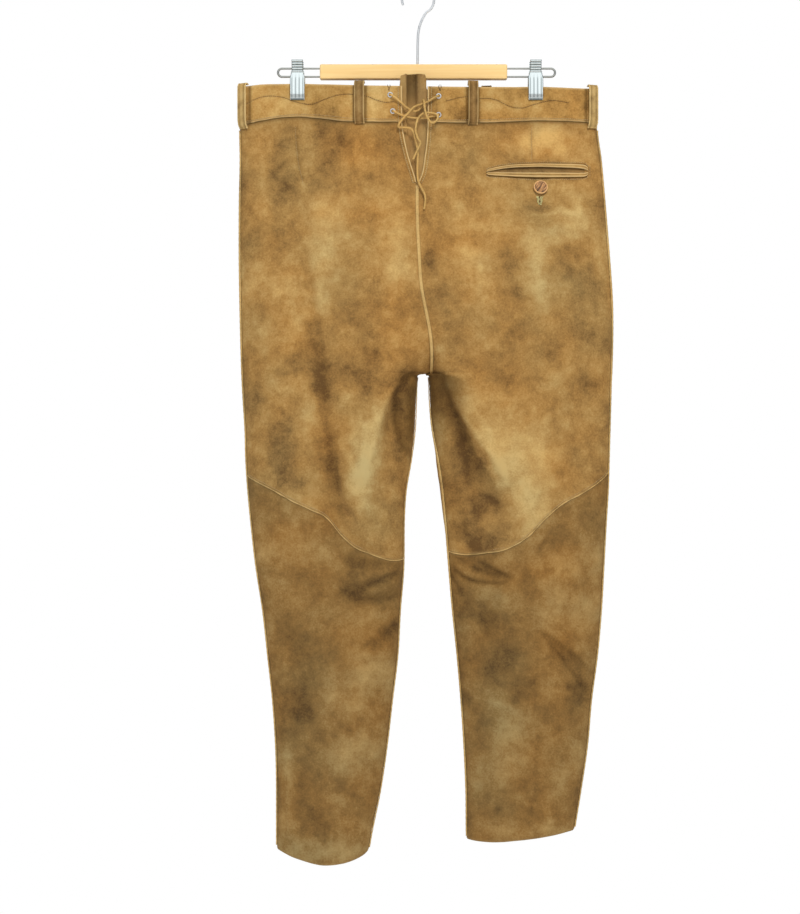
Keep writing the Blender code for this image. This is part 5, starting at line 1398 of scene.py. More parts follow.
CHROME_ROUGHNESS = 0.1
THREAD_COLOURS = {
    "Dark Thread": (0.16, 0.085, 0.035),
    "Pale Thread": (0.62, 0.47, 0.25),
    "Lemon Thread": (0.86, 0.78, 0.36),
}


def materials():
    """Every finish of the object, made once and found again by name."""
    if "Chrome" not in bpy.data.materials:
        leather = leather_settings()
        middles = {
            "Suede Upper": leather.upper_colour,
            "Suede Lower": leather.lower_colour,
            "Suede Band": leather.band_colour,
            "Thong": leather.thong_colour,
        }
        for name, finish in LEATHERS.items():
            middle = tuple(middles.get(name, finish.middle))
            leather_material(name, finish._replace(middle=middle))
        wood_material()
        metal_material("Chrome", tuple(hanger_settings().chrome_colour), CHROME_ROUGHNESS)
        for name, (colour, roughness) in WIRES.items():
            metal_material(name, colour, roughness)
        horn_material()
        for name, colour in THREAD_COLOURS.items():
            thread_material(name, colour)
    return bpy.data.materials


# ------------------------------------------------------------ meshes

# What a tube's first ring is turned to, and how much narrower its ends are
TUBE_START = (0.0, 1.0, 0.31)
TUBE_END = 0.8
# Angles in degrees above which an edge stays sharp, on walls and on solid pieces
WALL_SHARP = 60
SOLID_SHARP = 40
# Points across a strap's dome, and how full it is
DOME_STEPS = 7
DOME_POWER = 0.6


def link_object(name, data):
    item = bpy.data.objects.new(name, data)
    bpy.context.scene.collection.objects.link(item)
    return item


def new_piece(name, data, material, nodes=()):
    """A finished piece of the object, which stands for the given CAD nodes."""
    data.name = name
    data.materials.append(materials()[material])
    item = link_object(name, data)
    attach(item, "root")
    if nodes:
        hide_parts(*nodes)
    return item


def fine_piece(node, data, material):
    """The finished piece that stands for one CAD node."""
    return new_piece(f"fine_{node}", data, material, [node])


def smooth(mesh, angle):
    mesh.shade_smooth()
    mesh.set_sharp_from_angle(angle=math.radians(angle))
    return mesh


def set_values(mesh, **attributes):
    for name, values in attributes.items():
        made = mesh.attributes.new(name, "FLOAT", "POINT")
        made.data.foreach_set("value", np.asarray(values, np.float32).ravel())


def grid_faces(rows, columns, first=0):
    """Corners of the quads of a grid whose points are numbered row by row."""
    r, c = np.meshgrid(np.arange(rows - 1), np.arange(columns - 1), indexing="ij")
    corner = (first + r * columns + c).ravel()
    return np.column_stack([corner, corner + 1, corner + columns + 1, corner + columns])


def wall_mesh(outer, inner, **attributes):
    """A closed wall between two grids of points, with values for its finish."""
    rows, columns = outer.shape[:2]
    size = rows * columns
    number = np.arange(size).reshape(rows, columns)
    rim = np.concatenate([
        number[0], number[1:, -1], number[-1, -2::-1], number[-2:0:-1, 0],
    ])
    ahead = np.roll(rim, -1)
    faces = np.vstack([
        grid_faces(rows, columns),
        grid_faces(rows, columns, size)[:, ::-1],
        np.column_stack([rim, rim + size, ahead + size, ahead]),
    ])
    points = np.vstack([outer.reshape(-1, 3), inner.reshape(-1, 3)])
    middle = points[faces[size // 2 - columns // 2]]
    normal = np.cross(middle[1] - middle[0], middle[2] - middle[0])
    if np.dot(normal, (outer - inner).reshape(-1, 3)[size // 2]) < 0:
        faces = faces[:, ::-1]
    mesh = bpy.data.meshes.new("wall")
    mesh.from_pydata((points * MM).tolist(), [], faces.tolist())
    for name, values in attributes.items():
        set_values(mesh, **{name: np.tile(np.broadcast_to(values, outer.shape[:2]).ravel(), 2)})
    return smooth(mesh, WALL_SHARP)


def mesh_from(bm):
    bmesh.ops.recalc_face_normals(bm, faces=bm.faces)
    bmesh.ops.scale(bm, vec=(MM, MM, MM), verts=bm.verts)
    mesh = bpy.data.meshes.new("mesh")
    bm.to_mesh(mesh)
    bm.free()
    return smooth(mesh, SOLID_SHARP)


def turn_upright(bm, origin, axis):
    """Move a shape that was built upright at the world's origin to its place and axis."""
    turn = Vector(UP).rotation_difference(Vector(axis)).to_matrix().to_4x4()
    bmesh.ops.transform(bm, matrix=Matrix.Translation(Vector(origin)) @ turn, verts=bm.verts)


def join_rings(bm, outlines, closed=False):
    """Faces between rings of points; closed joins the last ring to the first."""
    rings = [[bm.verts.new(point) for point in ring] for ring in outlines]
    following = rings[1:] + rings[:1] if closed else rings[1:]
    for near, far in zip(rings, following):
        for k in range(len(near)):
            n = (k + 1) % len(near)
            bm.faces.new((near[k], near[n], far[n], far[k]))
    if not closed:
        bm.faces.new(rings[0])
        bm.faces.new(list(reversed(rings[-1])))


def sweep_mesh(outlines):
    """Rings of points, one after another along a path, joined into a closed skin."""
    bm = bmesh.new()
    join_rings(bm, outlines)
    return mesh_from(bm)


def strap_mesh(points, outs, asides, base, profile, widths=1.0):
    """A profile of (across, height) carried along a line on the leather."""
    base, widths = (np.broadcast_to(values, len(points)) for values in (base, widths))
    return sweep_mesh([
        [point + aside * across * width + out * (lift + height) for across, height in profile]
        for point, out, aside, lift, width in zip(points, outs, asides, base, widths)
    ])


def rounded_profile(width, thickness):
    """A flat underside with a domed top."""
    half = width / 2
    turns = np.linspace(0.0, math.pi, DOME_STEPS)[1:-1]
    dome = [(-half * math.cos(a), thickness * math.sin(a) ** DOME_POWER) for a in turns]
    return [(-half, 0.0), *dome, (half, 0.0)]


def turned_mesh(profile, sides, origin, axis, rim=None):
    """A profile of radius and height turned round an axis; rim gives each ring's edge value."""
    bm = bmesh.new()
    rings, values = [], []
    for k, (radius, height) in enumerate(profile):
        angles = turn_about(sides) if radius else [0.0]
        ring = [(radius * math.cos(a), radius * math.sin(a), height) for a in angles]
        rings.append([bm.verts.new(point) for point in ring])
        values += [rim[k] if rim else 0.0] * len(ring)
    for lower, upper in zip(rings, rings[1:]):
        for k in range(sides):
            n = (k + 1) % sides
            corners = [lower[k % len(lower)], lower[n % len(lower)]]
            corners += [upper[n % len(upper)], upper[k % len(upper)]]
            bm.faces.new(list(dict.fromkeys(corners)))
    turn_upright(bm, origin, axis)
    mesh = mesh_from(bm)
    set_values(mesh, edge=values)
    return mesh


def tube_mesh(points, radius, sides):
    """A round tube along a path, with slightly rounded ends."""
    points = np.asarray(points, float)
    along = unit(np.gradient(points, axis=0))
    aside = unit(np.cross(along[0], TUBE_START))
    rings = []
    for k, (point, way) in enumerate(zip(points, along)):
        aside = unit(aside - way * np.dot(aside, way))
        other = np.cross(way, aside)
        size = radius * (TUBE_END if k in (0, len(points) - 1) else 1.0)
        rings.append([
            point + aside * size * math.cos(a) + other * size * math.sin(a)
            for a in turn_about(sides)
        ])
    return sweep_mesh(rings)


# ------------------------------------------------------------ the garment

Finish = namedtuple("Finish", "material ripple edge")
FINISHES = {
    "upper": Finish("Suede Upper", 1.0, 0.5),
    "lower": Finish("Suede Lower", 1.0, 0.5),
    "band": Finish("Suede Band", 0.43, 0.75),
}
# How far the band's faces are drawn in at its edges, and how much its middle swells
BAND_PAD = 0.5
BAND_PUFF = 0.6
# Lengths, number and seed of the small waves in raw edges, gusset and loops
RAW_EDGE_WAVES = ((8.0, 40.0), 6, 51)
RAW_EDGE_STRETCH = 400.0
GUSSET_WAVES = ((8.0, 40.0), 12, 31)
LOOP_WAVES = ((6.0, 30.0), 8, 41)
LOOP_TONE = 0.3


def leather_lift(points, shares, face, ripple):
    """Fine height of a panel at its points, what its creases add, and how its edges roll."""
    places = places_of(points)
    away = edge_distance(points)
    creases = crease_lift(places) if face == "back" else np.zeros(places.shape[:-1])
    lift = ripple * waves(places, RIPPLE_LENGTHS, RIPPLE_COUNT, RIPPLE_SEEDS[face]) + creases
    wobble = waves(places, WOBBLE_LENGTHS, WOBBLE_COUNT, WOBBLE_SEEDS[face])
    phase = 2 * math.pi * places[..., 1] / PUCKER_PERIOD + 2 * wobble
    pucker = PUCKER_LIFT * np.exp(-away / PUCKER_FADE) * np.sin(phase)
    return lift * inside(shares) + pucker, creases, -EDGE_ROLL * bell(away, EDGE_ROLL_WIDTH)


def leather_shade(half, outer, places, face, finish):
    """Darkness of a piece: under its upper seam, in hollows and beside what is sewn on."""
    from_top = distance_along(outer, 0)
    shade = SEAM_SHADE[finish] * bell(from_top, SEAM_SHADE_WIDTH)
    if finish == "upper":
        shade = shade + BAND_SHADOW * bell(from_top, BAND_SHADOW_WIDTH)
    if face == "back":
        shade = np.maximum(np.maximum(shade, hollow_shade(places)), crotch_shade(places))
    if finish == "band":
        shade = np.maximum(shade, band_shade(half, places, face))
    return shade


def hang_leather(
    node, half, shares, drops, face, finish, notched, base=0.0, pad=0.0, puff=0.0,
):
    """A piece of leather cut from the skin, with its creases, tone and rolled edges."""
    grid = np.tile(np.asarray(shares, float), (len(drops), 1))
    if notched:
        for row, drop in zip(grid, drops[:, 0]):
            first = half.notch_share(drop)
            row[:] = first + (1 - first) * row

    def cut(out):
        points = half.at(grid, drops, out)
        half.ease_seams(shares, drops, points)
        return points

    look = FINISHES[finish]
    plain = cut(0.0)
    places = places_of(plain)
    ripple = look.ripple * leather_settings().ripple_height / MM
    lift, creases, roll = leather_lift(plain, grid, face, ripple)
    down = np.linspace(-1.0, 1.0, len(drops))[:, None]
    lift = lift + base + puff * (1 - down**4)
    wall = (BAND_WALL if finish == "band" else PANEL_WALL) - pad
    outer, inner = cut(lift + roll), cut(lift - wall)
    tone, warmth = stroke_tone(places, face)
    raised = half.look(half.raised[..., None], grid, drops)[..., 0]
    # The tone adds painted light on raised folds and creases and painted shade in sunken ones
    mesh = wall_mesh(
        outer, inner, tone=tone + CREASE_LIGHT_AND_SHADE * creases + FOLD_LIGHT_AND_SHADE * raised, warmth=warmth,
        edge=look.edge * bell(edge_distance(plain), EDGE_PALE_WIDTH),
        shade=leather_shade(half, outer, places, face, finish),
    )
    item = fine_piece(node, mesh, look.material)


def panel_drops(half, shares, cell):
    """Drops of a panel above the knee, a column for each share, from the band to the knee."""
    top = half.band("bottom", shares) + SEAM_GAP
    knee = half.knee(shares) - KNEE_GAP / 2
    above = stations(CROTCH - BAND_LOW, cell, end=CROTCH_STATIONS)[:, None]
    below = stations(KNEE_LOW - CROTCH, cell, start=CROTCH_STATIONS)[1:, None]
    return np.vstack([top + (CROTCH - top) * above, CROTCH + (knee - CROTCH) * below])


def calf_drops(half, shares, cell):
    knee = half.knee(shares) + KNEE_GAP / 2
    hem = HEM.read(half.word, shares)
    return knee + (hem - knee) * stations(HEM_LOW - KNEE_LOW, cell)[:, None]


def build_panels():
    """Front and back panels of both legs, above and below the knee."""
    for word, half in skins().items():
        for face, low, first in (("back", "back_calf", 0.0), ("front", "front_shin", 1.0)):
            cell = FINE_CELLS[face]
            shares = first + stations(PANEL_WIDTHS[face], cell)
            hang_leather(
                f"{face}_{word}", half, shares,
                panel_drops(half, shares, cell), face, "upper", notched=face == "back",
            )
            shares = first + stations(PANEL_WIDTHS[low], cell)
            hang_leather(
                f"{low}_{word}", half, shares,
                calf_drops(half, shares, cell), face, "lower", notched=False,
            )


def build_waistband():
    """The four pieces of the waistband, slightly padded by their folded edges."""
    for word, half in skins().items():
        for face, first in (("back", 0.0), ("front", 1.0)):
            shares = first + stations(PANEL_WIDTHS[face], BAND_CELL)
            top, bottom = (half.band(edge, shares) for edge in ("top", "bottom"))
            drops = top + (bottom - top) * stations(BAND_HEIGHT, BAND_ROW)[:, None]
            hang_leather(
                f"waistband_{face}_{word}", half, shares, drops,
                face, "band", notched=face == "back",
                base=BAND_PROUD - BAND_PAD, pad=BAND_PAD, puff=BAND_PUFF,
            )


def build_welts():
    """Pale welts in the side seams, inseams and centre back, and the raw edge above the knee."""
    profile = rounded_profile(WELT_WIDTH, WELT_THICKNESS)
    for word, half in skins().items():
        shares = np.linspace(*KNEE_EDGE_SHARES)
        drops = half.knee(shares) + KNEE_EDGE_BELOW
        points, outs, _, _ = half.frame(shares, drops)
        asides = unit(np.cross(outs, unit(np.gradient(points, axis=0))))
        places = np.column_stack([shares * RAW_EDGE_STRETCH, drops])
        widths = KNEE_EDGE_WIDTH * (1 + KNEE_EDGE_UNEVENNESS * waves(places, *RAW_EDGE_WAVES))
        edge = rounded_profile(1.0, KNEE_EDGE_HEIGHT)
        mesh = strap_mesh(points, outs, asides, KNEE_EDGE_BASE, edge, widths)
        new_piece(f"knee_edge_{word}", mesh, "Pale Leather")
        below_crotch = CROTCH + WELT_CROTCH_GAP
        for name, share, top in (("side", 1.0, WELT_TOP), ("inseam", 0.0, below_crotch)):
            drops = np.arange(top, float(HEM.read(word, share)) - WELT_END, SEAM_STEP)
            points, outs, asides, _ = half.frame(np.full(len(drops), share), drops)
            base = ON_CLOTH + WELT_PUCKER * np.sin(2 * math.pi * drops / PUCKER_PERIOD)
            mesh = strap_mesh(points, outs, asides, base, profile)
            fine_piece(f"{name}_welt_{word}", mesh, "Pale Leather")
    drops = np.arange(CENTRE_WELT_TOP, CROTCH - CENTRE_WELT_END, SEAM_STEP)
    first, second = (half.frame(0.0, drops) for half in skins().values())
    outs = unit(first[1] + second[1])
    base = np.interp(drops, CENTRE_WELT_RISE, (ON_CLOTH, CENTRE_WELT_LIFT))
    mesh = strap_mesh((first[0] + second[0]) / 2, outs, unit(np.cross(outs, UP)), base, profile)
    fine_piece("centre_back_welt", mesh, "Pale Leather")


STRIP_ACROSS = np.array((0.0, 0.06, 0.16, 0.28, 0.36, 0.44, 0.7, 0.82, 0.9, 1.0))
STRIP_HEIGHTS = np.array((0.3, 0.8, 1.0, 0.9, 0.6, 0.5, 0.55, 0.4, 0.45, 0.25))
STRIP_PALE = (0.8, 1.0, 1.0, 0.8, 0.1, 0.0, 0.0, 0.0, 0.5, 0.3)
STRIP_SHADE = (0.2, 0.0, 0.0, 0.1, 0.5, 0.15, 0.1, 0.45, 0.1, 0.3)


def strip_base(drops):
    """Height above the leather of the turned strips, which step down off the band."""
    return np.interp(drops, EDGE_STEP_DOWN, (BAND_PROUD + ON_CLOTH, ON_CLOTH))


def build_notch_edges():
    """Turned strips along both sides of the laced notch."""
    for word, half in skins().items():
        drops = np.arange(*EDGE_DROPS, EDGE_STEP)
        shares = []
        for x, drop in zip(NOTCH_EDGES.read(word, drops), drops):
            near = half.share_of(x, drop)
            far = half.share_of(x + half.side * EDGE_WIDTH, drop)
            shares.append(near + EDGE_SHARE_GAP + (far - near - EDGE_SHARE_GAP) * STRIP_ACROSS)
        shares, base = np.array(shares), strip_base(drops)[:, None]
        outer = half.at(shares, drops[:, None], base + EDGE_THICKNESS * STRIP_HEIGHTS)
        inner = half.at(shares, drops[:, None], base)
        mesh = wall_mesh(outer, inner, edge=STRIP_PALE, shade=STRIP_SHADE)
        fine_piece(f"notch_edge_{word}", mesh, "Suede Band")


# Places across the gusset and how light they are; and the painted shade on the pleat's walls
GUSSET_TONE = ((0.0, 0.28, 0.55, 0.7, 1.0), (0.3, 0.1, 0.0, 0.2, 0.4))
GUSSET_PLEAT_SHADE = ((0.0, 0.24, 0.3, 0.42, 0.52, 0.6, 1.0), (0.0, 0.05, 0.8, 0.6, 0.75, 0.1, 0.0))
# How much lighter it gets on the way down, and by where
GUSSET_LIGHTER = (0.4, 0.5)
# Where down the pleat the painted shade starts to fade, and over how much
GUSSET_FADE = (0.12, 0.25)
GUSSET_SIDE_SHADE = 0.35
GUSSET_SIDE_WIDTH = 0.06


def build_gusset():
    """The pleated tongue behind the notch."""
    left = skins()["left"]
    fall, across = (np.linspace(0.0, 1.0, count) for count in GUSSET_CELLS)
    recess = GUSSET_PLEAT.read("recess", across)
    top = np.interp(across, GUSSET_PLEAT.column("across"), GUSSET_PLEAT.column("top"))
    outer = []
    for step in fall:
        drops = GUSSET_TOP + top + (GUSSET_BOTTOM - GUSSET_TOP - top) * step
        middle = float(np.mean(drops))
        start = float(NOTCH_EDGES.read("left", middle)) - GUSSET_TUCK
        end = float(NOTCH_EDGES.read("right", middle)) + GUSSET_TUCK
        face = left.at(0.0, middle)[1] + GUSSET_BEHIND
        depth = GUSSET_DEPTH * (1 - step) ** GUSSET_TAPER * np.clip(recess, 0, 1)
        outer.append(np.column_stack([start + (end - start) * across, face + depth, -drops]))
    outer = np.array(outer)
    outer[..., 1] += GUSSET_RIPPLE * waves(places_of(outer), *GUSSET_WAVES)
    out = unit(np.cross(np.gradient(outer, axis=0), np.gradient(outer, axis=1)))
    fall = fall[:, None]
    lighter, by = GUSSET_LIGHTER
    tone = np.interp(across, *GUSSET_TONE) + lighter * ease(fall / by)
    sides = GUSSET_SIDE_SHADE * bell(np.minimum(across, 1 - across), GUSSET_SIDE_WIDTH)
    start, run = GUSSET_FADE
    # Painted shade on the pleat's walls, fading down the pleat
    pleat = np.interp(across, *GUSSET_PLEAT_SHADE) * (1 - ease((fall - start) / run))
    mesh = wall_mesh(outer, outer - out * GUSSET_WALL, tone=tone, shade=np.maximum(pleat, sides))
    item = fine_piece("lacing_gusset", mesh, "Dark Leather")


# Across a belt loop: its places, how thick it is there, how pale and how shaded
LOOP_ACROSS = (-1.0, -0.96, -0.84, -0.76, -0.68, 0.0, 0.68, 0.76, 0.84, 0.96, 1.0)
LOOP_DOME = (0.35, 0.85, 1.1, 1.0, 0.72, 0.85, 0.72, 1.0, 1.1, 0.85, 0.35)
LOOP_PALE = (0.6, 0.7, 0.6, 0.2, 0.0, 0.0, 0.0, 0.2, 0.4, 0.5, 0.5)
LOOP_DARK = (0.3, 0.0, 0.0, 0.2, 0.55, 0.1, 0.55, 0.2, 0.0, 0.1, 0.4)


def loop_path(half, loop, share):
    """Side view of a belt loop as outward distance and drop from its frame."""
    behind = np.array((share - LOOP_HALF_SHARE, share, share + LOOP_HALF_SHARE))
    top = np.min(half.band("top", behind)) - LOOP_MIDDLE
    foot = np.max(half.band("bottom", behind)) - LOOP_MIDDLE + loop.foot
    edges = {"top": top, "arch": top - loop.rise, "foot": foot}
    origin, out, _, _ = half.frame(share, LOOP_MIDDLE)
    skin = half.at(share, LOOP_MIDDLE + foot - LOOP_FOOT_TAB / 2)
    foot_out = LOOP_TAB + float(np.dot(skin - origin, out))
    path = [(point.outward, edges[point.edge] + point.below) for point in LOOP_PROFILE]
    path += [(foot_out, foot - LOOP_FOOT_TAB), (foot_out, foot)]
    return even(smooth_path(path, 6), LOOP_STEPS)


def build_belt_loops():
    """Six straps over the band, with rounded edges and one raw pale edge."""
    for name, loop in LOOPS.items():
        half = skins()["left" if loop.side == LEFT else "right"]
        share = half.share_of(loop.x, LOOP_MIDDLE, loop.front)
        origin, out, aside, down = half.frame(share, LOOP_MIDDLE)
        path = loop_path(half, loop, share)
        along = unit(np.gradient(path, axis=0))
        normal = np.column_stack([-along[:, 1], along[:, 0]])[:, None]
        sideways = aside * np.array(LOOP_ACROSS)[:, None] * LOOP_WIDTH / 2
        grids = []
        for way in (1.0, -1.0):
            flat = path[:, None] + normal * way * LOOP_THICKNESS / 2 * np.array(LOOP_DOME)[:, None]
            grids.append(origin + out * flat[..., :1] + down * flat[..., 1:] + sideways)
        if np.dot(grids[0][20, 5] - grids[1][20, 5], out) < 0:
            grids.reverse()
        outer, inner = grids
        tone = LOOP_TONE * waves(outer[..., ::2], *LOOP_WAVES)
        mesh = wall_mesh(outer, inner, tone=tone, edge=LOOP_PALE, shade=LOOP_DARK)
        leather = "Pale Leather" if name.startswith("side") else "Loop Leather"
        fine_piece(f"belt_loop_{name}", mesh, leather)


# Down a jet from the pocket's rim: its places, height, paleness and shade
JET_STEPS = (0.0, 0.06, 0.16, 0.24, 0.36, 0.5, 0.68, 0.8, 0.93, 1.0)
JET_DOME = (0.1, 0.5, 0.8, 1.05, 1.05, 0.85, 0.85, 1.05, 0.95, 0.2)
JET_PALE = (0.0, 0.0, 0.3, 1.0, 0.8, 0.1, 0.1, 0.8, 1.0, 0.6)
JET_DARK = (1.0, 0.9, 0.5, 0.0, 0.0, 0.2, 0.15, 0.0, 0.0, 0.4)
# Down the facing: its places and shade; it stops short of both ends of the slit
FACING_SHADE = ((0.0, 0.22, 0.5, 1.0), (1.0, 1.0, 0.5, 0.15))
FACING_KEPT = slice(4, -4)
FACING_STEPS = 6


def pocket_line(name, across):
    """Drop of one of the pocket's lines below its middle, at places along it."""
    curve = smooth_path(POCKET_OUTLINE.rows)
    return np.interp(across, curve[:, 0], curve[:, POCKET_OUTLINE.columns.index(name)])


def pocket_place(across, below, out):
    """Points over the pocket, from places along it and below its middle."""
    return skins()["right"].over(POCKET_X + POCKET_HALF * across, POCKET_DROP + below, out)


def build_pocket():
    """Jets and facing of the hip pocket."""
    across = np.linspace(-1.0, 1.0, POCKET_CELLS)
    upper, slit_top, slit_bottom, lower = (
        pocket_line(name, across) for name in POCKET_OUTLINE.columns[1:]
    )
    steps, dome, pale, dark = (
        np.array(values)[:, None] for values in (JET_STEPS, JET_DOME, JET_PALE, JET_DARK)
    )
    for node, first, last, places in (
        ("pocket_jet_upper", upper, slit_top - SLIT_GAP, steps),
        ("pocket_jet_lower", slit_bottom + SLIT_GAP, lower, 1 - steps),
    ):
        below = first + (last - first) * places
        outer = pocket_place(across, below, POCKET_STAND + JET_THICKNESS * dome)
        inner = pocket_place(across, below, POCKET_STAND)
        tone, warmth = stroke_tone(places_of(outer), "back")
        mesh = wall_mesh(outer, inner, tone=tone, edge=pale, warmth=warmth, shade=dark)
        fine_piece(node, mesh, "Suede Band")
    across = across[FACING_KEPT]
    steps = np.linspace(0.0, 1.0, FACING_STEPS)[:, None]
    below = (slit_top + (slit_bottom - slit_top) * steps)[:, FACING_KEPT]
    outer = pocket_place(across, below, POCKET_STAND + FACING_THICKNESS)
    inner = pocket_place(across, below, POCKET_STAND)
    mesh = wall_mesh(outer, inner, shade=np.interp(steps, *FACING_SHADE))
    fine_piece("pocket_facing", mesh, "Dark Leather")


PROFILE_STEPS = (0.15, 0.5, 0.85, 1.0)


def smooth_profile(profile):
    """Extra points between the corners of a turned profile."""
    profile = np.array(profile)
    rows = [profile[0]]
    for near, far in zip(profile, profile[1:]):
        rows += [near + (far - near) * step for step in PROFILE_STEPS]
    return np.array(rows)


def build_buttons():
    """Turned horn buttons with a raised rim."""
    half = skins()["right"]
    profile = smooth_profile(BUTTON_PROFILE)
    rim = [float(r > RIM_START and h > SHANK_HEIGHT) for r, h in profile]
    for name, button in BUTTONS.items():
        share = half.share_of(button.x, button.drop, button.front)
        origin, out, _, _ = half.frame(share, button.drop)
        mesh = turned_mesh(profile, BUTTON_SIDES, origin + out * button.stand, out, rim)
        fine_piece(name, mesh, "Horn")


EYELET_TARNISH = 0.1


def build_eyelets():
    """Small metal rings on the band."""
    around, round_wire = (turn_about(sides) for sides in EYELET_SIDES)
    for name, (word, x, drop) in EYELETS.items():
        half = skins()[word]
        origin, out, _, _ = half.frame(half.share_of(x, drop), drop)
        rings = []
        for turn in around:
            ring = []
            for roll in round_wire:
                radius = EYELET_INNER + EYELET_RING * (1 + math.cos(roll))
                height = EYELET_RING * EYELET_FLATNESS * (1 + math.sin(roll))
                ring.append((radius * math.cos(turn), radius * math.sin(turn), height))
            rings.append(ring)
        bm = bmesh.new()
        join_rings(bm, rings, closed=True)
        turn_upright(bm, origin + out * (BAND_PROUD + ON_CLOTH), out)
        mesh = mesh_from(bm)
        set_values(mesh, shade=np.full(len(mesh.vertices), EYELET_TARNISH))
        fine_piece(name, mesh, "Bright Wire")


def build_laces():
    """Round leather thongs: one straight across, two with free ends."""
    for name, fact in LACE_FACTS.items():
        x, drop, height = np.array(LACES[name]).T
        places = np.column_stack([x, -LACE_FACE - BAND_PROUD - height, -drop])
        path = smooth_path(places * MM)
        curve = bpy.data.curves.new("lace", "CURVE")
        curve.dimensions = "3D"
        curve.bevel_depth = LACE_DIAMETER / 2 * MM
        curve.bevel_resolution = 3
        curve.use_fill_caps = True
        spline = curve.splines.new("POLY")
        spline.points.add(len(path) - 1)
        for point, place in zip(spline.points, path):
            point.co = (*place, 1.0)
        item = fine_piece(name, curve, "Thong")


# ------------------------------------------------------------ the hanger

PLATE_ROUNDING = 0.9
PLATE_ROUND_FROM = 0.86
# Shade between the ribs: its reach, and how dark it is at the sides and the middle
GROOVE_REACH = 1.25
GROOVE_SHADE = (0.7, 0.3)
GROOVE_MIDDLE = 0.12
FLUTE_SHADE = 0.55
LIP_SHADE = 0.85
LIP_HALF = 0.88


def build_bar():
    """The wooden bar, with rounded edges."""
    bm = bmesh.new()
    bmesh.ops.create_cube(bm, size=1.0)
    start, end = BAR_ENDS.values()
    bmesh.ops.scale(bm, vec=(end - start, BAR_DEPTH, BAR_HEIGHT), verts=bm.verts)
    middle = ((start + end) / 2, 0.0, -BAR_TOP - BAR_HEIGHT / 2)
    bmesh.ops.translate(bm, vec=middle, verts=bm.verts)
    bmesh.ops.bevel(
        bm, geom=bm.edges[:], offset=BAR_ROUNDING, segments=6, profile=0.5, affect="EDGES",
    )
    fine_piece("hanger_bar", mesh_from(bm), "Pine")


def build_wires():
    """The sprung wires that carry the clips."""
    upper, lower = WIRE_DROPS
    radius = (lower - upper) / 2
    for word, side in SIDES.items():
        start = BAR_ENDS[word] + side * WIRE_GAP
        centre = WIRE_BENDS[word] - side * radius
        points = [(start, 0.0, -upper)]
        for angle in np.linspace(0.0, math.pi, WIRE_BEND_STEPS):
            x = centre + side * radius * math.sin(angle)
            points.append((x, 0.0, -(upper + lower) / 2 + radius * math.cos(angle)))
        points.append((start, 0.0, -lower))
        mesh = tube_mesh(points, WIRE_DIAMETER / 2, WIRE_SIDES)
        fine_piece(f"hanger_wire_{word}", mesh, "Steel Wire")


def build_hook():
    """The hook, which hangs from a rail at the origin."""
    radius = HOOK_INSIDE + HOOK_DIAMETER / 2
    points = [(x, 0.0, -drop) for x, drop in HOOK_STEM]
    for angle in map(math.radians, HOOK_ANGLES):
        points.append((radius * math.cos(angle), 0.0, -HOOK_INSIDE + radius * math.sin(angle)))
    path = even(smooth_path(points), HOOK_STEPS)
    mesh = tube_mesh(path, HOOK_DIAMETER / 2, HOOK_SIDES)
    fine_piece("hanger_hook", mesh, "Bright Wire")


def clip_outline():
    """The plate's outer face in profile: ribs on the grip, then the curved jaw."""
    t = np.linspace(0.0, 1.0, CLIP_RIBS * RIB_STEPS + 1)
    out = GRIP_OUT[0] + (GRIP_OUT[1] - GRIP_OUT[0]) * t
    out = out + RIB_HEIGHT * np.abs(np.sin(np.pi * CLIP_RIBS * t)) ** RIB_ROUNDNESS
    drop = GRIP_TOP + (GRIP_BOTTOM - GRIP_TOP) * t
    return np.vstack([np.column_stack([out, drop]), smooth_path(JAW_PROFILE, 8)])


def plate_shade(across, drop, in_jaw, flute):
    """Grime and painted shade between the ribs and in the flutes, and painted shade on the plate's
    lip.
    """
    down = (drop - GRIP_TOP) / (GRIP_BOTTOM - GRIP_TOP)
    rib = np.abs(np.sin(np.pi * CLIP_RIBS * down))
    middle = np.clip(1 - np.abs(across) / GROOVE_MIDDLE, 0, 1)
    aside, more = GROOVE_SHADE
    grooves = (drop < GRIP_BOTTOM) * (1 - ease(rib / GROOVE_REACH)) * (aside + more * middle)
    lines = FLUTE_SHADE * in_jaw * (1 - ease((1 + flute) * 2))
    lip = LIP_SHADE * ease(drop - JAW_END + JAW_LIP) * (np.abs(across) < LIP_HALF)
    return np.maximum(np.maximum(grooves, lines), lip)


def build_clips():
    """Ribbed grips and fluted jaws that pinch the waistband, and the hub between them."""
    out, drop = np.split(clip_outline(), 2, axis=1)
    across = np.linspace(-1.0, 1.0, PLATE_COLUMNS)
    widths = np.interp(drop, (GRIP_BOTTOM - 2, GRIP_BOTTOM + 6), (GRIP_HALF, JAW_HALF))
    in_jaw = ease((drop - GRIP_BOTTOM - 3) / 6) * ease((JAW_END - drop) / 4)
    flute = (np.cos(math.pi * JAW_FLUTES * across) - 1) / 2
    outside = np.clip((np.abs(across) - PLATE_ROUND_FROM) / (1 - PLATE_ROUND_FROM), 0, 1)
    wall = np.full(drop.shape, CLIP_WALL)
    wall[-1] = JAW_TIP_WALL
    depth = hanger_settings().flute_depth / MM
    faces = (out + in_jaw * depth * flute - PLATE_ROUNDING * outside**2, out - wall)
    shade = plate_shade(across, drop, in_jaw, flute)
    for word, x in CLIP_X.items():
        for name, facing in (("back", -1.0), ("front", 1.0)):
            outer, inner = (
                np.stack(np.broadcast_arrays(x + widths * across, facing * face, -drop), axis=-1)
                for face in faces
            )
            mesh = wall_mesh(outer, inner, shade=shade)
            fine_piece(f"clip_{word}_{name}_plate", mesh, "Chrome")
        build_hub(word, x)


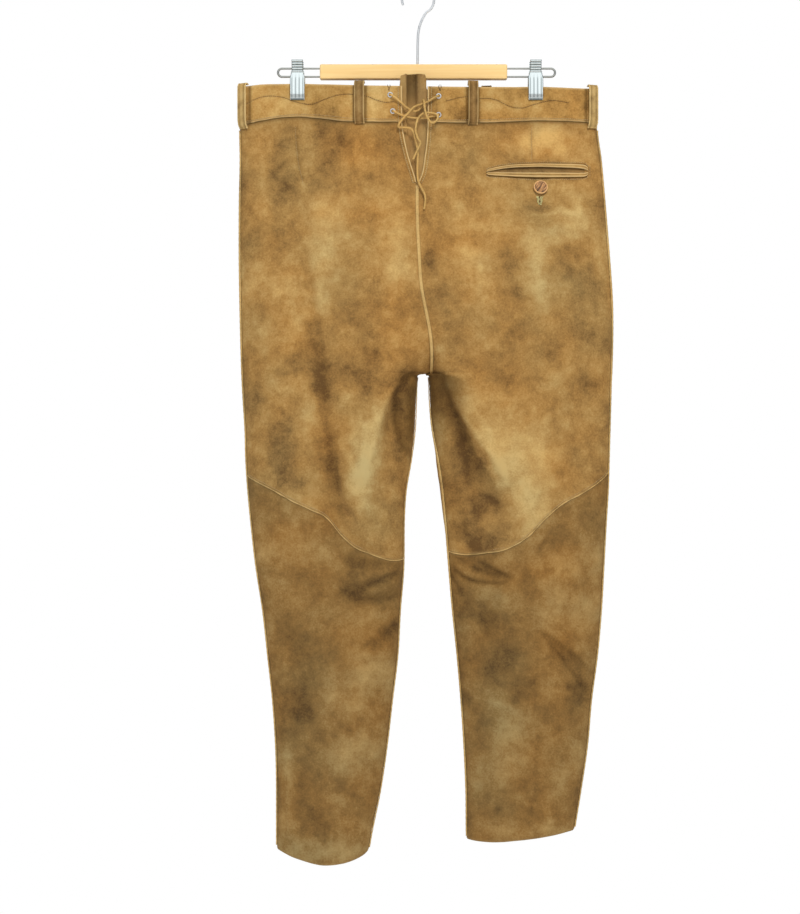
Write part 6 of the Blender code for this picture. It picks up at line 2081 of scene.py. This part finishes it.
def build_hub(word, x):
    """The hub, wound with the clip's spring."""
    radius = HUB_RADIUS - HUB_RECESS
    profile = ((0.0, 0.0), (radius, 0.0), (radius, HUB_LENGTH), (0.0, HUB_LENGTH))
    origin = (x - HUB_LENGTH / 2, 0.0, -HUB_DROP)
    mesh = turned_mesh(profile, HUB_SIDES, origin, (1.0, 0.0, 0.0))
    fine_piece(f"clip_{word}_hub", mesh, "Chrome")
    turns = np.linspace(0.0, 2 * math.pi * COIL_TURNS, COIL_TURNS * COIL_TURN_STEPS)
    run = HUB_LENGTH * COIL_SHARE
    radius = HUB_RADIUS - COIL_WIRE / 2 + COIL_PROUD
    coil = np.column_stack([
        x + np.linspace(-run, run, len(turns)),
        radius * np.cos(turns),
        -HUB_DROP + radius * np.sin(turns),
    ])
    mesh = tube_mesh(coil, COIL_WIRE / 2, COIL_SIDES)
    new_piece(f"spring_{word}", mesh, "Chrome")


# ------------------------------------------------------------ stitches

# Distance between stitches in usual distances, and their size
Thread = namedtuple("Thread", "spacing length width material slot")
THREADS = {
    "dark": Thread(1.0, 2.7, 0.75, "Dark Thread", "dark_leather"),
    "pale": Thread(1.0, 2.4, 0.70, "Pale Thread", "pale_leather"),
    "fine": Thread(0.8, 1.9, 0.50, "Pale Thread", "pale_leather"),
    "whip": Thread(0.18, 1.2, 1.1, "Lemon Thread", "pale_leather"),
    "slit": Thread(0.21, 1.6, 1.5, "Dark Thread", "dark_leather"),
    "close": Thread(0.21, 1.3, 0.70, "Dark Thread", "dark_leather"),
}
STITCH_UNEVENNESS = -0.25
LINE_STEPS = 160
STITCH_OUT = 0.35
STRIP_STITCH_OUT = 0.6
STRIP_STITCH_INSET = 1.2
BAND_STITCH_ABOVE = 3.0
KNEE_STITCH_ABOVE = 3.4
KNEE_STITCH_OUT = 0.25
FRONT_STITCH = (157.0, 4.0, 40.0)
DART_STITCH_OUT = 0.3
DART_SEAMS = {
    "left": ((-164, 193), (-163, 215), (-160, 240), (-155, 262), (-153.5, 268)),
    "right": ((152, 193), (152, 205), (152, 217), (152, 229), (152, 238)),
}
POCKET_STITCH_AWAY = 1.6
POCKET_STITCH_SHARES = (-0.985, 0.985, 120)
POCKET_END = 1.035
POCKET_END_DROPS = (-6.0, 6.0, 12)
# The buttonhole: its stitches reach out on both sides of its slit, less and less
HOLE_X = 161.5
HOLE_DROPS = (287.5, 298.0)
HOLE_STITCHES = 9
HOLE_SPREAD = 3.4
HOLE_NARROWING = (1.15, 0.07)
HOLE_HALF = 0.9
HOLE_STITCH_OUT = 0.75
SLIT_OUT = 0.25
SLIT_STEPS = 24
THREAD_END_TOP = 139.5
THREAD_END_LENGTH = 7.0
THREAD_END_CURL = (0.8, 6.0)
THREAD_END_OUT = 0.5
THREAD_END_STEPS = 10
# Where the loose ends start, and how far each leans
THREAD_ENDS = {"left": ((-40.0, 1.5), (-37.5, -1.0)), "right": ((27.5, 1.2), (30.5, -1.5))}


def stitch_tree():
    """A node tree that lays stitches along the edges of a mesh of lines."""
    tree = bpy.data.node_groups.new("Stitches", "GeometryNodeTree")
    sizes = ("Spacing", "Stitch Length", "Thread Width", "Unevenness")
    kinds = {"Geometry": "Geometry", **dict.fromkeys(sizes, "Float")}
    kinds |= {"Seed": "Int", "Thread": "Material"}
    for name, kind in kinds.items():
        tree.interface.new_socket(name, in_out="INPUT", socket_type=f"NodeSocket{kind}")
    tree.interface.new_socket("Geometry", in_out="OUTPUT", socket_type="NodeSocketGeometry")
    nodes = Nodes(tree)
    given = nodes.add("NodeGroupInput").outputs
    curve = nodes.add("GeometryNodeMeshToCurve", {"Mesh": given["Geometry"]}).outputs["Curve"]
    points = nodes.add(
        "GeometryNodeCurveToPoints", {"Curve": curve, "Length": given["Spacing"]}, mode="LENGTH",
    ).outputs
    ball = nodes.add("GeometryNodeMeshUVSphere", {"Segments": 6, "Rings": 4, "Radius": 0.5})
    aim = nodes.add(
        "FunctionNodeAlignRotationToVector", {"Vector": points["Tangent"]}, axis="Z",
    )
    chance = nodes.add("FunctionNodeRandomValue", {"Seed": given["Seed"]}, data_type="FLOAT")
    uneven = nodes.plus(nodes.times(chance.outputs[1], given["Unevenness"]), 1.0)
    width = given["Thread Width"]
    length = nodes.times(uneven, given["Stitch Length"])
    size = nodes.add("ShaderNodeCombineXYZ", {"X": width, "Y": width, "Z": length})
    laid = nodes.add("GeometryNodeInstanceOnPoints", {
        "Points": points["Points"], "Instance": ball.outputs["Mesh"],
        "Rotation": aim.outputs["Rotation"], "Scale": size.outputs["Vector"],
    }).outputs["Instances"]
    real = nodes.add("GeometryNodeRealizeInstances", {"Geometry": laid}).outputs["Geometry"]
    painted = nodes.add("GeometryNodeSetMaterial", {"Geometry": real, "Material": given["Thread"]})
    nodes.add("NodeGroupOutput", {"Geometry": painted.outputs["Geometry"]})
    return tree


def stitch_piece(name, lines, kind, seed):
    """Stitches along lines of points, as one piece."""
    thread = THREADS[kind]
    edges, first = [], 0
    for line in lines:
        edges += [(k, k + 1) for k in range(first, first + len(line) - 1)]
        first += len(line)
    rail = bpy.data.meshes.new(f"{name}_line")
    rail.from_pydata((np.vstack(lines) * MM).tolist(), edges, [])
    holder = link_object(f"{name}_line", rail)
    modifier = holder.modifiers.new("Stitches", "NODES")
    modifier.node_group = bpy.data.node_groups.get("Stitches") or stitch_tree()
    values = {
        "Spacing": thread.spacing * leather_settings().stitch_spacing,
        "Stitch Length": thread.length * MM,
        "Thread Width": thread.width * MM,
        "Unevenness": STITCH_UNEVENNESS,
        "Seed": seed,
        "Thread": materials()[thread.material],
    }
    for item in modifier.node_group.interface.items_tree:
        if item.in_out == "INPUT" and item.name in values:
            modifier[item.identifier] = values[item.name]
    bpy.context.view_layer.update()
    evaluated = holder.evaluated_get(bpy.context.evaluated_depsgraph_get())
    mesh = bpy.data.meshes.new_from_object(evaluated)
    bpy.data.objects.remove(holder)
    if not mesh.polygons:
        raise RuntimeError(f"{name} has no stitches")
    mesh.materials.clear()
    mesh.shade_smooth()
    new_piece(name, mesh, thread.material)


def stitch_half(seed, half):
    """Rows of stitches on one half: along its band, its notch, its knee seam and its dart."""
    word = half.word
    on_band = BAND_PROUD + STITCH_OUT
    wave = even(smooth_path(WAVE_STITCH[word]), LINE_STEPS)
    shares = np.linspace(1.02, 1.98, LINE_STEPS)
    middle, height, turns = FRONT_STITCH
    front = half.at(shares, middle + height * np.sin(shares * turns), on_band)
    lines = [half.over(*wave.T, on_band), front]
    stitch_piece(f"stitches_band_{word}", lines, "dark", seed)
    start, end = EDGE_DROPS
    drops = np.arange(start + EDGE_STEP, end, EDGE_STEP)
    xs = NOTCH_EDGES.read(word, drops) + half.side * (EDGE_WIDTH - STRIP_STITCH_INSET)
    lines = [half.over(xs, drops, strip_base(drops) + STRIP_STITCH_OUT)]
    for first in (0.0, 1.0):
        shares = first + np.linspace(0.02, 0.98, LINE_STEPS)
        lines.append(half.at(shares, half.band("bottom", shares) - BAND_STITCH_ABOVE, on_band))
    stitch_piece(f"stitches_edge_{word}", lines, "pale", seed + 10)
    shares = np.linspace(0.3, 0.99, 200)
    knee = half.at(shares, half.knee(shares) - KNEE_STITCH_ABOVE, KNEE_STITCH_OUT)
    dart = half.over(*np.transpose(DART_SEAMS[word]), DART_STITCH_OUT)
    stitch_piece(f"stitches_seam_{word}", [knee, dart], "fine", seed + 40)


def stitch_pocket():
    """Rows round the pocket, and the worked buttonhole below it."""
    across = np.linspace(*POCKET_STITCH_SHARES)
    away = POCKET_STITCH_AWAY
    stitch_piece("stitches_pocket", [
        pocket_place(across, pocket_line("upper", across) - away, STITCH_OUT),
        pocket_place(across, pocket_line("lower", across) + away, STITCH_OUT),
        pocket_place(POCKET_END, np.linspace(*POCKET_END_DROPS), STITCH_OUT),
    ], "pale", 20)
    half = skins()["right"]
    lines = []
    first, less = HOLE_NARROWING
    for k, drop in enumerate(np.linspace(*HOLE_DROPS, HOLE_STITCHES)):
        spread = HOLE_SPREAD * (first - less * k)
        for way in (-1.0, 1.0):
            xs = HOLE_X + way * np.linspace(HOLE_HALF, spread, 5) + 0.4 * math.sin(5 * k + way)
            lines.append(half.over(xs, drop + way * 0.3, HOLE_STITCH_OUT))
    stitch_piece("stitches_buttonhole", lines, "whip", 21)
    slit = half.over(HOLE_X, np.linspace(*HOLE_DROPS, SLIT_STEPS), SLIT_OUT)
    stitch_piece("buttonhole_slit", [slit], "slit", 22)


def build_stitches():
    """Every row of stitches on the leather, the worked buttonhole and the loose ends."""
    for seed, half in enumerate(skins().values()):
        stitch_half(seed, half)
    stitch_pocket()
    steps = np.linspace(0.0, 1.0, THREAD_END_STEPS)
    curl, turns = THREAD_END_CURL
    for word, half in skins().items():
        lines = []
        for x, lean in THREAD_ENDS[word]:
            xs = x + lean * steps + curl * np.sin(turns * steps + x)
            drops = THREAD_END_TOP + THREAD_END_LENGTH * steps
            lines.append(half.over(xs, drops, BAND_PROUD + THREAD_END_OUT))
        stitch_piece(f"thread_ends_{word}", lines, "close", 30)


# ------------------------------------------------------------ stage

FLOOR_RADIUS = 9.0
FLOOR_DROP = -1.33
FLOOR_SPECKLE = 0.96
CAMERA_PLACE = (-0.0241, -3.0, -0.6333)
CAMERA_LENS = 88.2
CAMERA_SENSOR = 36.0
CAMERA_SEES = 60.0
WHITE = (1.0, 1.0, 1.0)
BACKDROP = 0.95
BACKDROP_FALL = 1.6
BOX_ASIDE = 0.8
BOX_LOW = -0.5
BOX_FALL = 3.0
BOX_BRIGHT = (1.0, 1.04, 1.06)
BOX_DARK = (0.07, 0.10, 0.14)
KEY_PLACE = (0.5, -2.3, 1.5)
KEY_AIM = (0.0, 0.0, -0.55)
KEY_COLOUR = (1.0, 0.985, 0.96)
FILL_PLACE = (-2.2, -1.8, -0.3)
FILL_SIZE = 1.8
FILL_COLOUR = (0.96, 0.98, 1.0)


def mix_for_ray(nodes, ray, plain, other):
    """One shader, and another for rays of the given kind."""
    given = {0: nodes.add("ShaderNodeLightPath").outputs[ray], 1: plain, 2: other}
    return nodes.add("ShaderNodeMixShader", given).outputs["Shader"]


def build_world(ambient):
    """Soft light with a brighter backdrop, white to the camera, and soft boxes for what shines."""
    world = bpy.data.worlds.new("Studio")
    bpy.context.scene.world = world
    world.use_nodes = True
    world.node_tree.nodes.clear()
    nodes = Nodes(world.node_tree)

    def background(colour):
        return nodes.add("ShaderNodeBackground", {"Color": colour}).outputs["Background"]

    place = nodes.add("ShaderNodeTexCoord").outputs["Generated"]
    way = nodes.add("ShaderNodeSeparateXYZ", {"Vector": place}).outputs
    behind = nodes.times(way["Y"], BACKDROP_FALL, clamp=True)
    even_light = background(nodes.mix(behind, (ambient,) * 3, (BACKDROP,) * 3))
    aside = nodes.minus(nodes.math("ABSOLUTE", way["X"]), BOX_ASIDE)
    aside = nodes.times(aside, -BOX_FALL, clamp=True)
    above = nodes.times(nodes.minus(way["Z"], BOX_LOW), BOX_FALL, clamp=True)
    boxes = background(nodes.mix(nodes.times(aside, above), BOX_DARK, BOX_BRIGHT))
    light = mix_for_ray(nodes, "Is Glossy Ray", even_light, boxes)
    light = mix_for_ray(nodes, "Is Camera Ray", light, background(WHITE))
    nodes.add("ShaderNodeOutputWorld", {"Surface": light})


def build_floor(colour):
    """A pale round floor under the garment."""
    bm = bmesh.new()
    bmesh.ops.create_circle(bm, cap_ends=True, segments=96, radius=FLOOR_RADIUS)
    bmesh.ops.translate(bm, vec=(0.0, 0.0, FLOOR_DROP), verts=bm.verts)
    mesh = bpy.data.meshes.new("floor")
    bm.to_mesh(mesh)
    bm.free()
    nodes, shader, place = new_material("Floor", colour)
    darker = tuple(FLOOR_SPECKLE * value for value in colour)
    speckled = nodes.mix(nodes.noise(place, scale=40.0, detail=2.0), darker, colour)
    nodes.put(shader, {"Base Color": speckled, "Roughness": 0.9})
    glow = nodes.add("ShaderNodeEmission").outputs["Emission"]
    white = mix_for_ray(nodes, "Is Camera Ray", shader.outputs["BSDF"], glow)
    nodes.put(nodes.tree.nodes["Material Output"], {"Surface": white})
    mesh.materials.append(bpy.data.materials["Floor"])
    link_object("floor", mesh)


def add_light(name, place, aim, size, power, colour):
    light = bpy.data.lights.new(name, "AREA")
    light.shape = "DISK"
    light.size = size
    light.energy = power
    light.color = colour
    item = link_object(name, light)
    item.location = place
    item.rotation_euler = (Vector(aim) - Vector(place)).to_track_quat("-Z", "Y").to_euler()
    item.visible_glossy = False


def build_camera():
    camera = bpy.data.cameras.new("camera")
    camera.lens = CAMERA_LENS
    camera.sensor_width = CAMERA_SENSOR
    camera.clip_end = CAMERA_SEES
    item = link_object("camera", camera)
    item.location = CAMERA_PLACE
    item.rotation_euler = (math.pi / 2, 0.0, 0.0)
    bpy.context.scene.camera = item


def build_stage():
    """Floor, world, two soft lights and the camera."""
    settings = bpy.context.scene.breeches_stage
    build_world(settings.ambient)
    build_floor(tuple(settings.floor_colour))
    add_light("key_light", KEY_PLACE, KEY_AIM, settings.key_size, settings.key_power, KEY_COLOUR)
    add_light("fill_light", FILL_PLACE, KEY_AIM, FILL_SIZE, settings.fill_power, FILL_COLOUR)
    build_camera()
    bpy.context.scene.view_settings.view_transform = "Standard"


# ------------------------------------------------------------ add-on

class BREECHES_OT_stage(Operator):
    """Set up the floor, the lights and the camera"""

    bl_idname = "breeches.stage"
    bl_label = "Stage"
    bl_options = {"REGISTER", "UNDO"}

    def execute(self, context):
        build_stage()
        return {"FINISHED"}


class BREECHES_OT_laces(Operator):
    """Lay the leather laces at the notch"""

    bl_idname = "breeches.laces"
    bl_label = "Laces"
    bl_options = {"REGISTER", "UNDO"}

    def execute(self, context):
        build_laces()
        return {"FINISHED"}


class BREECHES_OT_panels(Operator):
    """Cut the front and back panels of both legs"""

    bl_idname = "breeches.panels"
    bl_label = "Leg Panels"
    bl_options = {"REGISTER", "UNDO"}

    def execute(self, context):
        build_panels()
        return {"FINISHED"}


class BREECHES_OT_waistband(Operator):
    """Fold the four pieces of the waistband"""

    bl_idname = "breeches.waistband"
    bl_label = "Waistband"
    bl_options = {"REGISTER", "UNDO"}

    def execute(self, context):
        build_waistband()
        return {"FINISHED"}


class BREECHES_OT_welts(Operator):
    """Sew the pale welts into the seams"""

    bl_idname = "breeches.welts"
    bl_label = "Welts"
    bl_options = {"REGISTER", "UNDO"}

    def execute(self, context):
        build_welts()
        return {"FINISHED"}


class BREECHES_OT_notch(Operator):
    """Turn the edges of the notch and pleat the gusset behind it"""

    bl_idname = "breeches.notch"
    bl_label = "Notch and Gusset"
    bl_options = {"REGISTER", "UNDO"}

    def execute(self, context):
        build_notch_edges()
        build_gusset()
        return {"FINISHED"}


class BREECHES_OT_belt_loops(Operator):
    """Set the belt loops over the waistband"""

    bl_idname = "breeches.belt_loops"
    bl_label = "Belt Loops"
    bl_options = {"REGISTER", "UNDO"}

    def execute(self, context):
        build_belt_loops()
        return {"FINISHED"}


class BREECHES_OT_pocket(Operator):
    """Make the jets and the facing of the hip pocket"""

    bl_idname = "breeches.pocket"
    bl_label = "Hip Pocket"
    bl_options = {"REGISTER", "UNDO"}

    def execute(self, context):
        build_pocket()
        return {"FINISHED"}


class BREECHES_OT_buttons(Operator):
    """Turn the horn buttons"""

    bl_idname = "breeches.buttons"
    bl_label = "Buttons"
    bl_options = {"REGISTER", "UNDO"}

    def execute(self, context):
        build_buttons()
        return {"FINISHED"}


class BREECHES_OT_eyelets(Operator):
    """Set the eyelets of the laces"""

    bl_idname = "breeches.eyelets"
    bl_label = "Eyelets"
    bl_options = {"REGISTER", "UNDO"}

    def execute(self, context):
        build_eyelets()
        return {"FINISHED"}


class BREECHES_OT_stitches(Operator):
    """Sew the rows of stitches and the buttonhole"""

    bl_idname = "breeches.stitches"
    bl_label = "Stitches"
    bl_options = {"REGISTER", "UNDO"}

    def execute(self, context):
        build_stitches()
        return {"FINISHED"}


class BREECHES_OT_hanger(Operator):
    """Make the hanger's bar, wires and hook"""

    bl_idname = "breeches.hanger"
    bl_label = "Hanger"
    bl_options = {"REGISTER", "UNDO"}

    def execute(self, context):
        build_bar()
        build_wires()
        build_hook()
        return {"FINISHED"}


class BREECHES_OT_clips(Operator):
    """Make the clips that pinch the waistband"""

    bl_idname = "breeches.clips"
    bl_label = "Clips"
    bl_options = {"REGISTER", "UNDO"}

    def execute(self, context):
        build_clips()
        return {"FINISHED"}


class BREECHES_PT_main(Panel):
    """Settings and steps of the leather breeches"""

    bl_idname = "BREECHES_PT_main"
    bl_label = "Leather Breeches"
    bl_space_type = "VIEW_3D"
    bl_region_type = "UI"
    bl_category = "Breeches"

    def draw(self, context):
        scene = context.scene
        for settings in (scene.breeches_leather, scene.breeches_hanger, scene.breeches_stage):
            box = self.layout.box()
            for name in settings.__annotations__:
                box.prop(settings, name)
        column = self.layout.column()
        for operator in OPERATORS:
            column.operator(operator.bl_idname)


SETTINGS = {
    "breeches_leather": LeatherSettings,
    "breeches_hanger": HangerSettings,
    "breeches_stage": StageSettings,
}
# In the order in which the pieces are made
OPERATORS = (
    BREECHES_OT_stage,
    BREECHES_OT_laces,
    BREECHES_OT_panels,
    BREECHES_OT_waistband,
    BREECHES_OT_welts,
    BREECHES_OT_notch,
    BREECHES_OT_belt_loops,
    BREECHES_OT_pocket,
    BREECHES_OT_buttons,
    BREECHES_OT_eyelets,
    BREECHES_OT_stitches,
    BREECHES_OT_hanger,
    BREECHES_OT_clips,
)


def register():
    for name, group in SETTINGS.items():
        bpy.utils.register_class(group)
        setattr(bpy.types.Scene, name, PointerProperty(type=group))
    for operator in OPERATORS:
        bpy.utils.register_class(operator)
    bpy.utils.register_class(BREECHES_PT_main)


def unregister():
    bpy.utils.unregister_class(BREECHES_PT_main)
    for operator in reversed(OPERATORS):
        bpy.utils.unregister_class(operator)
    for name, group in SETTINGS.items():
        delattr(bpy.types.Scene, name)
        bpy.utils.unregister_class(group)


def main():
    register()
    bpy.ops.breeches.stage()
    bpy.ops.breeches.laces()
    bpy.ops.breeches.panels()
    bpy.ops.breeches.waistband()
    bpy.ops.breeches.welts()
    bpy.ops.breeches.notch()
    bpy.ops.breeches.belt_loops()
    bpy.ops.breeches.pocket()
    bpy.ops.breeches.buttons()
    bpy.ops.breeches.eyelets()
    bpy.ops.breeches.stitches()
    bpy.ops.breeches.hanger()
    bpy.ops.breeches.clips()


if __name__ == "__main__":
    main()
